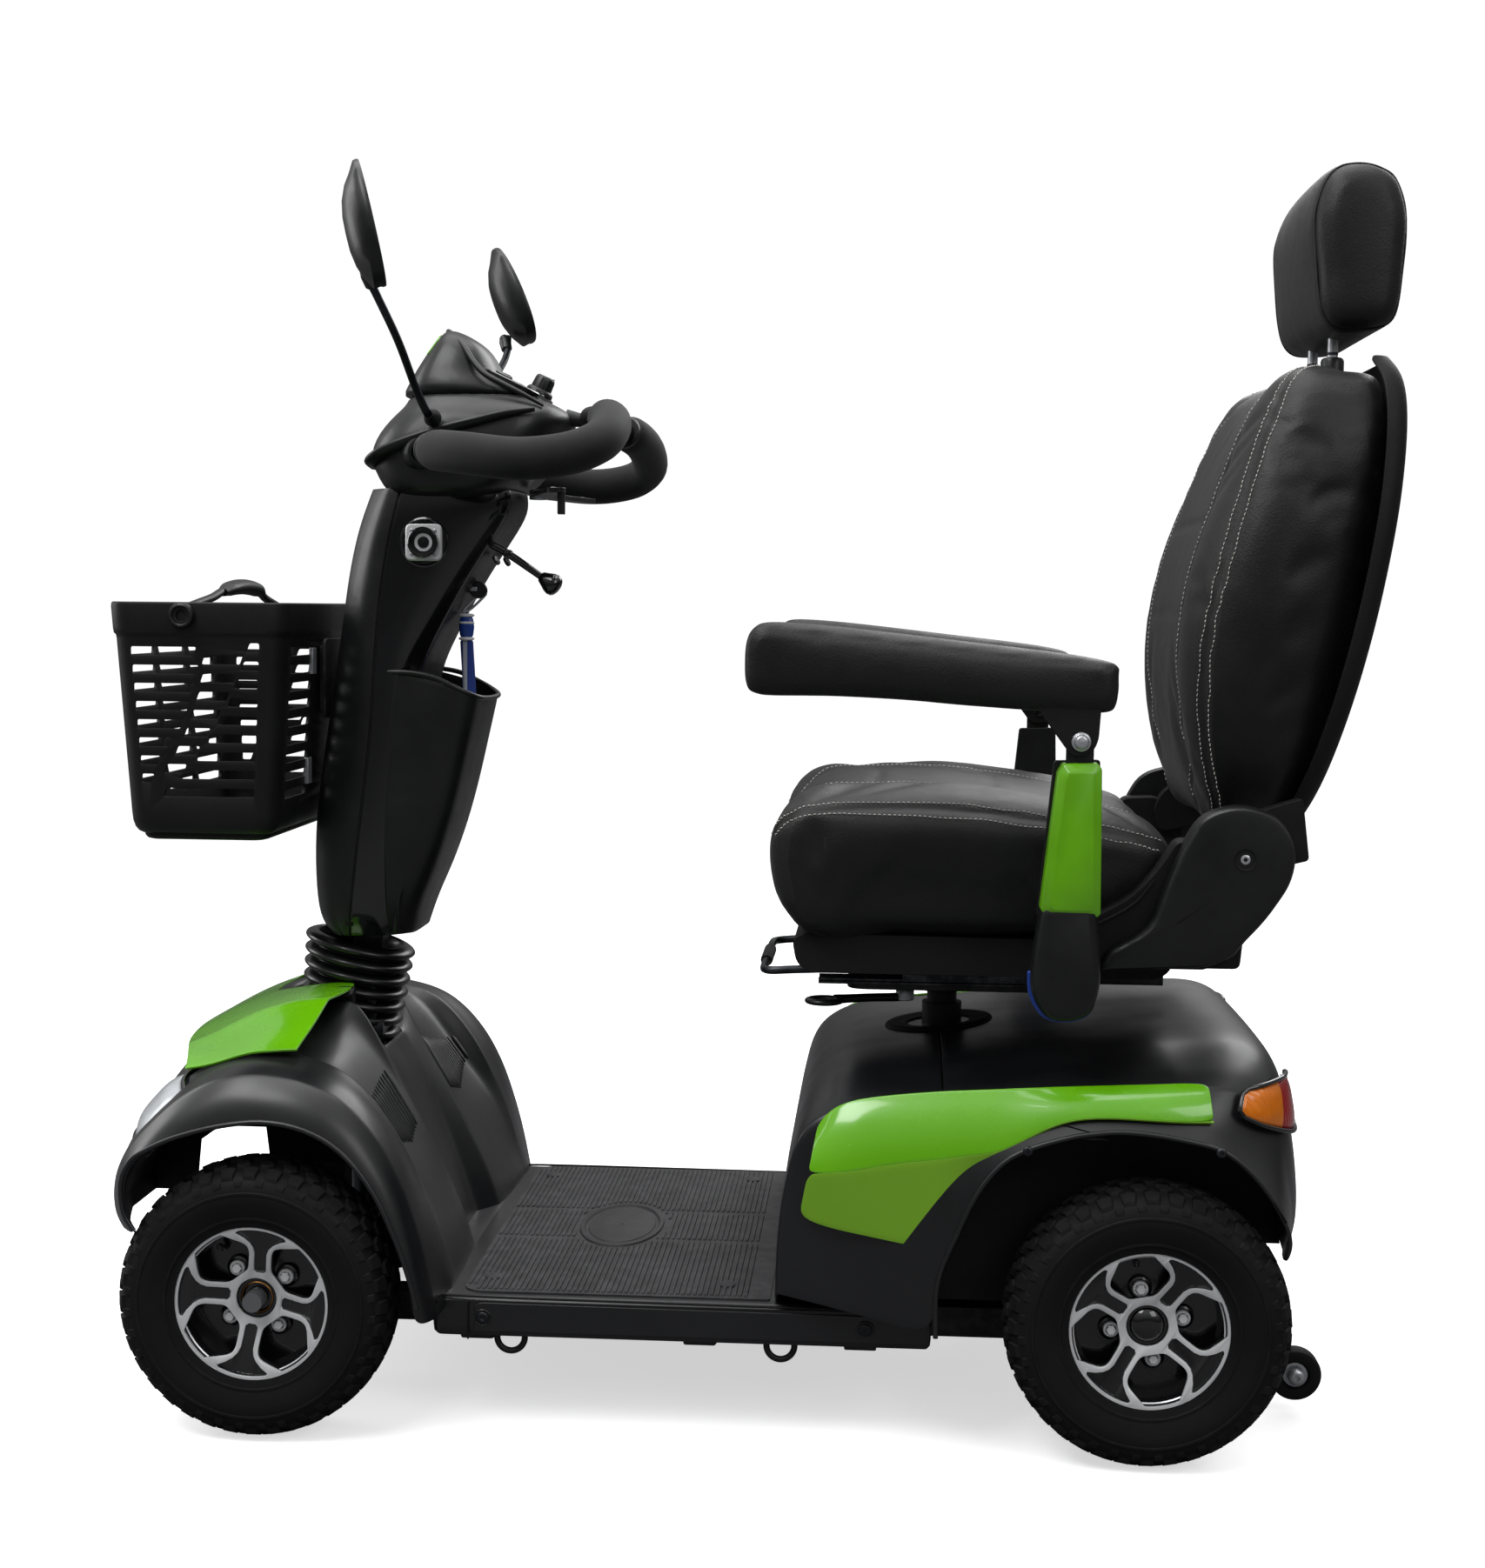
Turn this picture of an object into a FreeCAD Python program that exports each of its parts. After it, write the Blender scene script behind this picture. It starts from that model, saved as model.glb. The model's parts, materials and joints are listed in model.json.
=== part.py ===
import FreeCAD, Part
import math
import os

import Sketcher

# Four-wheel mobility scooter.  All lengths are millimetres.
# Frame: +X points forwards, +Y to the rider's left, +Z up; the origin lies on
# the floor below the centre of the machine.

os.makedirs("parts", exist_ok=True)
doc = FreeCAD.newDocument("mobility_scooter")

SIZES = {
    # wheels and track
    "axle_front_x": 442.0,
    "axle_rear_x": -373.0,
    "axle_z": 130.0,
    "tyre_radius": 130.0,
    "tyre_half_width": 41.0,
    "rim_radius": 71.0,
    "track_half": 254.0,
    "axle_radius": 9.0,
    "bore_radius": 9.05,
    # steering geometry
    "kingpin_y": 195.0,
    "head_x": 405.0,
    "steer_arm": 60.0,
    "stem_radius": 14.0,
    "tilt_z": 365.0,
    # frame and deck
    "rail_low_z": 60.0,
    "rail_height": 30.0,
    "deck_front_x": 284.0,
    "deck_rear_x": -183.0,
    "deck_low_z": 90.0,
    "deck_top_z": 128.0,
    "deck_half": 240.0,
    "mat_half": 228.0,
    "mat_thick": 3.0,
    # body shells
    "cowl_half": 150.0,
    "fender_half": 290.0,
    "rear_hump_half": 200.0,
    "rear_half": 275.0,
    # tiller
    "tiller_half": 80.0,
    "head_half": 100.0,
    "tiller_z": 435.0,
    "head_z": 884.0,
    "grip_radius": 19.5,
    "bar_radius": 11.0,
    "basket_z": 550.0,
    "basket_x": 540.0,
    "basket_half": 170.0,
    # seat
    "post_x": -191.0,
    "post_radius": 20.0,
    "swivel_z": 396.0,
    "pan_z": 430.0,
    "pan_half": 190.0,
    "cushion_half": 230.0,
    "back_half": 210.0,
    "recline_x": -451.0,
    "recline_z": 551.0,
    "headrest_z": 1032.0,
    "headrest_half": 130.0,
    "arm_x": -301.0,
    "arm_z": 656.0,
    "arm_inner_y": 262.0,
}

sheet = doc.addObject("Spreadsheet::Sheet", "Sizes")
for row, (alias, number) in enumerate(SIZES.items(), start=1):
    sheet.set(f"A{row}", alias)
    sheet.set(f"B{row}", str(number))
    sheet.setAlias(f"B{row}", alias)
doc.recompute()

PARTS = []


def bound(alias, value):
    """Expression that places `value` relative to one named size."""
    return f"Sizes.{alias} + ({value - SIZES[alias]:.4f})"


def keep(obj, label):
    """Register a finished sub-part under its node name."""
    obj.Label = label
    PARTS.append(obj)
    return obj


# --- PartDesign helpers ------------------------------------------------------

def new_body(label):
    body = doc.addObject("PartDesign::Body", label)
    if hasattr(body, "AllowCompound"):
        body.AllowCompound = True
    return keep(body, label)


def origin_plane(body, role):
    return next(item for item in body.Origin.OriginFeatures if item.Role == role)


def outline(body, name, role, anchor, points, middle):
    """Closed polygon sketch; every corner is driven from the two anchor sizes."""
    sketch = body.newObject("Sketcher::SketchObject", name)
    sketch.AttachmentSupport = (origin_plane(body, role), [""])
    sketch.MapMode = "FlatFace"
    lift = -middle if role == "XZ_Plane" else middle
    sketch.AttachmentOffset = FreeCAD.Placement(FreeCAD.Vector(0, 0, lift), FreeCAD.Rotation())
    count = len(points)
    for index in range(count):
        start = FreeCAD.Vector(points[index][0], points[index][1], 0)
        end_point = points[(index + 1) % count]
        sketch.addGeometry(Part.LineSegment(start, FreeCAD.Vector(end_point[0], end_point[1], 0)))
    for index in range(count):
        sketch.addConstraint(Sketcher.Constraint("Coincident", index, 2, (index + 1) % count, 1))
    for index, (first, second) in enumerate(points):
        key = sketch.addConstraint(Sketcher.Constraint("DistanceX", index, 1, float(first)))
        if anchor[0]:
            sketch.setExpression(f"Constraints[{key}]", bound(anchor[0], first))
        key = sketch.addConstraint(Sketcher.Constraint("DistanceY", index, 1, float(second)))
        if anchor[1]:
            sketch.setExpression(f"Constraints[{key}]", bound(anchor[1], second))
    return sketch


def prism(body, kind, name, role, anchor, points, span):
    """Pad or pocket of an outline across `span` = (low, high) or a half-width alias."""
    if isinstance(span, str):
        middle = 0.0
        length = 2.0 * SIZES[span]
    else:
        middle = 0.5 * (span[0] + span[1])
        length = span[1] - span[0]
    sketch = outline(body, name + "_outline", role, anchor, points, middle)
    feature = body.newObject("PartDesign::" + kind, name)
    feature.Profile = sketch
    feature.Length = length
    feature.Midplane = True
    if isinstance(span, str):
        feature.setExpression("Length", f"2 * Sizes.{span}")
    sketch.Visibility = False
    doc.recompute()
    return feature


def ring_profile(body, name, points, anchor=(None, None)):
    """Revolve a (y, radius) outline about the body's own Y axis."""
    sketch = outline(body, name + "_profile", "YZ_Plane", anchor, points, 0.0)
    turned = body.newObject("PartDesign::Revolution", name)
    turned.Profile = sketch
    turned.ReferenceAxis = (sketch, ["H_Axis"])
    turned.Angle = 360.0
    sketch.Visibility = False
    doc.recompute()
    return turned


# --- Part primitive helpers --------------------------------------------------

def box(low, high, tag="block"):
    shape = doc.addObject("Part::Box", tag)
    shape.Length = high[0] - low[0]
    shape.Width = high[1] - low[1]
    shape.Height = high[2] - low[2]
    shape.Placement.Base = FreeCAD.Vector(*low)
    return shape


def cylinder(start, end, radius, tag="round"):
    """Cylinder between two points; `radius` is a number or a size alias."""
    first = FreeCAD.Vector(*start)
    along = FreeCAD.Vector(*end) - first
    shape = doc.addObject("Part::Cylinder", tag)
    shape.Height = along.Length
    turn = FreeCAD.Rotation(FreeCAD.Vector(0, 0, 1), along)
    shape.Placement = FreeCAD.Placement(first, turn)
    if isinstance(radius, str):
        shape.setExpression("Radius", f"Sizes.{radius}")
    else:
        shape.Radius = radius
    return shape


def cone(start, end, first_radius, last_radius, tag="cone"):
    first = FreeCAD.Vector(*start)
    along = FreeCAD.Vector(*end) - first
    shape = doc.addObject("Part::Cone", tag)
    shape.Radius1 = first_radius
    shape.Radius2 = last_radius
    shape.Height = along.Length
    turn = FreeCAD.Rotation(FreeCAD.Vector(0, 0, 1), along)
    shape.Placement = FreeCAD.Placement(first, turn)
    return shape


def rod(points, radius, tag="rod"):
    """Bent rod swept along a polyline with mitred corners."""
    spine = doc.addObject("Part::Polygon", tag + "_spine")
    spine.Nodes = [FreeCAD.Vector(*point) for point in points]
    section = doc.addObject("Part::Circle", tag + "_section")
    if isinstance(radius, str):
        section.setExpression("Radius", f"Sizes.{radius}")
    else:
        section.Radius = radius
    first = FreeCAD.Vector(*points[0])
    along = FreeCAD.Vector(*points[1]) - first
    section.Placement = FreeCAD.Placement(first, FreeCAD.Rotation(FreeCAD.Vector(0, 0, 1), along))
    doc.recompute()
    swept = doc.addObject("Part::Sweep", tag)
    swept.Sections = [section]
    swept.Spine = (spine, [f"Edge{index + 1}" for index in range(len(points) - 1)])
    swept.Solid = True
    swept.Frenet = False
    swept.Transition = "Right corner"
    doc.recompute()
    return swept


def fuse(pieces, label=None):
    joined = doc.addObject("Part::MultiFuse", label or "joined")
    joined.Shapes = pieces
    joined.Refine = False
    doc.recompute()
    return keep(joined, label) if label else joined


def cut(base, tools, label=None):
    tool = tools[0] if len(tools) == 1 else fuse(tools)
    result = doc.addObject("Part::Cut", label or "trimmed")
    result.Base = base
    result.Tool = tool
    doc.recompute()
    return keep(result, label) if label else result


def disc_points(centre, radius, count, start=0.0, sweep=360.0):
    """Corners along an arc, used inside outlines."""
    closed = abs(sweep - 360.0) < 1e-6
    steps = count if closed else count - 1
    points = []
    for index in range(count):
        angle = math.radians(start + sweep * index / steps)
        points.append((centre[0] + radius * math.cos(angle), centre[1] + radius * math.sin(angle)))
    return points


# --- chassis -----------------------------------------------------------------

def make_chassis_frame():
    """Two rails, cross members, axle beam, head tube towers, anti-tip arms."""
    parts = []
    for side in (1, -1):
        inner, outer = sorted((side * 80.0, side * 110.0))
        rail = box((-440.0, inner, 60.0), (462.0, outer, 90.0), "rail")
        rail.setExpression("Placement.Base.z", "Sizes.rail_low_z")
        rail.setExpression("Height", "Sizes.rail_height")
        parts.append(rail)
        tower_low, tower_high = sorted((side * 60.0, side * 92.0))
        parts.append(box((404.0, tower_low, 88.0), (440.0, tower_high, 300.0), "tower"))
        saddle = box((-398.0, inner, 88.0), (-348.0, outer, 108.0), "saddle")
        parts.append(saddle)
        boss_y = side * SIZES["kingpin_y"]
        boss = cylinder((442.0, boss_y, 90.0), (442.0, boss_y, 150.0), 16.0, "kingpin_boss")
        boss.setExpression("Placement.Base.x", "Sizes.axle_front_x")
        parts.append(boss)
        plate_low, plate_high = sorted((side * 98.0, side * 106.0))
        arm = box((-545.0, plate_low, 26.0), (-521.0, plate_high, 50.0), "antitip_eye")
        parts.append(arm)
        slope = cylinder((-533.0, side * 102.0, 40.0), (-436.0, side * 102.0, 76.0), 4.0, "antitip_arm")
        parts.append(slope)
        parts.append(cylinder((-533.0, side * 100.0, 38.0), (-533.0, side * 131.0, 38.0), 5.0, "antitip_pin"))
    parts.append(box((424.0, -186.0, 90.0), (460.0, 186.0, 130.0), "axle_beam"))
    parts.append(box((404.0, -92.0, 286.0), (440.0, 92.0, 318.0), "head_bridge"))
    parts.append(cylinder((405.0, 0.0, 240.0), (405.0, 0.0, 330.0), 22.0, "head_tube"))
    parts.append(box((382.0, -90.0, 88.0), (428.0, 90.0, 122.0), "footstep_bearing"))
    for low_x, reach in ((230.0, 225.0), (20.0, 225.0), (-130.0, 225.0), (-330.0, 190.0)):
        parts.append(box((low_x, -reach, 62.0), (low_x + 30.0, reach, 88.0), "cross_member"))
    parts.append(box((-230.0, -84.0, 62.0), (-150.0, 84.0, 90.0), "post_socket_plate"))
    solid = fuse(parts)
    bores = [cylinder((405.0, 0.0, 96.0), (405.0, 0.0, 340.0), 14.05, "stem_bore")]
    for side in (1, -1):
        y = side * SIZES["kingpin_y"]
        bores.append(cylinder((442.0, y, 80.0), (442.0, y, 160.0), 8.05, "kingpin_bore"))
    cut(solid, bores, "chassis_frame")


def make_floor():
    tray = new_body("floor_tray")
    deck = [(284, 90), (284, 118), (274, 128), (-183, 128), (-183, 90)]
    prism(tray, "Pad", "deck", "XZ_Plane", ("deck_front_x", "deck_low_z"), deck, "deck_half")
    under = [(276, 80), (276, 120), (-175, 120), (-175, 80)]
    prism(tray, "Pocket", "underside", "XZ_Plane", ("deck_front_x", "deck_low_z"), under, (-232.0, 232.0))
    notch = [(-235, -40), (-148, -40), (-148, 40), (-235, 40)]
    prism(tray, "Pocket", "post_notch", "XY_Plane", ("post_x", None), notch, (80.0, 132.0))
    mat = new_body("floor_mat")
    pad = [(258, 128.2), (258, 131), (-28, 131), (-28, 128.2)]
    prism(mat, "Pad", "rubber_mat", "XZ_Plane", (None, "deck_top_z"), pad, "mat_half")
    rings = []
    for x in (212.0, -41.0):
        for side in (1, -1):
            y = side * 226.0
            ring = doc.addObject("Part::Torus", "tie_down")
            ring.Radius1 = 13.0
            ring.Radius2 = 3.0
            ring.Placement = FreeCAD.Placement(
                FreeCAD.Vector(x, y, 86.0), FreeCAD.Rotation(FreeCAD.Vector(1, 0, 0), 90))
            lower = box((x - 20, y - 5, 60.0), (x + 20, y + 5, 89.6), "lower_half")
            half = doc.addObject("Part::Common", "half_ring")
            half.Base = ring
            half.Tool = lower
            rings.append(half)
    doc.recompute()
    fuse(rings, "tie_down_rings")


FRONT_ARCH = [(279, 80), (280, 149), (300, 186), (323, 234), (355, 274), (404, 295), (430, 301),
              (485, 292), (542, 270), (558, 262), (566, 238), (592, 205), (594, 80)]


def make_front_body():
    """Leg shield, front wings and nose as one shell, open underneath."""
    shell = new_body("front_body")
    anchor = ("axle_front_x", "axle_z")
    centre = [(262, 131), (272, 150), (285, 190), (300, 231), (337, 300), (350, 366), (400, 388),
              (488, 370), (545, 326), (577, 285), (602, 236), (611, 212), (602, 187), (560, 187),
              (440, 140), (300, 131)]
    prism(shell, "Pad", "cowl", "XZ_Plane", anchor, centre, "cowl_half")
    wing = [(262, 131), (272, 150), (285, 190), (300, 235), (322, 285), (361, 330), (430, 345),
            (479, 345), (523, 316), (571, 267), (584, 238), (586, 200), (560, 190), (300, 131)]
    for side in (1, -1):
        span = tuple(sorted((side * 149.0, side * 290.0)))
        prism(shell, "Pad", "wing", "XZ_Plane", anchor, wing, span)
    for side in (1, -1):
        span = tuple(sorted((side * 130.0, side * 295.0)))
        prism(shell, "Pocket", "wheel_arch", "XZ_Plane", anchor, FRONT_ARCH, span)
    inside = [(275, 80), (281, 150), (294, 190), (309, 231), (346, 298), (360, 358), (402, 378),
              (483, 361), (538, 319), (568, 282), (592, 236), (594, 180), (594, 80)]
    prism(shell, "Pocket", "cavity", "XZ_Plane", anchor, inside, (-122.0, 122.0))
    link = [(325, 80), (325, 205), (470, 205), (470, 80)]
    prism(shell, "Pocket", "link_window", "XZ_Plane", anchor, link, (-135.0, 135.0))
    hole = disc_points((405.0, 0.0), 57.0, 24)
    prism(shell, "Pocket", "bellows_hole", "XY_Plane", ("head_x", None), hole, (290.0, 420.0))
    for side in (1, -1):
        corner = [(620, side * 120), (602, side * 180), (584, side * 240), (545, side * 291),
                  (640, side * 300), (640, side * 120)]
        prism(shell, "Pocket", "nose_corner", "XY_Plane", (None, None), corner, (100.0, 420.0))


def make_bonnet():
    lid = new_body("front_bonnet")
    anchor = ("head_x", None)
    crown = [(403, 388.5), (488, 370.5), (545, 326.6), (550, 331), (490, 377), (404, 396)]
    prism(lid, "Pad", "crown", "XZ_Plane", anchor, crown, "cowl_half")
    wing = [(398, 345.5), (430, 345.6), (480, 345.6), (522, 318.5), (526, 322), (482, 352),
            (430, 353), (400, 353)]
    web = [(403, 346), (480, 346), (521, 322), (550, 331), (490, 377), (404, 396)]
    for side in (1, -1):
        prism(lid, "Pad", "skirt", "XZ_Plane", anchor, wing, tuple(sorted((side * 150.5, side * 213.0))))
        prism(lid, "Pad", "web", "XZ_Plane", anchor, web, tuple(sorted((side * 150.0, side * 156.0))))
    window = disc_points((405.0, 0.0), 57.0, 24)
    prism(lid, "Pocket", "bellows_clearance", "XY_Plane", anchor, window, (330.0, 420.0))
    lamps = new_body("headlight_lenses")
    glass = [(573, 268), (525, 317), (528, 320), (576, 271)]
    for side in (1, -1):
        span = tuple(sorted((side * 158.0, side * 240.0)))
        prism(lamps, "Pad", "lens", "XZ_Plane", (None, None), glass, span)


REAR_ARCH = [(-187, 80), (-188, 165), (-203, 213), (-232, 273), (-262, 292), (-299, 303),
             (-345, 309), (-430, 297), (-480, 262), (-506, 211), (-530, 200), (-530, 80)]


def make_rear_body():
    """Battery and drive cover with wheel arches and a hole for the seat post."""
    shell = new_body("rear_body")
    anchor = ("axle_rear_x", "axle_z")
    hump = [(-35, 129), (-40, 200), (-50, 280), (-60, 330), (-80, 362), (-105, 371), (-300, 383),
            (-460, 392), (-487, 378), (-517, 300), (-522, 205), (-505, 180), (-470, 129)]
    prism(shell, "Pad", "hump", "XZ_Plane", anchor, hump, "rear_hump_half")
    flank = [(-35, 129), (-40, 200), (-50, 290), (-62, 318), (-95, 342), (-183, 352), (-420, 362),
             (-467, 352), (-500, 300), (-517, 205), (-505, 180), (-470, 129)]
    for side in (1, -1):
        span = tuple(sorted((side * 199.0, side * 275.0)))
        prism(shell, "Pad", "flank", "XZ_Plane", anchor, flank, span)
    for side in (1, -1):
        span = tuple(sorted((side * 200.0, side * 280.0)))
        prism(shell, "Pocket", "wheel_arch", "XZ_Plane", anchor, REAR_ARCH, span)
    inside = [(-45, 80), (-50, 200), (-60, 285), (-72, 330), (-90, 354), (-108, 363), (-300, 374),
              (-455, 383), (-478, 371), (-507, 300), (-512, 205), (-512, 80)]
    prism(shell, "Pocket", "cavity", "XZ_Plane", anchor, inside, (-192.0, 192.0))
    axle = [(-425, 80), (-425, 185), (-325, 185), (-325, 80)]
    prism(shell, "Pocket", "axle_window", "XZ_Plane", anchor, axle, (-202.0, 202.0))
    post = disc_points((SIZES["post_x"], 0.0), 26.5, 24)
    prism(shell, "Pocket", "post_hole", "XY_Plane", ("post_x", None), post, (340.0, 420.0))
    for side in (1, -1):
        corner = [(-445, side * 277), (-522, side * 192), (-540, side * 192), (-540, side * 277)]
        prism(shell, "Pocket", "tail_corner", "XY_Plane", (None, None), corner, (60.0, 420.0))
    panels = new_body("side_panels")
    green = [(-70, 308), (-101, 332), (-199, 344), (-425, 355), (-429, 314), (-300, 322),
             (-238, 284), (-216, 252), (-191, 193), (-58, 217)]
    lens = new_body("rear_light_lenses")
    for side in (1, -1):
        span = tuple(sorted((side * 275.5, side * 280.0)))
        prism(panels, "Pad", "panel", "XZ_Plane", anchor, green, span)
        strip = [(-450, side * 274), (-512, side * 207), (-516, side * 211), (-454, side * 278)]
        prism(lens, "Pad", "lens", "XY_Plane", (None, None), strip, (298.0, 350.0))


def make_drive():
    cells = []
    for side in (1, -1):
        low, high = sorted((side * 28.0, side * 186.0))
        cells.append(box((-175.0, low, 128.5), (-65.0, high, 290.0), "battery"))
        for x in (-160.0, -90.0):
            cells.append(cylinder((x, side * 60.0, 288.0), (x, side * 60.0, 300.0), 6.0, "terminal"))
    fuse(cells, "battery_pack")
    tube = cylinder((-373.0, -203.0, 130.0), (-373.0, 203.0, 130.0), 21.9, "axle_tube")
    gear = cylinder((-373.0, -52.0, 130.0), (-373.0, 8.0, 130.0), 52.0, "gear_case")
    gear_top = box((-415.0, -50.0, 130.0), (-331.0, 6.0, 186.0), "gear_top")
    motor = cylinder((-331.0, -22.0, 165.0), (-235.0, -22.0, 165.0), 44.0, "motor")
    brake = cylinder((-236.0, -22.0, 165.0), (-214.0, -22.0, 165.0), 34.0, "park_brake")
    bores = []
    for side in (1, -1):
        bores.append(cylinder((-373.0, side * 60.0, 130.0), (-373.0, side * 210.0, 130.0), 9.05, "bore"))
    cut(fuse([tube, gear, gear_top, motor, brake]), bores, "motor_transaxle")
    case = box((-320.0, 60.0, 190.0), (-225.0, 170.0, 235.0), "case")
    ribs = []
    for index in range(6):
        low = 66.0 + 17.0 * index
        ribs.append(box((-318.0, low, 234.0), (-227.0, low + 6.0, 244.0), "rib"))
    foot = box((-300.0, 84.0, 90.3), (-290.0, 106.0, 191.0), "foot")
    fuse([case, foot] + ribs, "motor_controller")


def make_seat_post():
    column = cylinder((-191.0, 0.0, 90.0), (-191.0, 0.0, 373.0), "post_radius", "column")
    pin = cylinder((-191.0, 0.0, 370.0), (-191.0, 0.0, 402.0), 15.0, "swivel_pin")
    foot = box((-228.0, -36.0, 90.0), (-152.0, 36.0, 98.0), "foot")
    for piece in (column, pin):
        piece.setExpression("Placement.Base.x", "Sizes.post_x")
    fuse([column, pin, foot], "seat_post")


# --- steering ----------------------------------------------------------------

def make_steering():
    """Column with drop arm, both stub-axle knuckles and the rigid track rod."""
    shaft = cylinder((405.0, 0.0, 98.0), (405.0, 0.0, 346.0), "stem_radius", "shaft")
    arm = box((340.0, -9.0, 152.0), (405.0, 9.0, 162.0), "drop_arm")
    eye = cylinder((345.0, 0.0, 152.0), (345.0, 0.0, 162.0), 12.0, "arm_eye")
    stud = cylinder((345.0, 0.0, 160.0), (345.0, 0.0, 180.0), 5.0, "stud")
    yoke = box((377.0, -38.0, 332.0), (433.0, 38.0, 346.0), "yoke")
    pieces = [shaft, arm, eye, stud, yoke]
    for side in (1, -1):
        low, high = sorted((side * 30.0, side * 38.0))
        pieces.append(box((385.0, low, 340.0), (425.0, high, 382.0), "ear"))
    bolt = cylinder((405.0, -38.0, 365.0), (405.0, 38.0, 365.0), 6.0, "tilt_bolt")
    bolt.setExpression("Placement.Base.z", "Sizes.tilt_z")
    pieces.append(bolt)
    fuse(pieces, "steering_stem")

    sleeve = cylinder((405.0, 0.0, 347.5), (405.0, 0.0, 432.0), 52.0, "sleeve")
    hollow = cylinder((405.0, 0.0, 340.0), (405.0, 0.0, 440.0), 49.0, "hollow")
    ribs = []
    for index in range(5):
        z = 352.0 + 16.0 * index
        ribs.append(cylinder((405.0, 0.0, z), (405.0, 0.0, z + 8.0), 55.0, "fold"))
    cut(fuse([sleeve] + ribs), [hollow], "steering_bellows")

    for side, name in ((1, "left"), (-1, "right")):
        y = side * SIZES["kingpin_y"]
        pin = cylinder((442.0, y, 78.0), (442.0, y, 162.0), 8.0, "kingpin")
        top = box((426.0, min(y - 16, y + side * 30), 152.0),
                  (458.0, max(y + 16, y + side * 30), 162.0), "top_plate")
        low = box((426.0, min(y - 16, y + side * 30), 78.0),
                  (458.0, max(y + 16, y + side * 30), 88.0), "low_plate")
        wall_low, wall_high = sorted((y + side * 20.0, y + side * 30.0))
        wall = box((426.0, wall_low, 80.0), (458.0, wall_high, 160.0), "wall")
        stub_end = side * 284.0
        stub = cylinder((442.0, y + side * 26.0, 130.0), (442.0, stub_end, 130.0), "axle_radius", "stub_axle")
        lever = box((382.0, y - 9.0, 152.0), (440.0, y + 9.0, 162.0), "steering_lever")
        lever_eye = cylinder((382.0, y, 152.0), (382.0, y, 162.0), 12.0, "lever_eye")
        lever_stud = cylinder((382.0, y, 160.0), (382.0, y, 180.0), 5.0, "lever_stud")
        fuse([pin, top, low, wall, stub, lever, lever_eye, lever_stud], f"knuckle_{name}")

    bars = [cylinder((345.0, 0.0, 172.0), (382.0, 195.0, 172.0), 6.0, "bar"),
            cylinder((345.0, 0.0, 172.0), (382.0, -195.0, 172.0), 6.0, "bar")]
    for centre in ((345.0, 0.0), (382.0, 195.0), (382.0, -195.0)):
        bars.append(cylinder((*centre, 165.0), (*centre, 179.0), 11.0, "rod_eye"))
    holes = []
    holes.append(cylinder((345.0, 0.0, 160.0), (345.0, 0.0, 185.0), 5.05, "hole"))
    for side in (1, -1):
        holes.append(cylinder((382.0, side * 195.0, 160.0), (382.0, side * 195.0, 185.0), 5.3, "hole"))
    cut(fuse(bars), holes, "track_rod")


# --- wheels ------------------------------------------------------------------

def make_wheel(name, x_alias, side, driven):
    """Pneumatic tyre on a four-spoke alloy rim, both turned about the axle."""
    y = side * SIZES["track_half"]
    tyre = new_body(f"tyre_{name}")
    section = [(-33, 71), (-36, 80), (-41, 97), (-38, 113), (-29, 123), (-14, 129), (0, 130),
               (14, 129), (29, 123), (38, 113), (41, 97), (36, 80), (33, 71)]
    ring_profile(tyre, "carcass", section, (None, "tyre_radius"))
    tyre.Placement.Base = FreeCAD.Vector(SIZES[x_alias], y, SIZES["axle_z"])
    tyre.setExpression("Placement.Base.x", f"Sizes.{x_alias}")
    tyre.setExpression("Placement.Base.z", "Sizes.axle_z")

    x = SIZES[x_alias]
    z = SIZES["axle_z"]
    inner = y - side * 33.0
    outer = y + side * 33.0
    barrel = cut(cylinder((x, inner, z), (x, outer, z), "rim_radius", "barrel"),
                 [cylinder((x, inner - side, z), (x, outer + side, z), 63.0, "hollow")])
    face_in = y + side * 18.0
    face_out = y + side * 31.0
    pieces = [barrel, cylinder((x, face_in - side * 8, z), (x, face_out + side * 3, z), 20.0, "hub")]
    tilt = 45.0 if not driven else 80.0
    for index in range(4):
        angle = math.radians(tilt + 90.0 * index)
        reach = (x + 66.0 * math.cos(angle), 0.0, z + 66.0 * math.sin(angle))
        spoke = box((0.0, -6.0, -9.0), (67.0, 6.0, 9.0), "spoke")
        turn = FreeCAD.Rotation(FreeCAD.Vector(0, 1, 0), -math.degrees(angle))
        corner = turn.multVec(FreeCAD.Vector(0.0, -6.0, -9.0))
        centre = FreeCAD.Vector(x, 0.5 * (face_in + face_out), z)
        spoke.Placement = FreeCAD.Placement(centre + corner, turn)
        pieces.append(spoke)
        bolt_angle = angle + math.radians(45.0)
        bx = x + 38.0 * math.cos(bolt_angle)
        bz = z + 38.0 * math.sin(bolt_angle)
        pieces.append(cylinder((bx, face_in - side * 4, bz), (bx, face_in + side * 3, bz), 5.0, "wheel_bolt"))
    back = cut(cylinder((x, face_in - side * 8, z), (x, face_in - side * 3, z), 64.0, "web"),
               [cylinder((x, face_in - side * 9, z), (x, face_in, z), 12.0, "web_hole")])
    pieces.append(back)
    if driven:
        pieces.append(cylinder((x, side * 62.0, z), (x, face_out, z), "axle_radius", "drive_shaft"))
        pieces.append(cylinder((x, face_out, z), (x, side * 292.0, z), 11.0, "axle_nut"))
        fuse(pieces, f"rim_{name}")
    else:
        hub_bore = cylinder((x, face_in - side * 12, z), (x, side * 284.4, z), "bore_radius", "hub_bore")
        pieces.append(cylinder((x, face_out, z), (x, side * 292.0, z), 13.0, "hub_cap"))
        cut(fuse(pieces), [hub_bore], f"rim_{name}")


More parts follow.
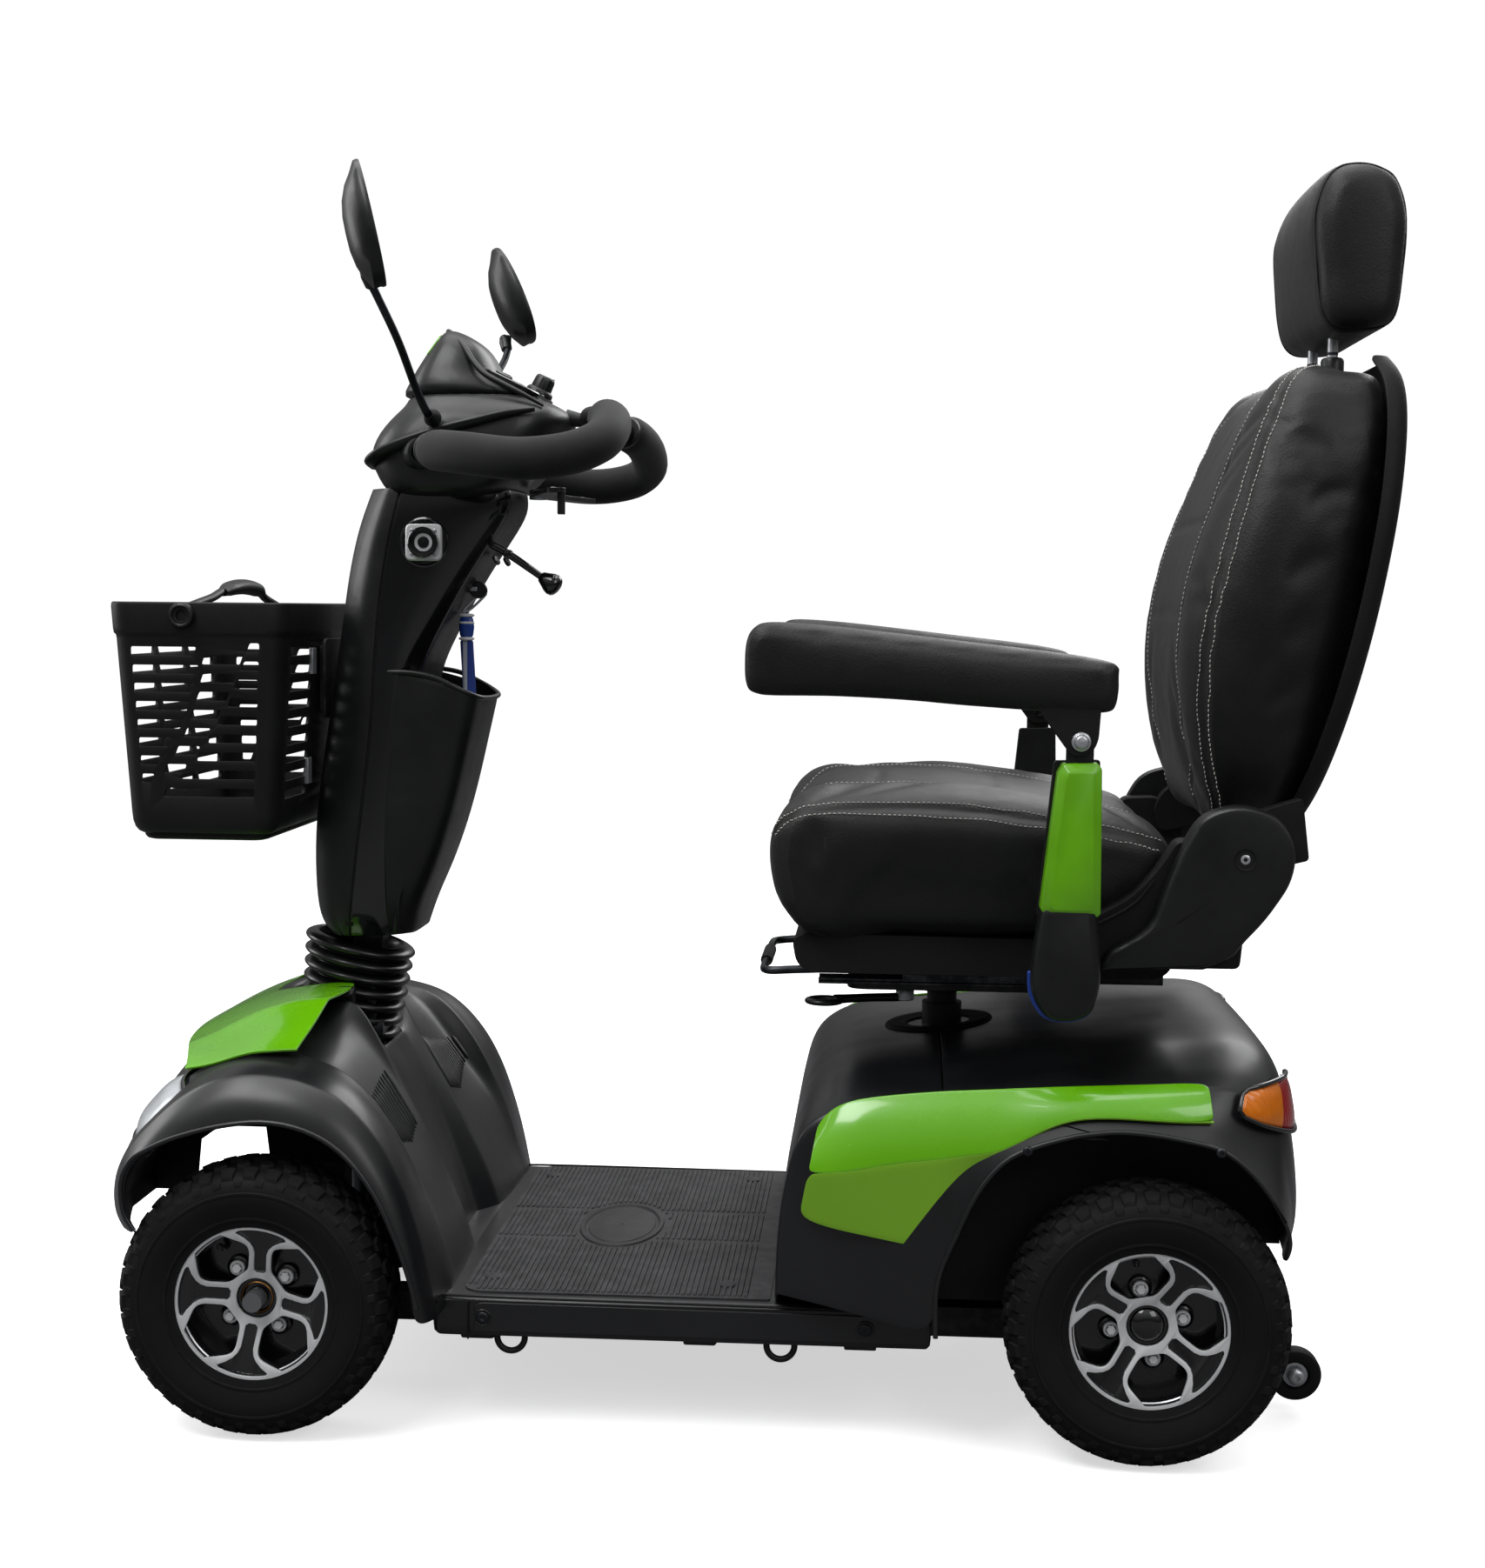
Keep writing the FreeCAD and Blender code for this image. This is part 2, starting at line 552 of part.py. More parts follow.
def make_antitip(side, name):
    y_low = side * 108.0
    y_high = side * 128.0
    roller = cylinder((-533.0, y_low, 38.0), (-533.0, y_high, 38.0), 25.0, "roller")
    bore = cylinder((-533.0, y_low - side, 38.0), (-533.0, y_high + side, 38.0), 5.05, "bore")
    cut(roller, [bore], f"antitip_wheel_{name}")


# --- tiller ------------------------------------------------------------------

def make_tiller():
    post = new_body("tiller_post")
    anchor = ("head_x", "tilt_z")
    tube = [(390, 352), (420, 352), (421, 382), (411, 437), (361, 878), (331, 878), (381, 437), (389, 382)]
    prism(post, "Pad", "tube", "XZ_Plane", anchor, tube, (-15.0, 15.0))
    lug = disc_points((405.0, 365.0), 15.0, 20)
    prism(post, "Pad", "lug", "XZ_Plane", anchor, lug, (-29.0, 29.0))
    eye = disc_points((405.0, 365.0), 6.06, 48)
    prism(post, "Pocket", "bolt_eye", "XZ_Plane", anchor, eye, (-32.0, 32.0))

    front = new_body("tiller_front_cover")
    anchor = ("head_x", "tiller_z")
    skin = [(407, 437), (430, 437), (444, 449), (447, 539), (428, 678), (408, 817), (394, 880),
            (353, 880), (374, 760), (382, 640), (397, 540)]
    prism(front, "Pad", "skin", "XZ_Plane", anchor, skin, "tiller_half")
    channel = [(395, 430), (438, 430), (440, 449), (443, 539), (424, 678), (404, 817), (388, 882),
               (330, 882), (350, 760), (365, 640), (385, 540)]
    prism(front, "Pocket", "channel", "XZ_Plane", anchor, channel, (-75.0, 75.0))

    rear = new_body("tiller_rear_cover")
    skin = [(405.5, 437), (395.5, 540), (380.5, 640), (372.5, 760), (351.5, 880), (236, 878), (238, 862),
            (259, 818), (295, 749), (320, 706), (322, 694), (272, 677), (279, 637), (295, 567),
            (318, 497), (340, 437)]
    prism(rear, "Pad", "skin", "XZ_Plane", anchor, skin, "tiller_half")
    channel = [(425, 430), (360, 430), (358, 497), (347, 640), (338, 700), (333, 760), (322, 800),
               (318, 886), (410, 886)]
    prism(rear, "Pocket", "channel", "XZ_Plane", anchor, channel, (-74.0, 74.0))
    tray = [(260, 700), (330, 700), (332, 600), (296, 600), (276, 668)]
    prism(rear, "Pocket", "storage_tray", "XZ_Plane", anchor, tray, (-62.0, 62.0))


def make_head():
    """Dash housing with its instrument panel, knob, button and charger socket."""
    housing = new_body("dash_housing")
    anchor = ("head_x", "head_z")
    skin = [(380, 884), (386, 900), (386, 930), (366, 962), (332, 1030), (312, 1043), (292, 1030),
            (268, 1000), (213, 974), (192, 962), (198, 935), (246, 886), (300, 884)]
    prism(housing, "Pad", "skin", "XZ_Plane", anchor, skin, "head_half")
    room = [(360, 892), (374, 905), (374, 928), (356, 958), (324, 1020), (312, 1028), (300, 1020),
            (274, 992), (216, 964), (206, 956), (210, 940), (254, 896)]
    prism(housing, "Pocket", "room", "XZ_Plane", anchor, room, (-94.0, 94.0))

    slope = FreeCAD.Vector(-55.0, 0.0, -26.0).normalize()
    normal = FreeCAD.Vector(-26.0, 0.0, 55.0).normalize()
    turn = FreeCAD.Rotation(FreeCAD.Vector(0, 0, 1), normal)
    start = FreeCAD.Vector(268.0, 0.0, 1000.0) + slope * 4.0 + normal * 0.4
    plate = doc.addObject("Part::Box", "plate")
    plate.Length = 26.0
    plate.Width = 120.0
    plate.Height = 3.0
    plate.Placement = FreeCAD.Placement(start + slope * 26.0 + FreeCAD.Vector(0, -60, 0), turn)
    button_spot = start + slope * 13.0 + FreeCAD.Vector(0, 34.0, 0)
    hole = cylinder(tuple(button_spot - normal), tuple(button_spot + normal * 6), 6.2, "button_hole")
    cut(plate, [hole], "dash_panel")
    low = button_spot + normal * 1.7
    button = cylinder(tuple(low), tuple(button_spot + normal * 5.2), 6.0, "button")
    crown = cone(tuple(button_spot + normal * 5.2), tuple(button_spot + normal * 6.4), 6.0, 4.0, "crown")
    fuse([button, crown], "horn_button")
    knob_base = FreeCAD.Vector(268.0, 0.0, 1000.0) + slope * 47.0 + normal * 0.6
    skirt = cylinder(tuple(knob_base), tuple(knob_base + normal * 6.0), 13.5, "knob_skirt")
    grip = cylinder(tuple(knob_base + normal * 5.0), tuple(knob_base + normal * 20.0), 10.0, "knob_grip")
    fin = cylinder(tuple(knob_base + normal * 19.0 + slope * 4), tuple(knob_base + normal * 21.0 + slope * 4),
                   2.0, "pointer")
    fuse([skirt, grip, fin], "speed_knob")

    flange = box((303.0, 80.3, 810.0), (345.0, 83.5, 852.0), "flange")
    body = cylinder((324.0, 83.0, 831.0), (324.0, 90.0, 831.0), 17.0, "socket_body")
    well = cylinder((324.0, 84.5, 831.0), (324.0, 92.0, 831.0), 12.0, "socket_well")
    pins = []
    for index in range(3):
        angle = math.radians(90.0 + 120.0 * index)
        spot = (324.0 + 6.0 * math.cos(angle), 831.0 + 6.0 * math.sin(angle))
        pins.append(cylinder((spot[0], 84.0, spot[1]), (spot[0], 88.0, spot[1]), 1.6, "contact"))
    fuse([cut(fuse([flange, body]), [well])] + pins, "charging_socket")


BAR_PATH = [(318.4, 105.0, 917.8), (303, 148, 916), (262, 200, 910), (205, 229, 903), (160, 227, 908),
            (136, 204, 920), (131, 165, 934), (136, 118, 946), (150, 74, 953), (165, 46, 955)]


def between(first, second, share):
    return tuple(a + share * (b - a) for a, b in zip(first, second))


def make_handlebar():
    """Closed-loop handlebar on both sides with thick foam sleeves."""
    left = list(BAR_PATH)
    right = [(x, -y, z) for x, y, z in BAR_PATH]
    tube = rod(left + right[::-1], "bar_radius", "bar")
    stay = cylinder((168.0, 0.0, 955.0), (191.0, 0.0, 957.0), 7.0, "dash_stay")
    fuse([tube, stay], "handlebar")
    sleeves = []
    for path in (left, right):
        covered = [between(path[1], path[2], 0.3)] + path[2:7] + [between(path[6], path[7], 0.7)]
        foam = rod(covered, "grip_radius", "foam")
        core = rod(covered, 11.06, "core")
        sleeves.append(cut(foam, [core]))
    fuse(sleeves, "hand_grips")


def make_tiller_controls():
    lever = new_body("throttle_lever")
    arm = [(234, 8), (199, 112), (183, 107), (211, 0), (183, -107), (199, -112), (234, -8)]
    prism(lever, "Pad", "arm", "XY_Plane", (None, None), arm, (878.0, 884.0))
    prism(lever, "Pad", "hub", "XY_Plane", (None, None), disc_points((224.0, 0.0), 9.0, 20), (876.0, 892.0))
    for side in (1, -1):
        tab = [(183, side * 108), (187, side * 94), (190, side * 95), (187, side * 109)]
        prism(lever, "Pad", "tab", "XY_Plane", (None, None), tab, (862.0, 880.0))

    root = (248.0, 40.0, 821.0)
    tip = (207.0, 40.0, 793.0)
    reach = (FreeCAD.Vector(*tip) - FreeCAD.Vector(*root)).normalize()
    neck = FreeCAD.Vector(*tip) - reach * 18.0
    knob = cone(tuple(neck), tuple(FreeCAD.Vector(*tip) + reach * 4.0), 5.0, 11.0, "lever_knob")
    crown = cone(tuple(FreeCAD.Vector(*tip) + reach * 4.0), tuple(FreeCAD.Vector(*tip) + reach * 11.0),
                 11.0, 6.0, "knob_crown")
    fuse([cylinder(root, tip, 3.5, "lever_rod"), knob, crown,
          cylinder((248.0, 33.0, 821.0), (248.0, 47.0, 821.0), 5.0, "lever_hinge")], "tiller_lock_lever")

    axis = FreeCAD.Vector(-69.0, 0.0, -36.0).normalize()
    face = FreeCAD.Vector(277.0, 20.0, 783.0)
    collar = cylinder(tuple(face + axis * 1.5), tuple(face + axis * 5.0), 8.0, "key_collar")
    blade = cylinder(tuple(face + axis * 4.0), tuple(face + axis * 14.0), 2.5, "key_blade")
    bow = cylinder(tuple(face + axis * 20.0 + FreeCAD.Vector(0, -1.5, 0)),
                   tuple(face + axis * 20.0 + FreeCAD.Vector(0, 1.5, 0)), 9.0, "key_bow")
    fuse([collar, blade, bow], "ignition_key")

    for side, name in ((1, "left"), (-1, "right")):
        boot = cylinder((310.0, side * 105.0, 950.0), (310.0, side * 119.0, 950.0), 7.5, "mirror_boot")
        stalk = rod([(310.0, side * 112.0, 950.0), (318.0, side * 140.0, 975.0),
                     (332.0, side * 248.0, 1066.0)], 3.5, "stalk")
        rim = doc.addObject("Part::Ellipse", "mirror_outline")
        rim.MajorRadius = 55.0
        rim.MinorRadius = 43.0
        turn = FreeCAD.Rotation(FreeCAD.Vector(0, 1, 0), 90.0)
        rim.Placement = FreeCAD.Placement(FreeCAD.Vector(329.0, side * 258.0, 1108.0), turn)
        glass = doc.addObject("Part::Extrusion", "mirror_head")
        glass.Base = rim
        glass.DirMode = "Custom"
        glass.Dir = FreeCAD.Vector(1, 0, 0)
        glass.LengthFwd = 15.0
        glass.Solid = True
        fuse([boot, glass, stalk], f"mirror_{name}")


def make_basket():
    shell = new_body("basket")
    anchor = ("basket_x", "basket_z")
    outer = [(452, 550), (597, 550), (612, 770), (441, 770)]
    prism(shell, "Pad", "walls", "XZ_Plane", anchor, outer, "basket_half")
    inner = [(456, 554), (593, 554), (609, 780), (444.5, 780)]
    prism(shell, "Pocket", "cavity", "XZ_Plane", anchor, inner, (-166.5, 166.5))
    for side in (1, -1):
        for index in range(5):
            low = 600.0 + 28.0 * index
            slot = [(480, low), (570, low), (576, low + 10), (486, low + 10)]
            span = tuple(sorted((side * 160.0, side * 175.0)))
            prism(shell, "Pocket", "slot", "XZ_Plane", anchor, slot, span)
    for side in (1, -1):
        trim = [(447, side * 145), (447, side * 171), (430, side * 171), (430, side * 145)]
        prism(shell, "Pocket", "soften", "XY_Plane", (None, None), trim, (768.5, 771.0))

    pivot = disc_points((537.0, 758.0), 4.1, 24)
    prism(shell, "Pocket", "pin_holes", "XZ_Plane", anchor, pivot, (-175.0, 175.0))

    half = [(537.0, 164.0, 758.0), (536.0, 150.0, 767.0), (532.0, 72.0, 776.0), (530.0, 58.0, 783.0)]
    bail = rod(half + [(x, -y, z) for x, y, z in half[::-1]], 4.0, "bail")
    ends = [cylinder((530.0, -60.0, 783.0), (530.0, 60.0, 783.0), 9.0, "handle_grip")]
    for side in (1, -1):
        ends.append(cylinder((537.0, side * 160.0, 758.0), (537.0, side * 178.0, 758.0), 4.0, "pin"))
        ends.append(cylinder((537.0, side * 170.6, 758.0), (537.0, side * 178.0, 758.0), 11.0, "boss"))
    fuse([bail] + ends, "basket_handle")
    plate = box((433.5, -40.0, 655.0), (439.0, 40.0, 735.0), "hook_plate")
    fuse([plate, box((431.6, -30.0, 655.0), (434.0, 30.0, 672.0), "foot")], "basket_bracket")


# --- seat --------------------------------------------------------------------

def make_seat_base():
    hub = cylinder((-191.0, 0.0, 374.5), (-191.0, 0.0, 398.0), 24.0, "hub")
    plate = box((-330.0, -150.0, 396.0), (-60.0, 150.0, 404.0), "plate")
    plate.setExpression("Placement.Base.z", "Sizes.swivel_z")
    receiver = cut(box((-411.0, -20.0, 396.0), (-320.0, 20.0, 418.0), "receiver"),
                   [box((-415.0, -15.0, 401.0), (-335.0, 15.0, 413.0), "receiver_bore")])
    pieces = [hub, plate, receiver]
    for side in (1, -1):
        low, high = sorted((side * 110.0, side * 150.0))
        pieces.append(box((-340.0, low, 402.0), (-60.0, high, 418.0), "slide_rail"))
    bore = cylinder((-191.0, 0.0, 370.0), (-191.0, 0.0, 402.3), 15.05, "swivel_bore")
    cut(fuse(pieces), [bore], "seat_swivel_plate")

    handle = [(-153.0, 60.0, 388.0), (-110.0, 76.0, 388.0), (-84.0, 88.0, 388.0)]
    ring = doc.addObject("Part::Torus", "ring_handle")
    ring.Radius1 = 12.0
    ring.Radius2 = 4.0
    ring.Placement.Base = FreeCAD.Vector(-74.0, 96.0, 388.0)
    pivot = cylinder((-153.0, 60.0, 384.0), (-153.0, 60.0, 395.5), 9.0, "pivot")
    fuse([rod(handle, 4.0, "lever"), ring, pivot], "swivel_lever")

    pan = new_body("seat_pan")
    anchor = ("post_x", "pan_z")
    tub = [(-50, 432), (-50, 462), (-58, 466), (-392, 466), (-400, 440), (-390, 430), (-60, 430)]
    prism(pan, "Pad", "tub", "XZ_Plane", anchor, tub, "pan_half")
    runner = [(-60, 418.5), (-60, 432), (-330, 432), (-330, 418.5)]
    cheek = [(-330, 446), (-330, 466), (-388, 467), (-402, 520), (-405, 560), (-425, 592),
             (-455, 601), (-485, 590), (-497, 562), (-495, 525), (-470, 480), (-439, 462), (-400, 446)]
    shelf = [(-330, 446), (-330, 466), (-400, 466), (-438, 463), (-400, 446)]
    pin = disc_points((-451.0, 551.0), 6.0, 32)
    for side in (1, -1):
        prism(pan, "Pad", "runner", "XZ_Plane", anchor, runner, tuple(sorted((side * 112.0, side * 148.0))))
        prism(pan, "Pad", "shelf", "XZ_Plane", anchor, shelf, tuple(sorted((side * 188.0, side * 250.0))))
        prism(pan, "Pad", "cheek", "XZ_Plane", anchor, cheek, tuple(sorted((side * 232.0, side * 250.0))))
        prism(pan, "Pad", "recline_pin", "XZ_Plane", ("recline_x", "recline_z"), pin,
              tuple(sorted((side * 214.0, side * 240.0))))
    socket = [(-310.4, 435.6), (-279.6, 435.6), (-279.6, 461.4), (-310.4, 461.4)]
    for side in (1, -1):
        span = tuple(sorted((side * 140.0, side * 195.0)))
        prism(pan, "Pocket", "arm_socket", "XZ_Plane", anchor, socket, span)

    bail = rod([(-72.0, 100.0, 420.0), (-24.0, 100.0, 417.0), (-14.0, 90.0, 417.0),
                (-14.0, -90.0, 417.0), (-24.0, -100.0, 417.0), (-72.0, -100.0, 420.0)], 4.0, "bail")
    keep(bail, "slide_bail")


def make_upholstery():
    seat = new_body("seat_cushion")
    side_view = [(-60, 468), (-30, 484), (-10, 512), (-3, 544), (-12, 574), (-40, 592), (-79, 605),
                 (-200, 601), (-330, 585), (-392, 570), (-400, 540), (-393, 500), (-350, 468)]
    prism(seat, "Pad", "foam", "XZ_Plane", ("post_x", "pan_z"), side_view, "cushion_half")

    back = new_body("backrest_cushion")
    side_view = [(-437, 556), (-410, 640), (-402, 716), (-415, 800), (-440, 870), (-472, 935),
                 (-515, 1000), (-535, 1013), (-556, 1011), (-572, 985), (-559, 802), (-498, 569),
                 (-480, 556)]
    prism(back, "Pad", "foam", "XZ_Plane", ("recline_x", "recline_z"), side_view, "back_half")
    for side in (1, -1):
        hole = disc_points((-553.0, side * 50.0), 5.3, 32)
        prism(back, "Pocket", "post_hole", "XY_Plane", (None, None), hole, (870.0, 1030.0))

    shell = new_body("backrest_shell")
    panel = [(-573.5, 985), (-560.5, 802), (-499.5, 567), (-490, 545), (-522, 543), (-510, 569),
             (-568, 802), (-582, 986)]
    prism(shell, "Pad", "panel", "XZ_Plane", ("recline_x", "recline_z"), panel, (-214.0, 214.0))
    arm = disc_points((-451.0, 551.0), 19.0, 12, -75.0, 170.0) + [(-505, 600), (-512, 552)]
    eye = disc_points((-451.0, 551.0), 6.06, 48)
    for side in (1, -1):
        prism(shell, "Pad", "arm", "XZ_Plane", ("recline_x", "recline_z"), arm,
              tuple(sorted((side * 212.0, side * 229.0))))
    for side in (1, -1):
        prism(shell, "Pocket", "eye", "XZ_Plane", ("recline_x", "recline_z"), eye,
              tuple(sorted((side * 205.0, side * 235.0))))

    head = new_body("headrest")
    side_view = [(-519, 1133), (-527, 1046), (-547, 1032), (-600, 1037), (-610, 1141), (-598, 1180),
                 (-560, 1194), (-530, 1175)]
    prism(head, "Pad", "foam", "XZ_Plane", (None, "headrest_z"), side_view, "headrest_half")
    for side in (1, -1):
        stem = disc_points((-553.0, side * 50.0), 5.0, 32)
        prism(head, "Pad", "stem", "XY_Plane", (None, None), stem, (885.0, 1040.0))


def make_armrest(side, name):
    """Width-adjusting bracket with a flip-up pad on a cross bolt."""
    bar = box((-310.0, min(side * 150, side * 264), 436.0), (-280.0, max(side * 150, side * 264), 461.0), "bar")
    low_y, high_y = sorted((side * 262.0, side * 290.0))
    lower = box((-322.0, low_y, 407.0), (-267.0, high_y, 501.0), "lower_cover")
    upper = box((-320.0, low_y, 499.0), (-269.0, high_y, 636.0), "upper_cover")
    tab_low, tab_high = sorted((side * 272.0, side * 280.0))
    tab = box((-313.0, tab_low, 630.0), (-289.0, tab_high, 656.0), "tab")
    tab_round = cylinder((-301.0, side * 272.0, 656.0), (-301.0, side * 280.0, 656.0), 12.0, "tab_round")
    bolt = cylinder((-301.0, side * 264.0, 656.0), (-301.0, side * 289.0, 656.0), 4.0, "bolt")
    fuse([bar, lower, upper, tab, tab_round, bolt], f"armrest_bracket_{name}")

    pad = new_body(f"armrest_pad_{name}")
    anchor = ("arm_x", "arm_z")
    side_view = [(-4, 700), (-2, 745), (-16, 760), (-331, 727), (-335, 690), (-325, 680), (-280, 680),
                 (-240, 682), (-150, 690), (-20, 692)]
    prism(pad, "Pad", "cushion", "XZ_Plane", anchor, side_view, tuple(sorted((side * 236.0, side * 294.0))))
    cheek = disc_points((-301.0, 656.0), 12.0, 12, 180.0, 180.0) + [(-289, 684), (-313, 684)]
    eye = disc_points((-301.0, 656.0), 4.06, 32)
    for near, far in ((264.0, 271.5), (280.5, 288.0)):
        span = tuple(sorted((side * near, side * far)))
        prism(pad, "Pad", "cheek", "XZ_Plane", anchor, cheek, span)
    prism(pad, "Pocket", "eye", "XZ_Plane", anchor, eye, tuple(sorted((side * 260.0, side * 292.0))))


make_chassis_frame()
make_floor()
make_front_body()
make_bonnet()
make_rear_body()
make_drive()
make_seat_post()
make_steering()
make_wheel("front_left", "axle_front_x", 1, False)
make_wheel("front_right", "axle_front_x", -1, False)
make_wheel("rear_left", "axle_rear_x", 1, True)
make_wheel("rear_right", "axle_rear_x", -1, True)
make_antitip(1, "left")
make_antitip(-1, "right")
make_tiller()
make_head()
make_handlebar()
make_tiller_controls()
make_basket()
make_seat_base()
make_upholstery()
make_armrest(1, "left")
make_armrest(-1, "right")

doc.recompute()
broken = []
for item in doc.Objects:
    if "Invalid" in item.State or "Error" in item.State:
        broken.append(item.Label)
if broken:
    raise RuntimeError("features in error: " + ", ".join(broken))
for part in PARTS:
    shape = part.Shape
    if shape.isNull() or not shape.isValid():
        raise RuntimeError("bad shape: " + part.Label)
    shape.exportStep(f"parts/{part.Label}.step")
print("sub-parts written:", len(PARTS))
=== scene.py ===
import json
import math
import bmesh
import bpy
from mathutils import Matrix, Vector
from mathutils.bvhtree import BVHTree

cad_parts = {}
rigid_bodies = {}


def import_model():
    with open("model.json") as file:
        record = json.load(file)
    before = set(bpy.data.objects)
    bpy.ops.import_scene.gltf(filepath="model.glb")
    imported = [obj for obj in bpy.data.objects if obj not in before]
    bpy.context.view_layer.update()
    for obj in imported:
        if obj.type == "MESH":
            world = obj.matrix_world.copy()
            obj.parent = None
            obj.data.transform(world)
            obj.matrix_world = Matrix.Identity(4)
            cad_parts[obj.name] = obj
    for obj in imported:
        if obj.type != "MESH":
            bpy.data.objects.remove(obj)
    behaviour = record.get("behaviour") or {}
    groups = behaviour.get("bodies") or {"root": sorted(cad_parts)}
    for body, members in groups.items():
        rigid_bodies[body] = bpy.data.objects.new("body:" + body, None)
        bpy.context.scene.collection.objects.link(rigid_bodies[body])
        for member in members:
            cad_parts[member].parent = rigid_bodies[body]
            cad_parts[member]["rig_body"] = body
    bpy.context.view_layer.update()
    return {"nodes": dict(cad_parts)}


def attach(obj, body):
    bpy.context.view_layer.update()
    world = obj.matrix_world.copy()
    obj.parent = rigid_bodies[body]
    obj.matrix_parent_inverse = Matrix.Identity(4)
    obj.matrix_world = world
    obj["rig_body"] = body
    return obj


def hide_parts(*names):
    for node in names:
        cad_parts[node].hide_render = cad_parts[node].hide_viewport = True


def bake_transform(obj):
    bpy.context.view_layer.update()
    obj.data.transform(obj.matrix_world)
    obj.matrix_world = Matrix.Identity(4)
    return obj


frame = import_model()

# Looks for the four-wheel mobility scooter.  Geometry is written in millimetres in the row
# frame (+X forward, +Y rider's left, +Z up) and scaled to metres when a piece is made.

MM = 0.001


# --- materials ---------------------------------------------------------------------------

def rgb(red, green, blue):
    """sRGB 0-255 to linear."""
    def channel(value):
        value /= 255.0
        return value / 12.92 if value <= 0.04045 else ((value + 0.055) / 1.055) ** 2.4
    return (channel(red), channel(green), channel(blue), 1.0)


class Nodes:
    """Short hand for building a node tree around one Principled shader."""

    def __init__(self, name):
        self.material = bpy.data.materials.new(name)
        self.material.use_nodes = True
        self.tree = self.material.node_tree
        self.shader = self.tree.nodes["Principled BSDF"]
        self.place = self.node("ShaderNodeTexCoord").outputs["Object"]

    def node(self, kind, **inputs):
        made = self.tree.nodes.new(kind)
        for key, value in inputs.items():
            socket = made.inputs[key.replace("_", " ")]
            if isinstance(value, bpy.types.NodeSocket):
                self.tree.links.new(value, socket)
            else:
                socket.default_value = value
        return made

    def link(self, source, target):
        self.tree.links.new(source, target)

    def noise(self, scale, detail=4.0, rough=0.55, vector=None):
        made = self.node("ShaderNodeTexNoise", Scale=scale, Detail=detail, Roughness=rough,
                         Vector=vector or self.place)
        return made.outputs["Fac"]

    def cells(self, scale, feature="F1", vector=None):
        made = self.node("ShaderNodeTexVoronoi", Scale=scale, Vector=vector or self.place)
        made.feature = feature
        return made.outputs["Distance"]

    def math(self, operation, first, second=0.0, third=0.0):
        made = self.tree.nodes.new("ShaderNodeMath")
        made.operation = operation
        for socket, value in zip(made.inputs, (first, second, third)):
            if isinstance(value, bpy.types.NodeSocket):
                self.link(value, socket)
            else:
                socket.default_value = value
        return made.outputs[0]

    def span(self, value, low, high, to_low=0.0, to_high=1.0):
        made = self.node("ShaderNodeMapRange", Value=value, From_Min=low, From_Max=high,
                         To_Min=to_low, To_Max=to_high)
        return made.outputs["Result"]

    def mix(self, share, first, second):
        made = self.tree.nodes.new("ShaderNodeMix")
        made.data_type = "RGBA"
        for socket, value in ((made.inputs[0], share), (made.inputs[6], first), (made.inputs[7], second)):
            if isinstance(value, bpy.types.NodeSocket):
                self.link(value, socket)
            else:
                socket.default_value = value
        return made.outputs[2]

    def stretch(self, x, y, z):
        made = self.node("ShaderNodeMapping", Vector=self.place)
        made.inputs["Scale"].default_value = (x, y, z)
        return made.outputs["Vector"]

    def set(self, **inputs):
        for key, value in inputs.items():
            socket = self.shader.inputs[key.replace("_", " ")]
            if isinstance(value, bpy.types.NodeSocket):
                self.link(value, socket)
            else:
                socket.default_value = value

    def bump(self, *heights):
        """Chain of (height socket, depth in mm) pairs into the shader's normal."""
        normal = None
        for height, depth in heights:
            made = self.node("ShaderNodeBump", Height=height, Strength=1.0, Distance=depth * MM)
            if normal is not None:
                self.link(normal, made.inputs["Normal"])
            normal = made.outputs["Normal"]
        self.link(normal, self.shader.inputs["Normal"])

    def edges(self, low=0.52, high=0.62):
        """Where the surface is a sharp outward edge."""
        point = self.node("ShaderNodeNewGeometry").outputs["Pointiness"]
        return self.span(point, low, high)


def surface(name, colour, rough, metal=0.0, coat=0.0, grain=(900.0, 0.03), shift=0.25, vary=0.08,
            wear=0.2, wear_colour=None, pores=None, specular=0.42):
    """Moulded or metal surface: mottled colour, uneven roughness, fine grain and rubbed edges."""
    n = Nodes(name)
    base = rgb(*colour)
    broad = n.noise(9.0, 3.0)
    fine = n.noise(grain[0], 3.0, 0.6)
    darker = tuple(c * (1.0 - shift) for c in base[:3]) + (1.0,)
    lighter = tuple(min(1.0, c * (1.0 + shift) + 0.001) for c in base[:3]) + (1.0,)
    shade = n.mix(n.span(broad, 0.3, 0.7), darker, lighter)
    rub = rgb(*(wear_colour or tuple(min(255, c + 34) for c in colour)))
    rubbed = n.math("MULTIPLY", n.edges(), n.span(n.noise(60.0, 5.0), 0.42, 0.7))
    shade = n.mix(n.math("MULTIPLY", rubbed, wear), shade, rub)
    smudge = n.span(n.noise(22.0, 6.0, 0.65), 0.3, 0.72, rough - vary, rough + vary)
    smudge = n.math("ADD", smudge, n.span(fine, 0.3, 0.7, -0.03, 0.03))
    n.set(Base_Color=shade, Roughness=smudge, Metallic=metal, Coat_Weight=coat, Coat_Roughness=0.06,
          Specular_IOR_Level=specular)
    layers = [(fine, grain[1])]
    if pores:
        layers.append((n.cells(pores[0]), pores[1]))
    n.bump(*layers)
    return n.material


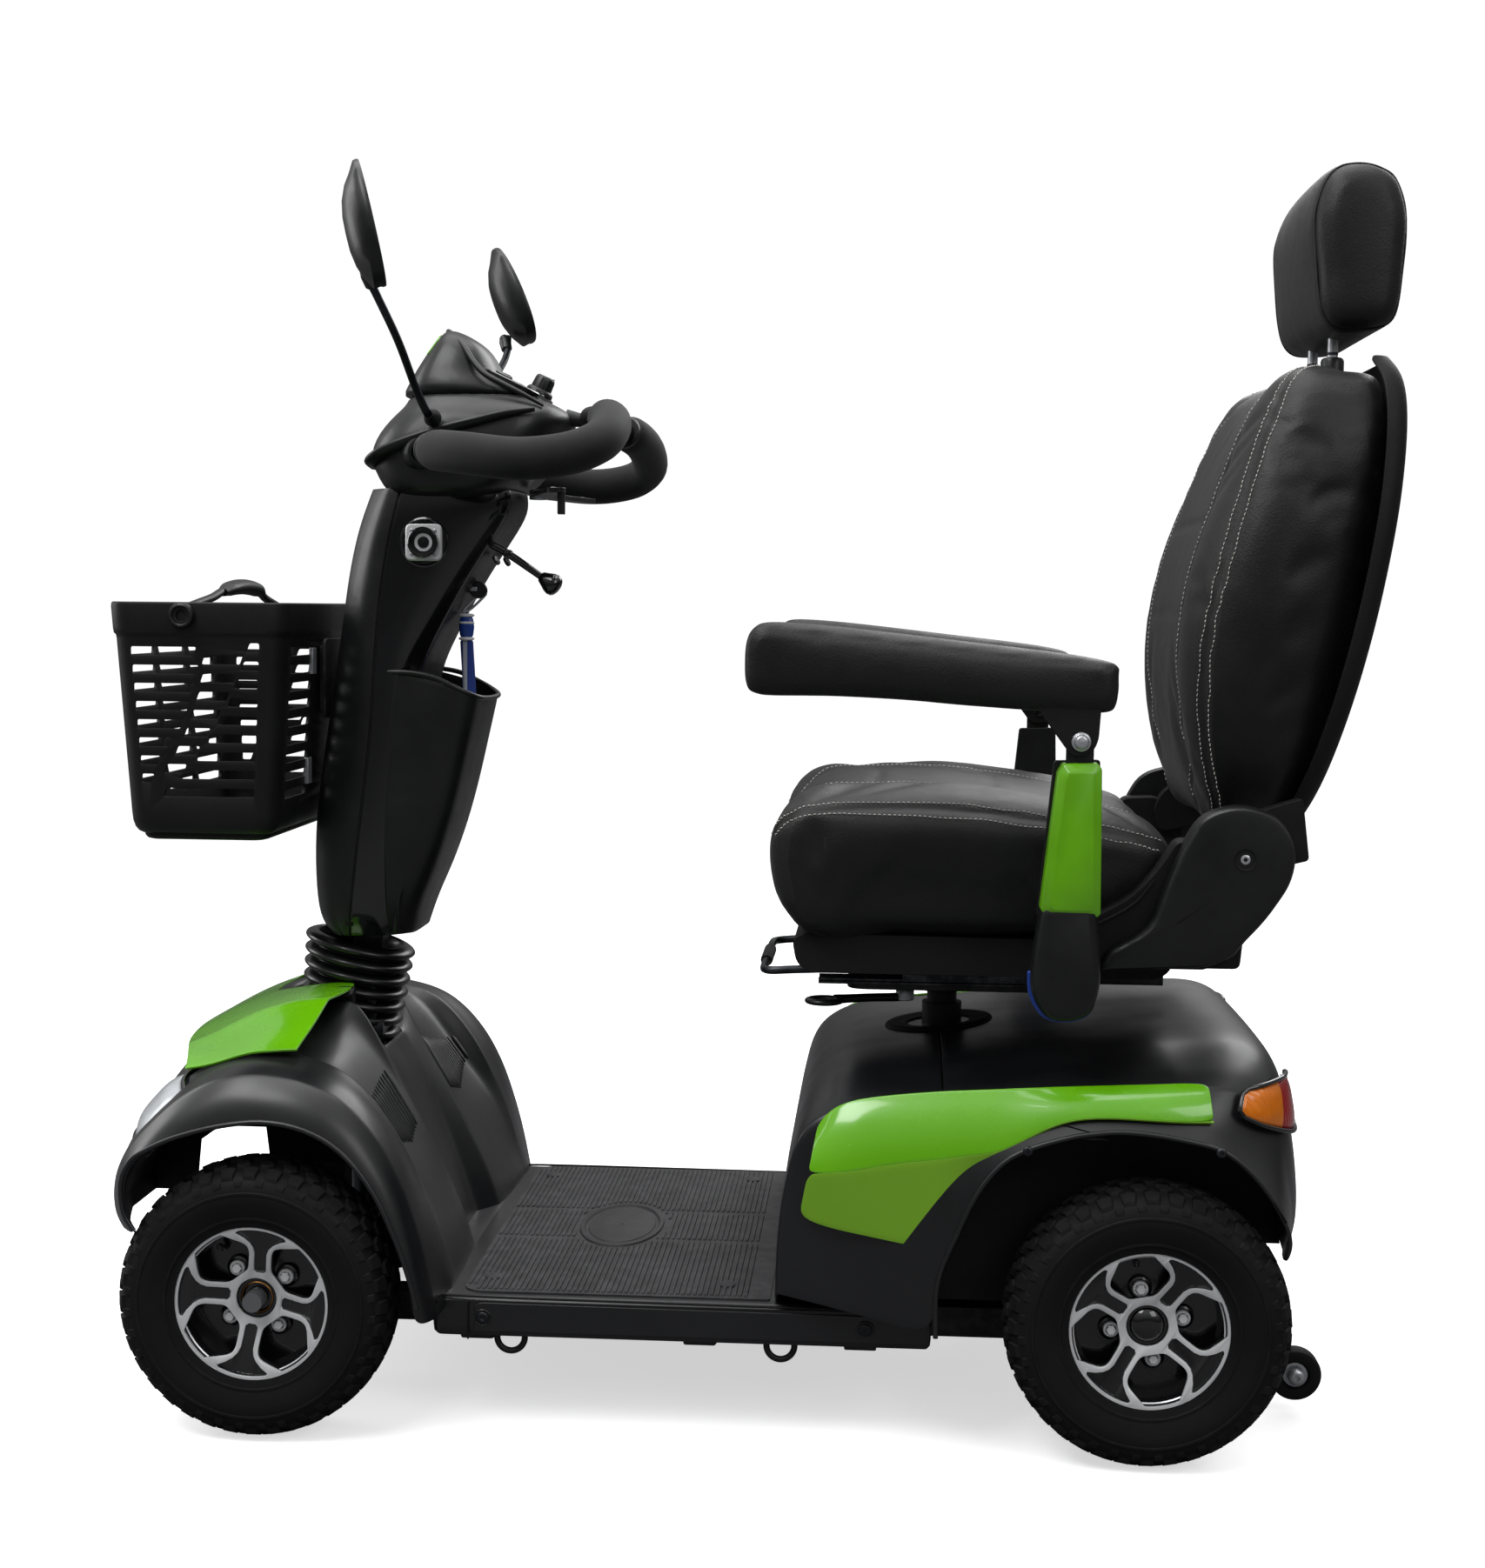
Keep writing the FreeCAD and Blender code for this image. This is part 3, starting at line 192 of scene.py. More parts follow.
def leather(name, colour, panel_colour=None, sheen=0.05):
    """Grained vinyl: cell grain over soft creases; an optional sewn-in panel follows 'zone'."""
    n = Nodes(name)
    warp = n.node("ShaderNodeVectorMath", Vector=n.place)
    warp.operation = "ADD"
    swirl = n.node("ShaderNodeTexNoise", Scale=140.0, Detail=2.0, Vector=n.place)
    scaled = n.node("ShaderNodeVectorMath")
    scaled.operation = "SCALE"
    n.link(swirl.outputs["Color"], scaled.inputs[0])
    scaled.inputs["Scale"].default_value = 0.004
    n.link(scaled.outputs["Vector"], warp.inputs[1])
    cells = n.cells(620.0, "SMOOTH_F1", warp.outputs["Vector"])
    tiny = n.noise(1900.0, 2.0)
    crease = n.noise(26.0, 7.0, 0.62)
    base = rgb(*colour)
    soft = tuple(c * 1.55 + 0.002 for c in base[:3]) + (1.0,)
    shade = n.mix(n.span(n.noise(7.0, 4.0), 0.3, 0.72), base, soft)
    if panel_colour:
        inside = n.node("ShaderNodeAttribute")
        inside.attribute_name = "zone"
        mask = n.span(inside.outputs["Fac"], -0.0004, 0.0004)
        cloth = n.mix(n.span(n.noise(12.0, 5.0), 0.3, 0.7), rgb(*panel_colour),
                      tuple(c * 1.25 for c in rgb(*panel_colour)[:3]) + (1.0,))
        shade = n.mix(mask, shade, cloth)
    pits = n.span(cells, 0.0, 0.6, 0.86, 1.05)
    tinted = n.node("ShaderNodeVectorMath")
    tinted.operation = "SCALE"
    n.link(shade, tinted.inputs[0])
    n.link(pits, tinted.inputs["Scale"])
    n.set(Base_Color=tinted.outputs["Vector"], Roughness=n.span(crease, 0.25, 0.75, 0.4, 0.56),
          Sheen_Weight=sheen, Sheen_Roughness=0.5, Specular_IOR_Level=0.34)
    n.bump((cells, 0.16), (tiny, 0.03), (crease, 0.5))
    return n.material


def make_materials():
    """Every finish of the object, by its short key."""
    m = {}
    n = Nodes("body_black")                      # pearl black moulding
    flake = n.span(n.cells(2600.0), 0.0, 0.5, 1.0, 0.0)
    shade = n.mix(n.span(n.noise(6.0, 3.0), 0.3, 0.7), rgb(6, 7, 9), rgb(15, 16, 20))
    shade = n.mix(n.math("MULTIPLY", n.math("POWER", flake, 6.0), 0.35), shade, rgb(120, 124, 132))
    shade = n.mix(n.math("MULTIPLY", n.edges(0.53, 0.66), 0.14), shade, rgb(92, 92, 94))
    n.set(Base_Color=shade, Roughness=n.span(n.noise(18.0, 6.0), 0.3, 0.72, 0.34, 0.48),
          Metallic=0.1, Coat_Weight=0.3, Coat_Roughness=0.26)
    n.bump((n.noise(420.0, 2.0), 0.012), (n.noise(1500.0, 2.0), 0.006))
    m["body"] = n.material
    n = Nodes("lime_gloss")
    shade = n.mix(n.span(n.noise(5.0, 3.0), 0.3, 0.7), rgb(98, 176, 2), rgb(108, 186, 4))
    shade = n.mix(n.math("MULTIPLY", n.edges(0.53, 0.64), 0.3), shade, rgb(150, 208, 48))
    n.set(Base_Color=shade, Roughness=n.span(n.noise(20.0, 6.0), 0.3, 0.7, 0.2, 0.34),
          Coat_Weight=0.7, Coat_Roughness=0.08, Specular_IOR_Level=0.5)
    n.bump((n.noise(360.0, 2.0), 0.002), (n.noise(1400.0, 2.0), 0.0006))
    m["lime"] = n.material
    n = Nodes("lime_satin")                      # lower facet of the side panels, finely grained
    shade = n.mix(n.span(n.noise(5.0, 3.0), 0.3, 0.7), rgb(120, 176, 30), rgb(128, 184, 36))
    n.set(Base_Color=shade, Roughness=n.span(n.noise(30.0, 6.0), 0.3, 0.7, 0.42, 0.55), Coat_Weight=0.15)
    n.bump((n.cells(900.0), 0.05), (n.noise(1700.0, 2.0), 0.03))
    m["lime_satin"] = n.material
    m["plastic"] = surface("satin_black", (11, 12, 14), 0.42, coat=0.08, grain=(1100.0, 0.025),
                           pores=(760.0, 0.02))
    m["matt"] = surface("grained_black", (12, 12, 13), 0.6, grain=(1300.0, 0.06), pores=(680.0, 0.08),
                        specular=0.25)
    m["gloss"] = surface("gloss_black", (8, 9, 11), 0.16, coat=0.8, grain=(500.0, 0.006), vary=0.05)
    m["wire"] = surface("basket_black", (16, 16, 18), 0.5, specular=0.3, grain=(900.0, 0.05),
                        pores=(600.0, 0.04))
    m["frame"] = surface("powder_coat", (13, 14, 15), 0.5, grain=(420.0, 0.06), pores=(900.0, 0.03),
                         wear=0.5, wear_colour=(120, 120, 124))
    m["rubber"] = surface("rubber", (13, 13, 13), 0.74, grain=(700.0, 0.08), shift=0.35, wear=0.3,
                          wear_colour=(52, 51, 50), specular=0.22)
    m["bellows"] = surface("gaiter_rubber", (8, 9, 9), 0.34, grain=(240.0, 0.03), coat=0.2, vary=0.08)
    m["mat"] = surface("mat_rubber", (44, 44, 46), 0.66, grain=(1200.0, 0.09), pores=(520.0, 0.1), wear=0.35,
                       wear_colour=(88, 88, 90), specular=0.4)
    m["steel"] = surface("zinc_steel", (186, 188, 192), 0.34, metal=0.72, grain=(800.0, 0.02), shift=0.12)
    m["dark_steel"] = surface("dark_steel", (48, 50, 54), 0.4, metal=0.85, grain=(700.0, 0.03), wear=0.6,
                              wear_colour=(150, 150, 152))
    m["bronze"] = surface("bronze", (166, 118, 66), 0.32, metal=1.0, grain=(600.0, 0.02), shift=0.1)
    m["cast"] = surface("cast_aluminium", (128, 131, 134), 0.5, metal=0.9, grain=(300.0, 0.14),
                        pores=(260.0, 0.1), shift=0.1)
    m["rim_paint"] = surface("rim_black", (14, 14, 16), 0.24, coat=0.6, grain=(500.0, 0.01))
    m["thread"] = surface("thread", (196, 194, 188), 0.8, grain=(2600.0, 0.08), wear=0.0, specular=0.2)
    m["battery"] = surface("battery_case", (44, 48, 56), 0.5, grain=(600.0, 0.05))
    m["green_cover"] = surface("green_cover", (104, 178, 4), 0.36, coat=0.3, grain=(900.0, 0.03),
                               wear=0.4, wear_colour=(152, 196, 84))
    m["mirror_glass"] = surface("mirror_glass", (190, 196, 200), 0.05, metal=1.0, grain=(30.0, 0.002),
                                shift=0.03, vary=0.02, wear=0.0)
    m["display"] = surface("display_glass", (10, 13, 18), 0.08, coat=1.0, grain=(40.0, 0.003), vary=0.03)
    m["cap_blue"] = surface("key_clasp", (24, 62, 150), 0.35, coat=0.3, grain=(900.0, 0.02))
    m["white"] = surface("light_plastic", (222, 224, 226), 0.35, grain=(900.0, 0.02), shift=0.05)
    m["vinyl"] = leather("black_vinyl", (9, 9, 11))
    m["seat_vinyl"] = leather("seat_vinyl", (9, 9, 11), (24, 24, 25))
    n = Nodes("machined_alloy")                  # brushed round the wheel centre
    ring = n.noise(40.0, 6.0, 0.6, n.stretch(1.0, 60.0, 1.0))
    shade = n.mix(n.span(n.noise(14.0, 4.0), 0.3, 0.7), rgb(206, 208, 210), rgb(228, 229, 230))
    shade = n.mix(n.math("MULTIPLY", n.edges(0.54, 0.64), 0.5), shade, rgb(238, 238, 238))
    n.set(Base_Color=shade, Metallic=0.35, Roughness=n.span(ring, 0.3, 0.7, 0.3, 0.42))
    n.bump((n.noise(1200.0, 3.0, 0.6, n.stretch(0.3, 3.0, 0.3)), 0.012))
    m["alloy"] = n.material
    n = Nodes("foam_grip")
    dots = n.cells(1300.0)
    shade = n.mix(n.span(n.noise(40.0, 5.0), 0.3, 0.7), rgb(14, 14, 16), rgb(24, 24, 26))
    n.set(Base_Color=shade, Roughness=n.span(dots, 0.0, 0.5, 0.62, 0.8), Sheen_Weight=0.08,
          Specular_IOR_Level=0.3)
    n.bump((dots, 0.1), (n.noise(300.0, 4.0), 0.08))
    m["foam"] = n.material
    n = Nodes("strap_weave")                     # blue webbing with a pale centre stripe
    wave = n.node("ShaderNodeTexWave", Scale=420.0, Vector=n.place)
    wave.bands_direction = "Z"
    across = n.node("ShaderNodeSeparateXYZ", Vector=n.place)
    stripe = n.math("LESS_THAN", n.math("ABSOLUTE", n.math("ADD", across.outputs["X"], -0.2955)), 0.0022)
    shade = n.mix(stripe, rgb(30, 66, 158), rgb(190, 196, 208))
    n.set(Base_Color=n.mix(n.span(wave.outputs["Fac"], 0.0, 1.0, 0.0, 0.35), shade, rgb(16, 24, 60)),
          Roughness=n.span(n.noise(600.0), 0.3, 0.7, 0.7, 0.86), Sheen_Weight=0.25)
    n.bump((wave.outputs["Fac"], 0.25), (n.noise(2200.0), 0.06))
    m["strap"] = n.material
    for key, tint, through in (("clear", (236, 240, 244), 0.3), ("amber", (255, 140, 16), 0.3),
                               ("red", (188, 10, 14), 0.35)):
        n = Nodes("lens_" + key)
        flutes = n.node("ShaderNodeTexWave", Scale=90.0, Vector=n.place)
        flutes.bands_direction = "Y"
        cloud = n.span(n.noise(80.0, 4.0), 0.3, 0.7)
        base = rgb(*tint)
        n.set(Base_Color=n.mix(cloud, base, tuple(c * 0.86 for c in base[:3]) + (1.0,)),
              Roughness=n.span(n.noise(50.0, 5.0), 0.3, 0.7, 0.04, 0.12), Transmission_Weight=through,
              IOR=1.49, Coat_Weight=0.4)
        n.bump((flutes.outputs["Fac"], 0.35 if key != "clear" else 0.08), (n.noise(500.0), 0.01))
        m[key] = n.material
    n = Nodes("reflector")
    n.set(Base_Color=n.mix(n.span(n.noise(30.0), 0.3, 0.7), rgb(226, 228, 232), rgb(250, 250, 252)),
          Metallic=1.0, Roughness=n.span(n.noise(60.0), 0.3, 0.7, 0.08, 0.2))
    n.bump((n.cells(120.0), 0.3))
    m["reflector"] = n.material
    return m


MAT = make_materials()


# --- geometry tools ----------------------------------------------------------------------

def spline(points, steps=8, closed=False):
    """Catmull-Rom curve through the points."""
    pts = [Vector(p) for p in points]
    count = len(pts)
    out = []
    last = count if closed else count - 1
    for i in range(last):
        p1, p2 = pts[i], pts[(i + 1) % count]
        p0 = pts[i - 1] if closed or i > 0 else p1 * 2 - p2
        p3 = pts[(i + 2) % count] if closed or i + 2 < count else p2 * 2 - p1
        for k in range(steps):
            t = k / steps
            out.append(0.5 * ((2 * p1) + (p2 - p0) * t + (2 * p0 - 5 * p1 + 4 * p2 - p3) * t * t
                              + (3 * p1 - p0 - 3 * p2 + p3) * t ** 3))
    if not closed:
        out.append(pts[-1])
    return out


def basis(axis):
    """Two unit vectors square to an axis."""
    axis = Vector(axis).normalized()
    side = axis.cross(Vector((0, 0, 1)))
    if side.length < 1e-3:
        side = axis.cross(Vector((1, 0, 0)))
    side.normalize()
    return side, axis.cross(side).normalized()


def mirrored(points):
    """The same points on the other side of the centre plane."""
    return [(p[0], -p[1], p[2]) for p in points]


def rounded(points, radius, steps=4):
    """Closed 2-D outline with its corners rounded; radius may be one number or one per corner."""
    count = len(points)
    out = []
    for i, point in enumerate(points):
        r = radius[i] if isinstance(radius, (list, tuple)) else radius
        here = Vector(point)
        before = Vector(points[i - 1]) - here
        after = Vector(points[(i + 1) % count]) - here
        r = min(r, before.length * 0.48, after.length * 0.48)
        if r < 0.05:
            out.append(tuple(here))
            continue
        start = here + before.normalized() * r
        end = here + after.normalized() * r
        for k in range(steps + 1):
            t = k / steps
            out.append(tuple(start * (1 - t) ** 2 + here * 2 * t * (1 - t) + end * t * t))
    return out


class Piece:
    """Collects geometry in millimetres for one piece of the visual model."""

    def __init__(self, *materials):
        self.verts, self.faces, self.tags = [], [], []
        self.materials = [MAT[key] for key in materials]

    def add(self, verts, faces, mat=0):
        base = len(self.verts)
        self.verts.extend(Vector(v) for v in verts)
        for face in faces:
            self.faces.append([base + i for i in face])
            self.tags.append(mat)
        return self

    def both(self, other):
        """Adds another piece's geometry and its mirror image across the centre plane."""
        base = len(self.verts)
        count = len(other.verts)
        self.verts.extend(other.verts)
        self.verts.extend(Vector((v.x, -v.y, v.z)) for v in other.verts)
        for face, tag in zip(other.faces, other.tags):
            self.faces.append([base + i for i in face])
            self.faces.append([base + count + i for i in reversed(face)])
            self.tags += [tag, tag]
        return self

    def grid(self, rows, mat=0, loop_u=False, loop_v=False, flip=False):
        """Quads between rows of points; loop_u closes each row, loop_v joins last row to first."""
        wide, deep = len(rows[0]), len(rows)
        faces = []
        for j in range(deep if loop_v else deep - 1):
            for i in range(wide if loop_u else wide - 1):
                a, b = j * wide + i, j * wide + (i + 1) % wide
                c, d = ((j + 1) % deep) * wide + (i + 1) % wide, ((j + 1) % deep) * wide + i
                faces.append((a, d, c, b) if flip else (a, b, c, d))
        return self.add([p for row in rows for p in row], faces, mat)

    def loft(self, rings, mat=0, caps=True, flip=False):
        self.grid(rings, mat, loop_u=True, flip=flip)
        if caps:
            wide = len(rings[0])
            top = len(self.verts)
            first = list(range(top - wide * len(rings), top - wide * len(rings) + wide))
            last = list(range(top - wide, top))
            self.faces += [first if flip else first[::-1], last[::-1] if flip else last]
            self.tags += [mat, mat]
        return self

    def tube(self, points, radius, mat=0, sides=16, smooth=6, caps=True, closed=False, flat=1.0):
        """Round tube along a smooth curve; radius may be a list along the control points."""
        path = spline(points, smooth, closed) if smooth else [Vector(p) for p in points]
        count = len(path)
        if isinstance(radius, (list, tuple)):
            spread = [radius[min(len(radius) - 1, int(i / max(1, smooth)))]
                      + (radius[min(len(radius) - 1, int(i / max(1, smooth)) + 1)]
                         - radius[min(len(radius) - 1, int(i / max(1, smooth)))])
                      * ((i / max(1, smooth)) % 1.0) for i in range(count)]
        else:
            spread = [radius] * count
        rings, side = [], None
        for i, here in enumerate(path):
            ahead = path[(i + 1) % count] if closed or i + 1 < count else here
            behind = path[i - 1] if closed or i > 0 else here
            along = (ahead - behind).normalized()
            if side is None:
                side = basis(along)[0]
            side = (side - along * side.dot(along)).normalized()
            up = along.cross(side)
            rings.append([here + (side * math.cos(a) + up * math.sin(a) * flat) * spread[i]
                          for a in (2 * math.pi * k / sides for k in range(sides))])
        if closed:
            return self.grid(rings, mat, loop_u=True, loop_v=True, flip=True)
        return self.loft(rings, mat, caps, flip=True)

    def turn(self, centre, axis, profile, mat=0, sides=40, caps=False, start=0.0, sweep=360.0):
        """Surface of revolution from (distance along axis, radius) pairs."""
        centre, axis = Vector(centre), Vector(axis).normalized()
        side, up = basis(axis)
        full = abs(sweep - 360.0) < 1e-6
        count = sides if full else sides + 1
        rings = []
        for along, radius in profile:
            ring = []
            for k in range(count):
                a = math.radians(start + sweep * k / sides)
                ring.append(centre + axis * along + (side * math.cos(a) + up * math.sin(a)) * radius)
            rings.append(ring)
        if full:
            return self.loft(rings, mat, caps, flip=False)
        return self.grid(rings, mat)

    def plate(self, points, low, high, axis="y", mat=0):
        """Closed outline pushed along an axis; points are the other two coordinates in order."""
        def lift(point, level):
            if axis == "y":
                return (point[0], level, point[1])
            if axis == "x":
                return (level, point[0], point[1])
            return (point[0], point[1], level)
        area = sum(a[0] * b[1] - b[0] * a[1] for a, b in zip(points, points[1:] + points[:1]))
        if (area > 0) == (axis == "y"):
            points = points[::-1]
        count = len(points)
        verts = [lift(p, low) for p in points] + [lift(p, high) for p in points]
        faces = [list(range(count))[::-1], list(range(count, 2 * count))]
        for i in range(count):
            j = (i + 1) % count
            faces.append((i, j, count + j, count + i))
        return self.add(verts, faces, mat)

    def block(self, low, high, mat=0):
        return self.plate([(low[0], low[1]), (high[0], low[1]), (high[0], high[1]), (low[0], high[1])],
                          low[2], high[2], "z", mat)

    def screw(self, centre, axis, radius, mat=0, height=2.0, slot_mat=None):
        """Domed screw head with a hex or cross recess."""
        r, h = radius, height
        self.turn(centre, axis, [(-0.5 * h, r), (0.25 * h, r), (0.6 * h, r * 0.93), (0.9 * h, r * 0.72),
                                 (h, r * 0.5)], mat, 20)
        side, up = basis(axis)
        c, axis = Vector(centre), Vector(axis).normalized()
        rim = [c + axis * h + (side * math.cos(k * math.pi / 10) + up * math.sin(k * math.pi / 10)) * r * 0.5
               for k in range(20)]
        well = [c + axis * h + (side * math.cos(k * math.pi / 10) + up * math.sin(k * math.pi / 10))
                * r * (0.4 if (k % 10) in (0, 5) else 0.34) for k in range(20)]
        deep = [p - axis * h * 0.5 for p in well]
        self.loft([rim, well, deep], mat if slot_mat is None else slot_mat, False, flip=False)
        self.faces.append(list(range(len(self.verts) - 20, len(self.verts))))
        self.tags.append(mat if slot_mat is None else slot_mat)
        return self

    def make(self, name, body, slot, replaces=(), bevel=0.0, segments=2, levels=0, solid=0.0, offset=-1.0,
             angle=38.0, merge=0.0, weld=True):
        """Makes the object, its modifiers and its place in the frame."""
        mesh = bpy.data.meshes.new(name)
        mesh.from_pydata([v * MM for v in self.verts], [], self.faces)
        for material in self.materials:
            mesh.materials.append(material)
        mesh.polygons.foreach_set("material_index", self.tags)
        work = bmesh.new()
        work.from_mesh(mesh)
        if weld:
            bmesh.ops.remove_doubles(work, verts=work.verts, dist=(merge or 0.01) * MM)
        bmesh.ops.dissolve_degenerate(work, edges=work.edges, dist=0.002 * MM)
        if solid == 0.0:
            bmesh.ops.recalc_face_normals(work, faces=work.faces)
        work.to_mesh(mesh)
        work.free()
        mesh.polygons.foreach_set("use_smooth", [True] * len(mesh.polygons))
        obj = bpy.data.objects.new(name, mesh)
        bpy.context.scene.collection.objects.link(obj)
        if levels and solid == 0.0:
            sub = obj.modifiers.new("subdivide", "SUBSURF")
            sub.levels = sub.render_levels = levels
        if solid:
            if levels:
                sub = obj.modifiers.new("subdivide", "SUBSURF")
                sub.levels = sub.render_levels = levels
            thick = obj.modifiers.new("thickness", "SOLIDIFY")
            thick.thickness = abs(solid) * MM
            thick.offset = offset
            thick.use_even_offset = True
        if bevel:
            edge = obj.modifiers.new("bevel", "BEVEL")
            edge.width = bevel * MM
            edge.segments = segments
            edge.limit_method = "ANGLE"
            edge.angle_limit = math.radians(34.0)
            edge.harden_normals = False
        if not levels:
            mesh.polygons.foreach_set("use_smooth", [True] * len(mesh.polygons))
            bpy.context.view_layer.objects.active = obj
            obj.select_set(True)
            bpy.ops.object.shade_smooth_by_angle(angle=math.radians(angle))
            obj.select_set(False)
        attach(obj, body)
        if replaces:
            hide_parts(*replaces)
        return obj


def smooth_cage(rows, name, body, materials, replaces=(), solid=3.0, levels=3, creases=(), skip=None,
                row_creases=(), mat=0, tag=None):
    """Half cage (rows of points from the centre plane outwards) mirrored, creased and thickened."""
    full = [[(p[0], -p[1], p[2]) for p in row[:0:-1]] + list(row) for row in rows]
    wide = len(full[0])
    middle = len(rows[0]) - 1
    mesh = bpy.data.meshes.new(name)
    verts = [Vector(p) * MM for row in full for p in row]
    faces, tags = [], []
    for j in range(len(full) - 1):
        for i in range(wide - 1):
            quad = (j * wide + i, j * wide + i + 1, (j + 1) * wide + i + 1, (j + 1) * wide + i)
            centre = sum((verts[k] for k in quad), Vector()) / 4 / MM
            if skip and skip(centre):
                continue
            faces.append(quad)
            tags.append(tag(centre) if tag else mat)
    mesh.from_pydata(verts, [], faces)
    for key in materials:
        mesh.materials.append(MAT[key])
    mesh.polygons.foreach_set("material_index", tags)
    mesh.polygons.foreach_set("use_smooth", [True] * len(mesh.polygons))
    work = bmesh.new()
    work.from_mesh(mesh)
    loose = [v for v in work.verts if not v.link_faces]
    layer = work.edges.layers.float.get("crease_edge") or work.edges.layers.float.new("crease_edge")
    work.verts.index_update()
    for edge in work.edges:
        a, b = sorted(v.index for v in edge.verts)
        column_a, column_b = a % wide - middle, b % wide - middle
        if column_a == column_b:
            for column, weight in creases:
                if abs(column_a) == column:
                    edge[layer] = weight
        elif a // wide == b // wide:
            for row, weight in row_creases:
                if a // wide == row:
                    edge[layer] = weight
    bmesh.ops.delete(work, geom=loose, context="VERTS")
    work.to_mesh(mesh)
    work.free()
    obj = bpy.data.objects.new(name, mesh)
    bpy.context.scene.collection.objects.link(obj)
    sub = obj.modifiers.new("subdivide", "SUBSURF")
    sub.levels = sub.render_levels = levels
    thick = obj.modifiers.new("thickness", "SOLIDIFY")
    thick.thickness = solid * MM
    thick.offset = -1.0
    edge = obj.modifiers.new("bevel", "BEVEL")
    edge.width = 0.5 * MM
    edge.segments = 2
    edge.limit_method = "ANGLE"
    edge.angle_limit = math.radians(50.0)
    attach(obj, body)
    if replaces:
        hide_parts(*replaces)
    return obj


# --- front body --------------------------------------------------------------------------

# Outlines of the front body: nose to shelf first, then from the shelf down to the deck.
NOSE_A = ((606, 190), (613, 205), (608, 238), (594, 268), (571, 302), (549, 326), (518, 345), (482, 350),
          (446, 346))
NOSE_B = ((604, 190), (611, 205), (606, 238), (591, 268), (569, 302), (548, 327), (518, 347), (482, 354),
          (446, 356))
NOSE_C = ((600, 190), (606, 205), (601, 238), (586, 268), (563, 300), (543, 324), (514, 343), (481, 351),
          (446, 358))
NOSE_D = ((594, 190), (600, 205), (595, 238), (580, 268), (556, 296), (534, 316), (508, 332), (480, 341),
          (446, 347))
NOSE_E = ((582, 191), (590, 206), (587, 238), (575, 266), (552, 291), (528, 314), (503, 329), (478, 340),
          (446, 345))
NOSE_F = ((576, 192), (584, 206), (583, 238), (572, 265), (549, 290), (524, 315), (499, 331), (471, 343),
          (440, 346))
NOSE_G = ((568, 192), (577, 207), (577, 239), (566, 264), (546, 287), (522, 310), (498, 326), (470, 337),
          (440, 340))
NOSE_H = ((556, 193), (566, 208), (567, 240), (558, 260), (540, 278), (518, 297), (492, 310), (466, 319),
          (438, 322))
NOSE_I = ((548, 194), (560, 212), (562, 240), (553, 261), (538, 272), (515, 283), (487, 292), (460, 298),
          (430, 301))
TROUGH = ((414, 334), (374, 322), (357, 290), (343, 257), (330, 222), (316, 188), (305, 157), (295, 127))
TROUGH_EDGE = ((406, 384), (384, 358), (357, 303), (334, 262), (315, 224), (298, 188), (285, 157), (276, 127))
WELL_INNER = ((405, 366), (386, 338), (362, 300), (338, 262), (317, 226), (298, 190), (284, 158), (273, 127))
WELL_FLOOR = ((404, 342), (386, 326), (364, 295), (340, 258), (316, 223), (297, 189), (282, 158), (270, 127))
WELL_OUTER = ((404, 336), (384, 319), (362, 290), (337, 256), (312, 224), (294, 190), (280, 160), (269, 127))
RIM_INNER = ((403, 343), (372, 331), (345, 304), (323, 272), (305, 238), (291, 200), (279, 162), (268, 127))
RIM_OUTER = ((402, 341), (370, 329), (343, 302), (321, 270), (304, 236), (290, 199), (279, 162), (268, 127))
FLARE_F = ((401, 339), (369, 328), (342, 305), (321, 275), (304, 240), (291, 201), (280, 163), (272, 116))
FLARE_G = ((401, 334), (370, 323), (344, 301), (322, 272), (305, 237), (293, 200), (283, 164), (274, 116))
FLARE_H = ((401, 318), (372, 306), (346, 284), (324, 257), (308, 227), (297, 194), (288, 162), (279, 116))
FLARE_I = ((400, 297), (374, 286), (350, 267), (328, 238), (312, 205), (301, 178), (293, 152), (291, 116))
FRONT = (                                        # half width and outline of each column, nose and rear
    (0, NOSE_A, 0, TROUGH), (50, NOSE_A, 42, TROUGH), (88, NOSE_B, 70, TROUGH_EDGE),
    (110, NOSE_B, 84, WELL_INNER), (144, NOSE_C, 126, WELL_FLOOR), (172, NOSE_D, 188, WELL_OUTER),
    (194, NOSE_D, 205, RIM_INNER), (214, NOSE_E, 220, RIM_OUTER), (242, NOSE_F, 243, FLARE_F),
    (266, NOSE_G, 266, FLARE_G), (284, NOSE_H, 284, FLARE_H), (290, NOSE_I, 290, FLARE_I))
ARCH_FRONT = ((288, 131), (292, 150), (300, 176), (311, 204), (327, 237), (349, 266), (373, 285), (400, 296),
              (430, 300), (460, 297), (487, 291), (515, 282), (538, 271), (552, 261), (561, 240),
              (559, 213), (549, 196))


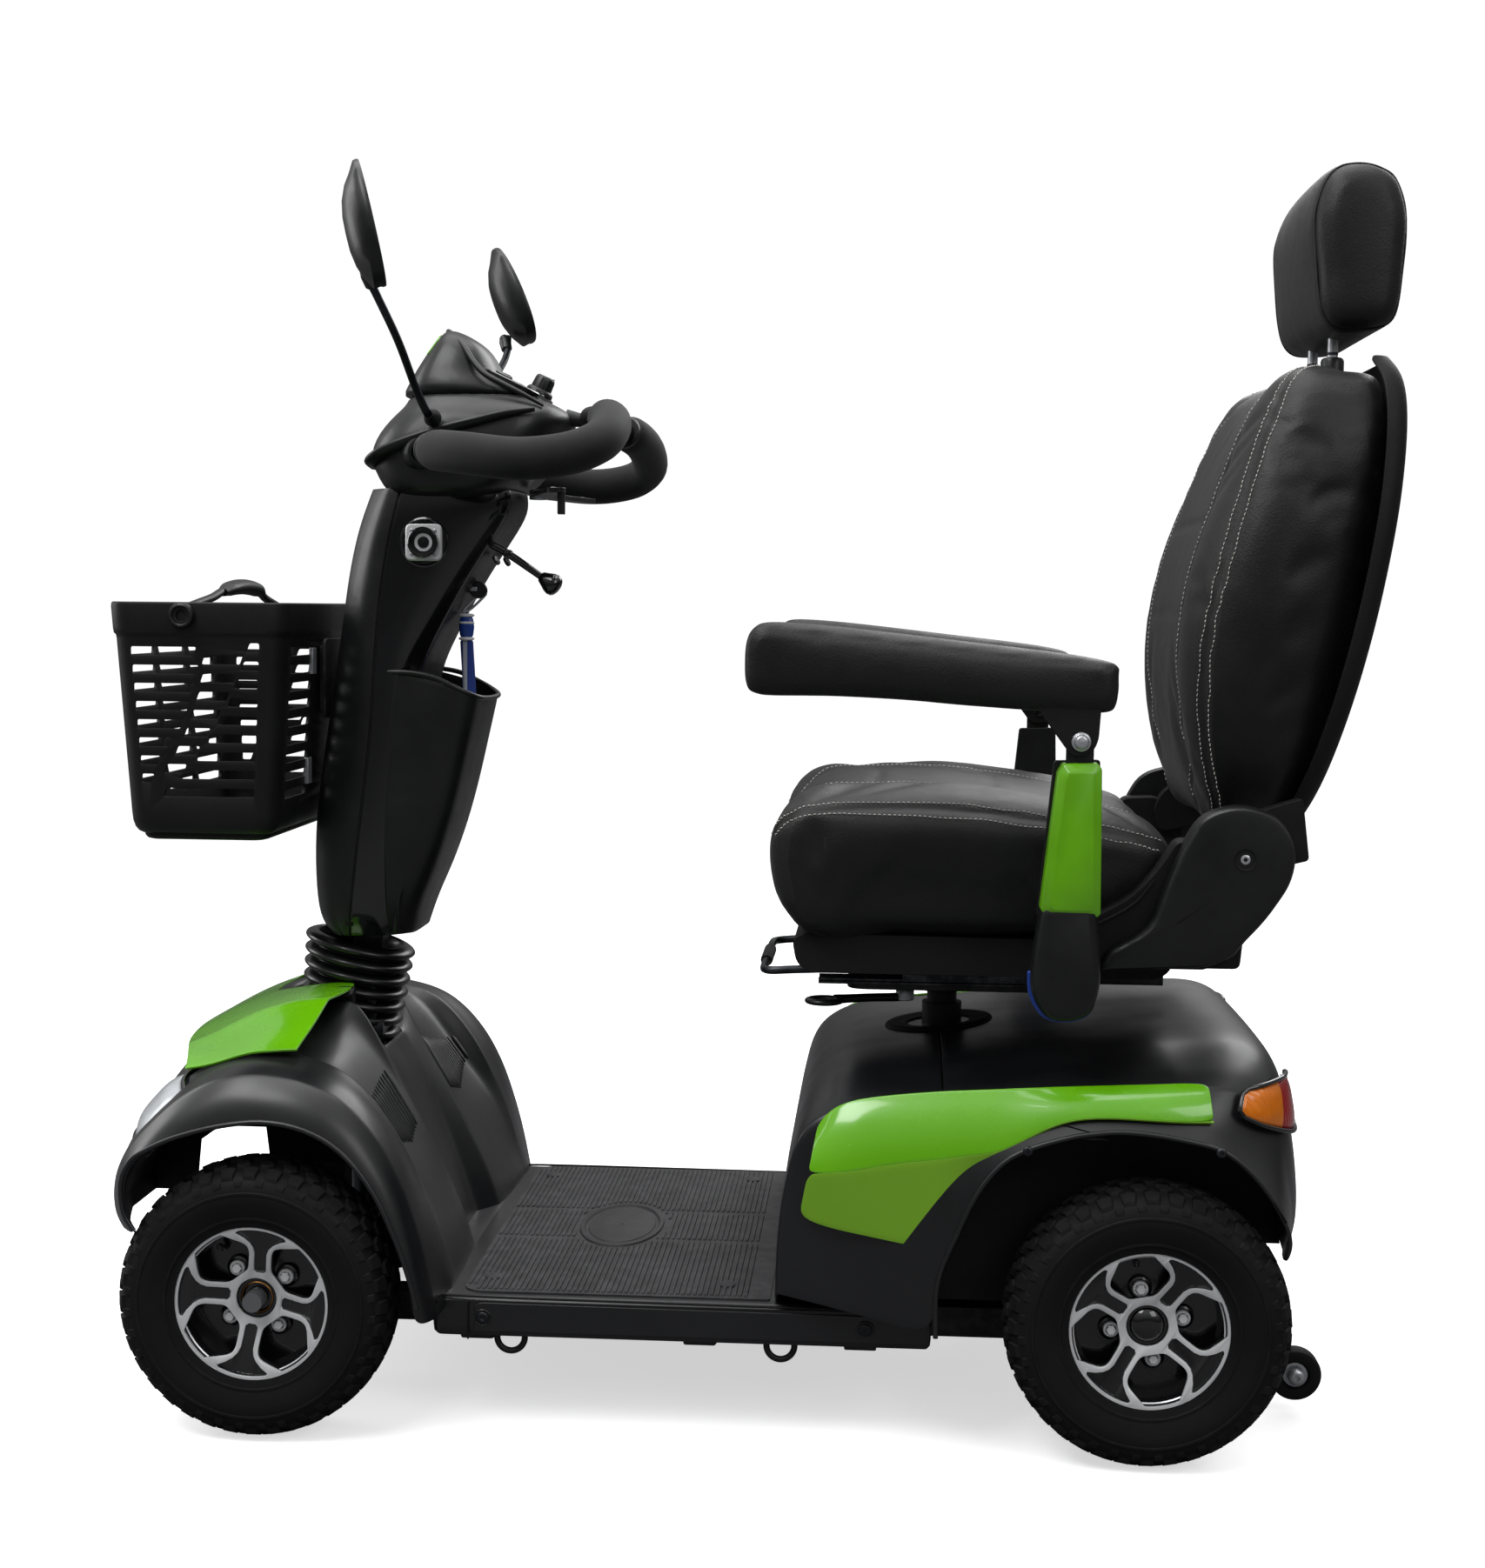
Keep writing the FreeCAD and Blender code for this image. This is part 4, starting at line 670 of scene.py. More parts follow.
def make_front_shell():
    """Wheel arches, foot wells and the trough behind the gaiter as one moulding."""
    rows = [[(nose[r][0], y, nose[r][1]) for y, nose, _, _ in FRONT] for r in range(len(NOSE_A))]
    rows += [[(rear[r][0], y, rear[r][1]) for _, _, y, rear in FRONT] for r in range(len(TROUGH))]

    def over_bellows(p):
        return math.hypot((p.x - 412) / 54, p.y / 58) < 1.0 and p.z > 312

    shell = smooth_cage(rows, "front_shell", "chassis", ["body", "matt"], ["front_body"],
                creases=((1, 0.5), (2, 0.75), (5, 0.3), (6, 0.7), (7, 0.3), (9, 0.85), (11, 1.0)),
                skip=over_bellows)
    # wheel wells: skin that follows the arch and inner wall
    half = Piece("matt", "steel")
    rows = []
    for y in (288, 262, 232, 200, 168, 140, 131):
        room = (288 - y) / 88.0                   # deeper inboard, where the steered tyre sweeps
        row = []
        for x, z in ARCH_FRONT:
            if x > 500:
                x += 34.0 * min(1.0, room ** 0.7) * max(0.0, (262 - z) / 66.0)
            elif z < 240:
                x -= 13.0 * min(1.0, 3.0 * room) * (240 - z) / 109.0
            row.append((x, y, z - (1.2 if y > 280 else 3.2)))
        rows.append(row)
    half.grid(rows, 0)
    wall = Piece("matt")
    inner = [(290, 132), (300, 176), (311, 204), (327, 237), (349, 266), (373, 285), (400, 296), (430, 300),
             (460, 297), (487, 291), (515, 282), (538, 271), (556, 282), (580, 264), (595, 236), (600, 206),
             (594, 192), (542, 192), (536, 254), (524, 268), (484, 272), (472, 256), (468, 222), (360, 222),
             (330, 200), (318, 132)]
    wall.plate(inner, 128.0, 131.5)
    both = Piece("matt", "steel")
    both.both(half)
    both.make("front_wheel_wells", "chassis", "plastic_soft_black", solid=2.0, offset=0.0, levels=0)
    Piece("matt").both(wall).make("front_well_walls", "chassis", "plastic_soft_black", bevel=0.8)
    # ribbed pads moulded in the foot wells
    ribs = Piece("body")
    bpy.context.view_layer.update()
    baked = shell.evaluated_get(bpy.context.evaluated_depsgraph_get()).to_mesh()
    skin = BVHTree.FromPolygons([v.co for v in baked.vertices], [p.vertices[:] for p in baked.polygons])
    for side in (1, -1):
        for k in range(16):
            y = side * (86 + k * 7.0)
            lower = 246 + 2.0 * abs(k - 5)
            path = []
            for t in range(9):
                z = 322 - k * 1.6 + (lower - 322 + k * 1.6) * t / 8
                hit = skin.ray_cast(Vector((150, y, z + 60)) * MM, Vector((0.943, 0, -0.333)))[0]
                if hit:
                    path.append(hit / MM + Vector((-0.5, 0, 0.2)))
            if len(path) == 9:
                ribs.tube(path, [0.5] + [1.9] * 7 + [0.5], smooth=0, sides=8)
    shell.evaluated_get(bpy.context.evaluated_depsgraph_get()).to_mesh_clear()
    ribs.make("shelf_ribs", "chassis", "plastic_black")
    bead = Piece("body")
    edge = [(x, 291.0, z + 0.5) for x, z in ARCH_FRONT]
    half = Piece("body").tube(edge, 2.4, sides=10, smooth=3)
    bead.both(half).make("front_arch_bead", "chassis", "plastic_black")


def make_bonnet():
    """Glossy lid: crown with a long crease, rolled sides, cut round the bellows."""
    ys = (0, 50, 96, 132, 152, 176, 204, 213)
    crown = ((398, 386), (425, 385), (455, 381), (488, 374), (516, 363), (540, 348), (559, 336))
    mid = ((398, 386), (424, 384.8), (453, 380.7), (484, 372), (512, 358), (534, 345), (555, 335))
    crease = ((408, 384), (430, 382), (454, 377.5), (478, 369), (503, 357), (525, 345), (548, 336))
    low = ((410, 375.5), (429, 373.5), (451, 368), (472, 360), (496, 350), (519, 340), (543, 334))
    side = ((412, 366), (429, 364.5), (448, 360), (468, 354), (491, 345), (514, 337), (537, 332))
    edge = ((418, 352.5), (430, 352), (445, 350.5), (464, 348), (487, 340), (509, 332), (531, 328))
    columns = (crown, crown, mid, crease, low, side, edge, edge)
    rows = []
    for r in range(7):
        row = []
        for c, y in enumerate(ys):
            x, z = columns[c][r]
            squeeze = (0, 0, 0, 2, 4, 8, 14, 18)[c] * max(0.0, (r - 2) / 4.0)
            if c == 7:
                z -= 2.5
            bow = 0.0 if c > 2 else (3 - c) * 2.2 * max(0.0, (r - 3) / 3.0)
            row.append((x + bow, y - squeeze, z))
        rows.append(row)

    def opening(p):
        return math.hypot((p.x - 405) / 80, p.y / 68) < 1.0
    smooth_cage(rows, "bonnet", "chassis", ["lime"], ["front_bonnet"], solid=2.6,
                creases=((3, 0.75), (7, 1.0)), skip=opening, row_creases=((0, 1.0), (6, 1.0)))
    collar = Piece("plastic", "matt")
    rows = []
    for reach, lift in ((88, -6), (85, -1.5), (81, 1.5), (75, 2.0), (70, -1), (68, -6), (68, -30)):
        row = []
        for k in range(33):
            a = math.radians(-96 + 6 * k)
            x = 405 + reach * math.cos(a) * 1.04
            row.append((x, reach * 1.0 * math.sin(a), 387 - max(0.0, x - 410) * 0.17 + lift))
        rows.append(row)
    collar.grid(rows, 0)
    collar.make("bellows_collar", "chassis", "plastic_soft_black", levels=1, solid=2.0)


def make_headlights():
    """Wrap-round lamp: silver bowl behind a clear lens with a black bezel, each side."""
    glass, bowl, bezel = Piece("clear"), Piece("reflector", "white"), Piece("gloss")
    low = [(572, 154, 262), (578, 176, 260), (574, 200, 259), (566, 224, 258), (556, 243, 257),
           (542, 256, 259)]
    high = [(524, 162, 317), (528, 178, 315), (526, 200, 314), (520, 222, 312), (512, 240, 309),
            (505, 252, 304)]
    low, high = spline(low, 4), spline(high, 4)
    normal = Vector((0.68, 0.12, 0.72)).normalized()

    def sheet(depth, shrink, bulge):
        rows = []
        for k in range(9):
            t = shrink + (1 - 2 * shrink) * k / 8
            row = []
            for i in range(len(low)):
                s = shrink + (1 - 2 * shrink) * i / (len(low) - 1)
                a = s * (len(low) - 1)
                j = min(len(low) - 2, int(a))
                bottom = low[j].lerp(low[j + 1], a - j)
                top = high[j].lerp(high[j + 1], a - j)
                lift = depth + bulge * (1 - (2 * t - 1) ** 4) * (1 - (2 * s - 1) ** 6)
                row.append(bottom.lerp(top, t) + normal * lift)
            rows.append(row)
        return rows
    half = Piece("clear").grid(sheet(5.0, 0.03, 11.0))
    glass.both(half).make("headlight_lenses_clear", "chassis", "lamp_clear", ["headlight_lenses"], solid=1.6,
                          levels=1)
    half = Piece("reflector", "white").grid(sheet(1.5, 0.05, -1.0), 0)
    for t, u in ((0.3, 0.34), (0.3, 0.62)):
        i = int(u * (len(low) - 1))
        centre = low[i].lerp(high[i], 0.45) + normal * 1.5
        half.turn(centre, normal, [(0, 15), (3.5, 13.5), (4.5, 12), (0.5, 10), (-2, 4), (0.5, 3.2),
                                   (4.5, 2.4), (5.2, 0.2)], 0, 28)
    bowl.both(half).make("headlight_bowls", "chassis", "aluminium")
    loop = [p + normal * 5.5 for p in low] + [p + normal * 5.5 for p in high[::-1]]
    half = Piece("gloss").tube([loop[i] for i in range(0, len(loop), 2)], 3.2, smooth=3, sides=10,
                               closed=True)
    bezel.both(half).make("headlight_bezels", "chassis", "plastic_black")


# --- rear body ---------------------------------------------------------------------------

REAR_MID = ((-35, 131), (-37, 200), (-44, 259), (-54, 298), (-69, 322), (-97, 340), (-127, 346), (-186, 351),
            (-270, 361), (-350, 368), (-430, 375), (-466, 376), (-489, 366), (-505, 340), (-512, 302),
            (-519, 256), (-521, 215), (-508, 184))
REAR_CORNER = ((-35, 131), (-37, 200), (-45, 259), (-54, 296), (-70, 318), (-98, 333), (-127, 338),
               (-186, 343), (-270, 352), (-350, 360), (-430, 368), (-464, 368), (-485, 358), (-500, 334),
               (-510, 300), (-516, 256), (-518, 215), (-506, 184))
REAR_EDGE = ((-35, 131), (-36, 200), (-45, 259), (-54, 294), (-71, 314), (-98, 327), (-127, 332), (-186, 337),
             (-270, 345), (-350, 351), (-430, 357), (-462, 353), (-480, 341), (-495, 323), (-505, 298),
             (-510, 258), (-514, 215), (-503, 186))
REAR_SHOULDER = ((-37, 143), (-38, 200), (-46, 257), (-56, 291), (-74, 309), (-100, 319), (-127, 326),
                 (-186, 331), (-270, 338), (-350, 343), (-425, 345), (-453, 342), (-470, 328), (-484, 311),
                 (-494, 288), (-501, 252), (-507, 214), (-499, 188))
REAR_S1 = ((-85, 136), (-90, 196), (-98, 250), (-108, 285), (-125, 308), (-145, 317), (-165, 324),
           (-215, 330), (-285, 335), (-350, 336), (-415, 332), (-443, 327), (-459, 314), (-475, 297),
           (-488, 276), (-497, 246), (-504, 214), (-497, 190))
REAR_S2 = ((-135, 126), (-140, 188), (-152, 234), (-170, 266), (-195, 289), (-222, 303), (-245, 312),
           (-268, 318), (-312, 325), (-352, 326), (-408, 322), (-432, 312), (-448, 298), (-468, 282),
           (-484, 264), (-494, 240), (-502, 213), (-495, 192))
REAR_S3 = ((-183, 117), (-184, 168), (-200, 211), (-218, 250), (-240, 278), (-264, 292), (-299, 303),
           (-322, 307), (-345, 309), (-375, 307), (-405, 302), (-430, 296), (-447, 286), (-464, 270),
           (-480, 250), (-491, 232), (-500, 212), (-493, 194))


def make_rear_shell():
    """Rear moulding in two halves with a seam, and its wheel wells."""
    columns = ((0, REAR_MID), (90, REAR_MID), (160, REAR_MID), (198, REAR_CORNER), (232, REAR_EDGE),
               (250, REAR_SHOULDER), (261, REAR_S1), (269, REAR_S2), (284, REAR_S3))
    rows = []
    for r in range(len(REAR_MID)):
        row = []
        for c, (y, line) in enumerate(columns):
            x, z = line[r]
            tuck = 0.0
            if r >= 11:                          # tail narrows in plan
                tuck = (0, 0, 4, 10, 16, 14, 11, 8, 4)[c] * min(1.0, (r - 10) / 3.0)
            bow = 0.0 if c > 3 or r < 12 else (4, 3, 1, 0)[c]
            row.append((x - bow, y - tuck, z))
        rows.append(row)
    creases = ((5, 0.55), (8, 1.0), (4, 0.2))
    split = 7
    front = rows[:split + 1]
    back = [list(r) for r in rows[split:]]
    back[0] = [(p[0] - 2.2, p[1], p[2]) for p in back[0]]

    smooth_cage(front, "rear_shell_front", "chassis", ["body"], ["rear_body"],
                creases=creases, row_creases=((split, 1.0),))
    smooth_cage(back, "rear_shell_back", "chassis", ["body"], [], creases=creases,
                row_creases=((0, 1.0),))
    seam = Piece("matt")
    strip = [[(rows[split][c][0] + dx, s * rows[split][c][1], rows[split][c][2] - 4.5)
              for s, c in ([(-1, c) for c in range(8, 0, -1)] + [(1, c) for c in range(9)])]
             for dx in (9, -11)]
    seam.grid(strip, 0)
    seam.make("rear_seam_backing", "chassis", "plastic_soft_black", solid=1.2)
    # wheel well liner with round fasteners
    arch = list(REAR_S3)
    well = [(-183, 119), (-184, 168)] + arch[2:16]
    half = Piece("matt")
    rows = [[(x, y, z - (1.0 if y > 275 else 3.0)) for x, z in well] for y in (282, 262, 240, 222, 206)]
    half.grid(rows, 0)
    Piece("matt").both(half).make("rear_wheel_wells", "chassis", "plastic_soft_black", solid=2.0, offset=0.0)
    wall = Piece("matt")
    wall.plate([(-186, 128), (-187, 168)] + [(x, z) for x, z in arch[2:16]]
               + [(-500, 190), (-432, 190), (-428, 200), (-318, 200), (-314, 128)], 202.5, 205.5)
    Piece("matt").both(wall).make("rear_well_walls", "chassis", "plastic_soft_black", bevel=0.8)
    bead = Piece("body")
    half = Piece("body").tube([(x, 284.0, z + 0.4) for x, z in arch[:15]], 2.4, sides=10, smooth=3)
    bead.both(half).make("rear_arch_bead", "chassis", "plastic_black")
    screws = Piece("dark_steel")
    half = Piece("dark_steel")
    for x, z in ((-262, 285), (-432, 288)):
        half.screw((x, 286.5, z + 6), (0, 1, 0), 4.6, height=2.2)
    screws.both(half).make("liner_fasteners", "chassis", "steel")
    # seat post grommet: oval lip round the post
    lip = Piece("rubber")
    rings = []
    for reach, lift in ((49, -4), (50, 1), (48, 3.4), (44, 4.0), (39, 2.6), (34, 1.6), (28, 2.6), (25.8, -6),
                        (25.5, -16)):
        rings.append([(-188 + reach * 1.1 * math.cos(a), reach * math.sin(a),
                       351.5 + lift - reach * 0.11 * math.cos(a))
                      for a in (2 * math.pi * k / 48 for k in range(48))])
    lip.grid(rings, 0, loop_u=True)
    lip.make("post_grommet", "chassis", "plastic_soft_black", levels=1)


def panel_line(x):
    """Height of the crease between the gloss and the satin part of a side panel."""
    return 262.0 + (-x - 80.0) * 0.153


def make_side_panels():
    """Lime side panels: a gloss upper facet over a satin lower one."""
    low = [(-58, 217), (-90, 211), (-120, 206), (-150, 200), (-176, 196), (-193, 206), (-206, 230),
           (-218, 255), (-238, 282), (-268, 303), (-300, 319), (-345, 320), (-390, 317), (-427, 316)]
    top = [(-73, 300), (-82, 314), (-99, 325), (-125, 330), (-150, 333), (-170, 335), (-190, 337),
           (-210, 338), (-240, 340), (-270, 342), (-305, 344), (-345, 346), (-385, 348), (-424, 349)]
    rows_upper, rows_lower = [], []

    def depth(x):
        roll = 12.0 * (max(0.0, x + 100.0) / 40.0) ** 2
        return roll + 8.0 * (max(0.0, -x - 395.0) / 34.0) ** 2
    middle = []
    for (bx, bz), (tx, tz) in zip(low, top):
        share = 0.5
        for k in range(40):
            s = k / 39.0
            x, z = bx + (tx - bx) * s, bz + (tz - bz) * s
            if z >= panel_line(x):
                share = s
                break
        middle.append(max(0.06, min(0.7, share)))
    for k in range(4):
        row = []
        for (bx, bz), (tx, tz), m in zip(low, top, middle):
            s = m * k / 3.0
            x, z = bx + (tx - bx) * s, bz + (tz - bz) * s
            row.append((x, 279.5 - depth(x) - 7.0 * (1 - k / 3.0) * min(1.0, m * 3.0), z))
        rows_lower.append(row)
    for k in range(6):
        row = []
        for (bx, bz), (tx, tz), m in zip(low, top, middle):
            s = m + (1 - m) * k / 5.0
            x, z = bx + (tx - bx) * s, bz + (tz - bz) * s
            row.append((x, 279.5 - depth(x) - 16.0 * (k / 5.0) ** 1.4 - 9.0 * (k / 5.0) ** 4, z))
        rows_upper.append(row)
    for tag, rows, key in (("upper", rows_upper, "lime"), ("lower", rows_lower, "lime_satin")):
        panel = Piece(key)
        panel.both(Piece(key).grid(rows))
        obj = panel.make("side_panel_" + tag, "chassis", "lime_green",
                         ["side_panels"] if tag == "upper" else [], solid=3.0, levels=2, offset=-1.0)
        edge = obj.modifiers.new("bevel", "BEVEL")
        edge.width, edge.segments = 0.9 * MM, 3
        edge.limit_method = "ANGLE"
        edge.angle_limit = math.radians(50)


def make_tail_lights():
    """Wrap-round cluster: amber on the side, red on the back, black bezel."""
    low = [(-447, 262, 322), (-468, 255, 312), (-486, 242, 305), (-500, 226, 300), (-507, 205, 298),
           (-509, 182, 300)]
    high = [(-452, 250, 342), (-470, 243, 345), (-484, 230, 347), (-494, 214, 348), (-499, 196, 348),
            (-500, 180, 346)]
    low, high = spline(low, 4), spline(high, 4)
    out = Vector((-0.82, 0.42, 0.3)).normalized()

    def sheet(start, stop, depth):
        rows = []
        for k in range(7):
            t = k / 6
            rows.append([low[i].lerp(high[i], 0.04 + 0.92 * t) + out * (depth + 3.0 * (1 - (2 * t - 1) ** 4))
                         for i in range(start, stop)])
        return rows
    count = len(low)
    half = Piece("red", "amber", "reflector")
    half.grid(sheet(0, count // 2, 3.0), 1)
    half.grid(sheet(count // 2 - 1, count, 3.0), 0)
    Piece("red", "amber").both(half).make("tail_lamps", "chassis", "lamp_amber", ["rear_light_lenses"],
                                          solid=1.6, levels=1, offset=-1.0)
    half = Piece("reflector").grid(sheet(1, count - 1, -0.6))
    Piece("reflector").both(half).make("tail_lamp_bowls", "chassis", "aluminium", solid=0.8)
    back_end = [low[-1].lerp(high[-1], t) for t in (0.14, 0.5, 0.86)]
    front_end = [high[0].lerp(low[0], t) for t in (0.16, 0.5, 0.84)]
    loop = [p + out * 3.6 for p in low[1:-1] + back_end + high[-2:0:-1] + front_end]
    half = Piece("gloss").tube(loop, 2.2, smooth=0, sides=10, closed=True)
    Piece("gloss").both(half).make("tail_lamp_bezels", "chassis", "plastic_black")


# --- deck --------------------------------------------------------------------------------

def make_deck():
    """Sill box, side covers, ribbed rubber mat and its fasteners."""
    deck = Piece("body", "matt")
    plan = rounded([(284, -240), (284, 240), (-180, 240), (-180, -240)], [8, 8, 4, 4], 6)
    rings = []
    for inset, z in ((9, 89.5), (3, 90.5), (0.6, 94), (0, 100), (0, 118), (1.2, 124), (5, 128), (11, 129.2)):
        ring = []
        for x, y in plan:
            ring.append((x - math.copysign(min(inset, 30), x - 50), y - math.copysign(inset, y), z))
        rings.append(ring)
    deck.loft(rings, 0)
    deck.plate([(268, -118), (322, -118), (322, 118), (268, 118)], 119.0, 129.0, "z")
    deck.make("deck_shell", "chassis", "plastic_black", ["floor_tray"], angle=30)
    covers = Piece("body", "dark_steel")
    half = Piece("body", "dark_steel")
    outline = rounded([(244, 96), (244, 120), (238, 123), (-150, 121), (-176, 118), (-176, 96)], 2.5)
    half.plate(outline, 239.0, 241.6)
    for x in (236, -120):
        half.screw((x, 242.0, 109), (0, 1, 0), 5.6, 1, 1.6)
        half.turn((x, 241.6, 109), (0, 1, 0), [(0, 8.2), (1.0, 8.0), (1.2, 7.0), (0.2, 6.4)], 0, 28)
    covers.both(half).make("deck_side_covers", "chassis", "plastic_black", bevel=0.7)
    lines = Piece("matt")
    half = Piece("matt").tube([(250, 240.8, 88), (250, 241.2, 124)], 0.9, smooth=0, sides=8)
    half.tube([(284, 238, 128.5), (200, 241, 128.2), (-175, 241, 126.5)], 1.3, smooth=4, sides=8)
    lines.both(half).make("deck_edge_beads", "chassis", "plastic_soft_black")
    # rubber mat: base sheet, fine ribs across the deck, plain oval pad, four button heads
    mat = Piece("mat")
    sheet = rounded([(258, -229), (258, 229), (-31, 229), (-31, -229)], [22, 22, 3, 3], 5)
    mat.plate(sheet, 128.6, 130.4, "z")

    def rib(x, y0, y1):
        mat.add([(x - 1.7, y0, 130.3), (x - 1.2, y0 + 0.6, 131.9), (x + 1.2, y0 + 0.6, 131.9),
                 (x + 1.7, y0, 130.3), (x - 1.7, y1, 130.3), (x - 1.2, y1 - 0.6, 131.9),
                 (x + 1.2, y1 - 0.6, 131.9), (x + 1.7, y1, 130.3)],
                [(0, 1, 5, 4), (1, 2, 6, 5), (2, 3, 7, 6), (0, 3, 2, 1), (4, 5, 6, 7), (0, 4, 7, 3)])
    for k in range(50):
        x = 254.0 - 5.35 * k
        if x < -9:
            break
        inside = 1.0 - ((x - 135) / 49.0) ** 2
        gap = 84.0 * math.sqrt(inside) if inside > 0 else 0.0
        near = 224.0 if k > 1 else 210.0
        for side in (1, -1):
            first, last = sorted((side * max(57.0, gap), side * near))
            rib(x, first, last)
        if gap < 46:
            if gap:
                rib(x, gap, 47)
                rib(x, -47, -gap)
            else:
                rib(x, -47, 47)
    mat.make("floor_mat_rubber", "chassis", "rubber_mat", ["floor_mat"], angle=25)
    pad = Piece("mat")
    for scale_out, scale_in, top in ((1.0, 0.86, 132.6), (0.8, 0.0, 131.6)):
        rings = []
        for scale, z in ((scale_out, 130.2), (scale_out * 0.985, top - 0.4), (scale_out * 0.96, top),
                         (max(scale_in, 0.02) * 1.04, top), (max(scale_in, 0.02), 130.4)):
            rings.append([(135 + 43 * scale * math.cos(a), 79 * scale * math.sin(a), z)
                          for a in (2 * math.pi * k / 56 for k in range(56))])
        pad.grid(rings, 0, loop_u=True)
    for x, y in ((236, 186), (236, -186), (11, 190), (11, -190)):
        pad.turn((x, y, 130.4), (0, 0, 1), [(0, 9.0), (1.6, 8.6), (2.4, 7.4), (2.9, 4.0), (3.0, 0.3)], 0, 28)
    pad.make("mat_pad_and_buttons", "chassis", "rubber_mat", angle=30)


# --- wheels ------------------------------------------------------------------------------

CARCASS = ((-33, 71.5), (-34, 76), (-37, 84), (-40, 94), (-41, 101), (-39.5, 110), (-35.5, 117), (-29, 121.8),
           (-15, 125.2), (0, 126), (15, 125.2), (29, 121.8), (35.5, 117), (39.5, 110), (41, 101), (40, 94),
           (37, 84), (34, 76), (33, 71.5))


def tread_radius(across):
    """Tyre radius at a place across the tread."""
    for (a0, r0), (a1, r1) in zip(CARCASS[5:], CARCASS[6:14]):
        if a0 <= across <= a1:
            return r0 + (r1 - r0) * (across - a0) / (a1 - a0)
    return 110.0


RIM_DISH = 16.5                                   # how far the hub ring sits inside the outer ring


def rim_face(pockets, thick):
    """Flat four-spoke wheel face with its windows, and the anchor-shaped pockets if asked."""
    curve = bpy.data.curves.new("face", "CURVE")
    curve.dimensions = "2D"
    curve.fill_mode = "BOTH"
    curve.extrude = thick
    curve.bevel_depth = 0.35
    curve.bevel_resolution = 1

    def loop(points):
        line = curve.splines.new("POLY")
        line.points.add(len(points) - 1)
        for target, p in zip(line.points, points):
            target.co = (p[0], p[1], 0.0, 1.0)
        line.use_cyclic_u = True

    def turned(points, angle):
        c, s = math.cos(angle), math.sin(angle)
        return [(x * c - y * s, x * s + y * c) for x, y in points]
    ring = [2 * math.pi * k / 96 for k in range(96)]
    loop([(72.4 * math.cos(a), 72.4 * math.sin(a)) for a in ring])
    loop([(19.3 * math.cos(a), 19.3 * math.sin(a)) for a in ring[::2]])
    arm = [(26.5, 10.2), (36, 10.0), (45.5, 10.0), (50.8, 11.8), (54.0, 16.4), (56.4, 26.0), (58.9, 36.4)]
    rim_arc = [(69.4 * math.cos(a), 69.4 * math.sin(a))
               for a in (math.radians(33.5 + 2.875 * k) for k in range(9))]
    other = turned([(x, -y) for x, y in arm], math.pi / 2)[::-1]
    window = rounded(arm + rim_arc + other, [7, 0, 3, 5, 3, 0, 2] + [0] * 9 + [2, 0, 3, 5, 3, 0, 7], 4)
    stem = [(24.0, 3.2), (26.5, 6.2), (36, 6.2), (45.0, 6.2), (50.2, 7.8), (54.6, 11.2), (58.8, 17.0),
            (62.2, 24.2), (64.6, 23.2)]
    arc_end = [(69.2 * math.cos(a), 69.2 * math.sin(a))
               for a in (math.radians(18 - 3 * k) for k in range(13))]
    pocket = stem + arc_end + [(x, -y) for x, y in stem[::-1]]
    for k in range(4):
        loop(turned(window, k * math.pi / 2))
        if pockets:
            loop(turned(pocket, k * math.pi / 2))
    obj = bpy.data.objects.new("face", curve)
    bpy.context.scene.collection.objects.link(obj)
    bpy.context.view_layer.update()
    mesh = bpy.data.meshes.new_from_object(obj.evaluated_get(bpy.context.evaluated_depsgraph_get()))
    verts, faces = [v.co.copy() for v in mesh.vertices], [list(p.vertices) for p in mesh.polygons]
    bpy.data.objects.remove(obj)
    bpy.data.curves.remove(curve)
    bpy.data.meshes.remove(mesh)
    return verts, faces


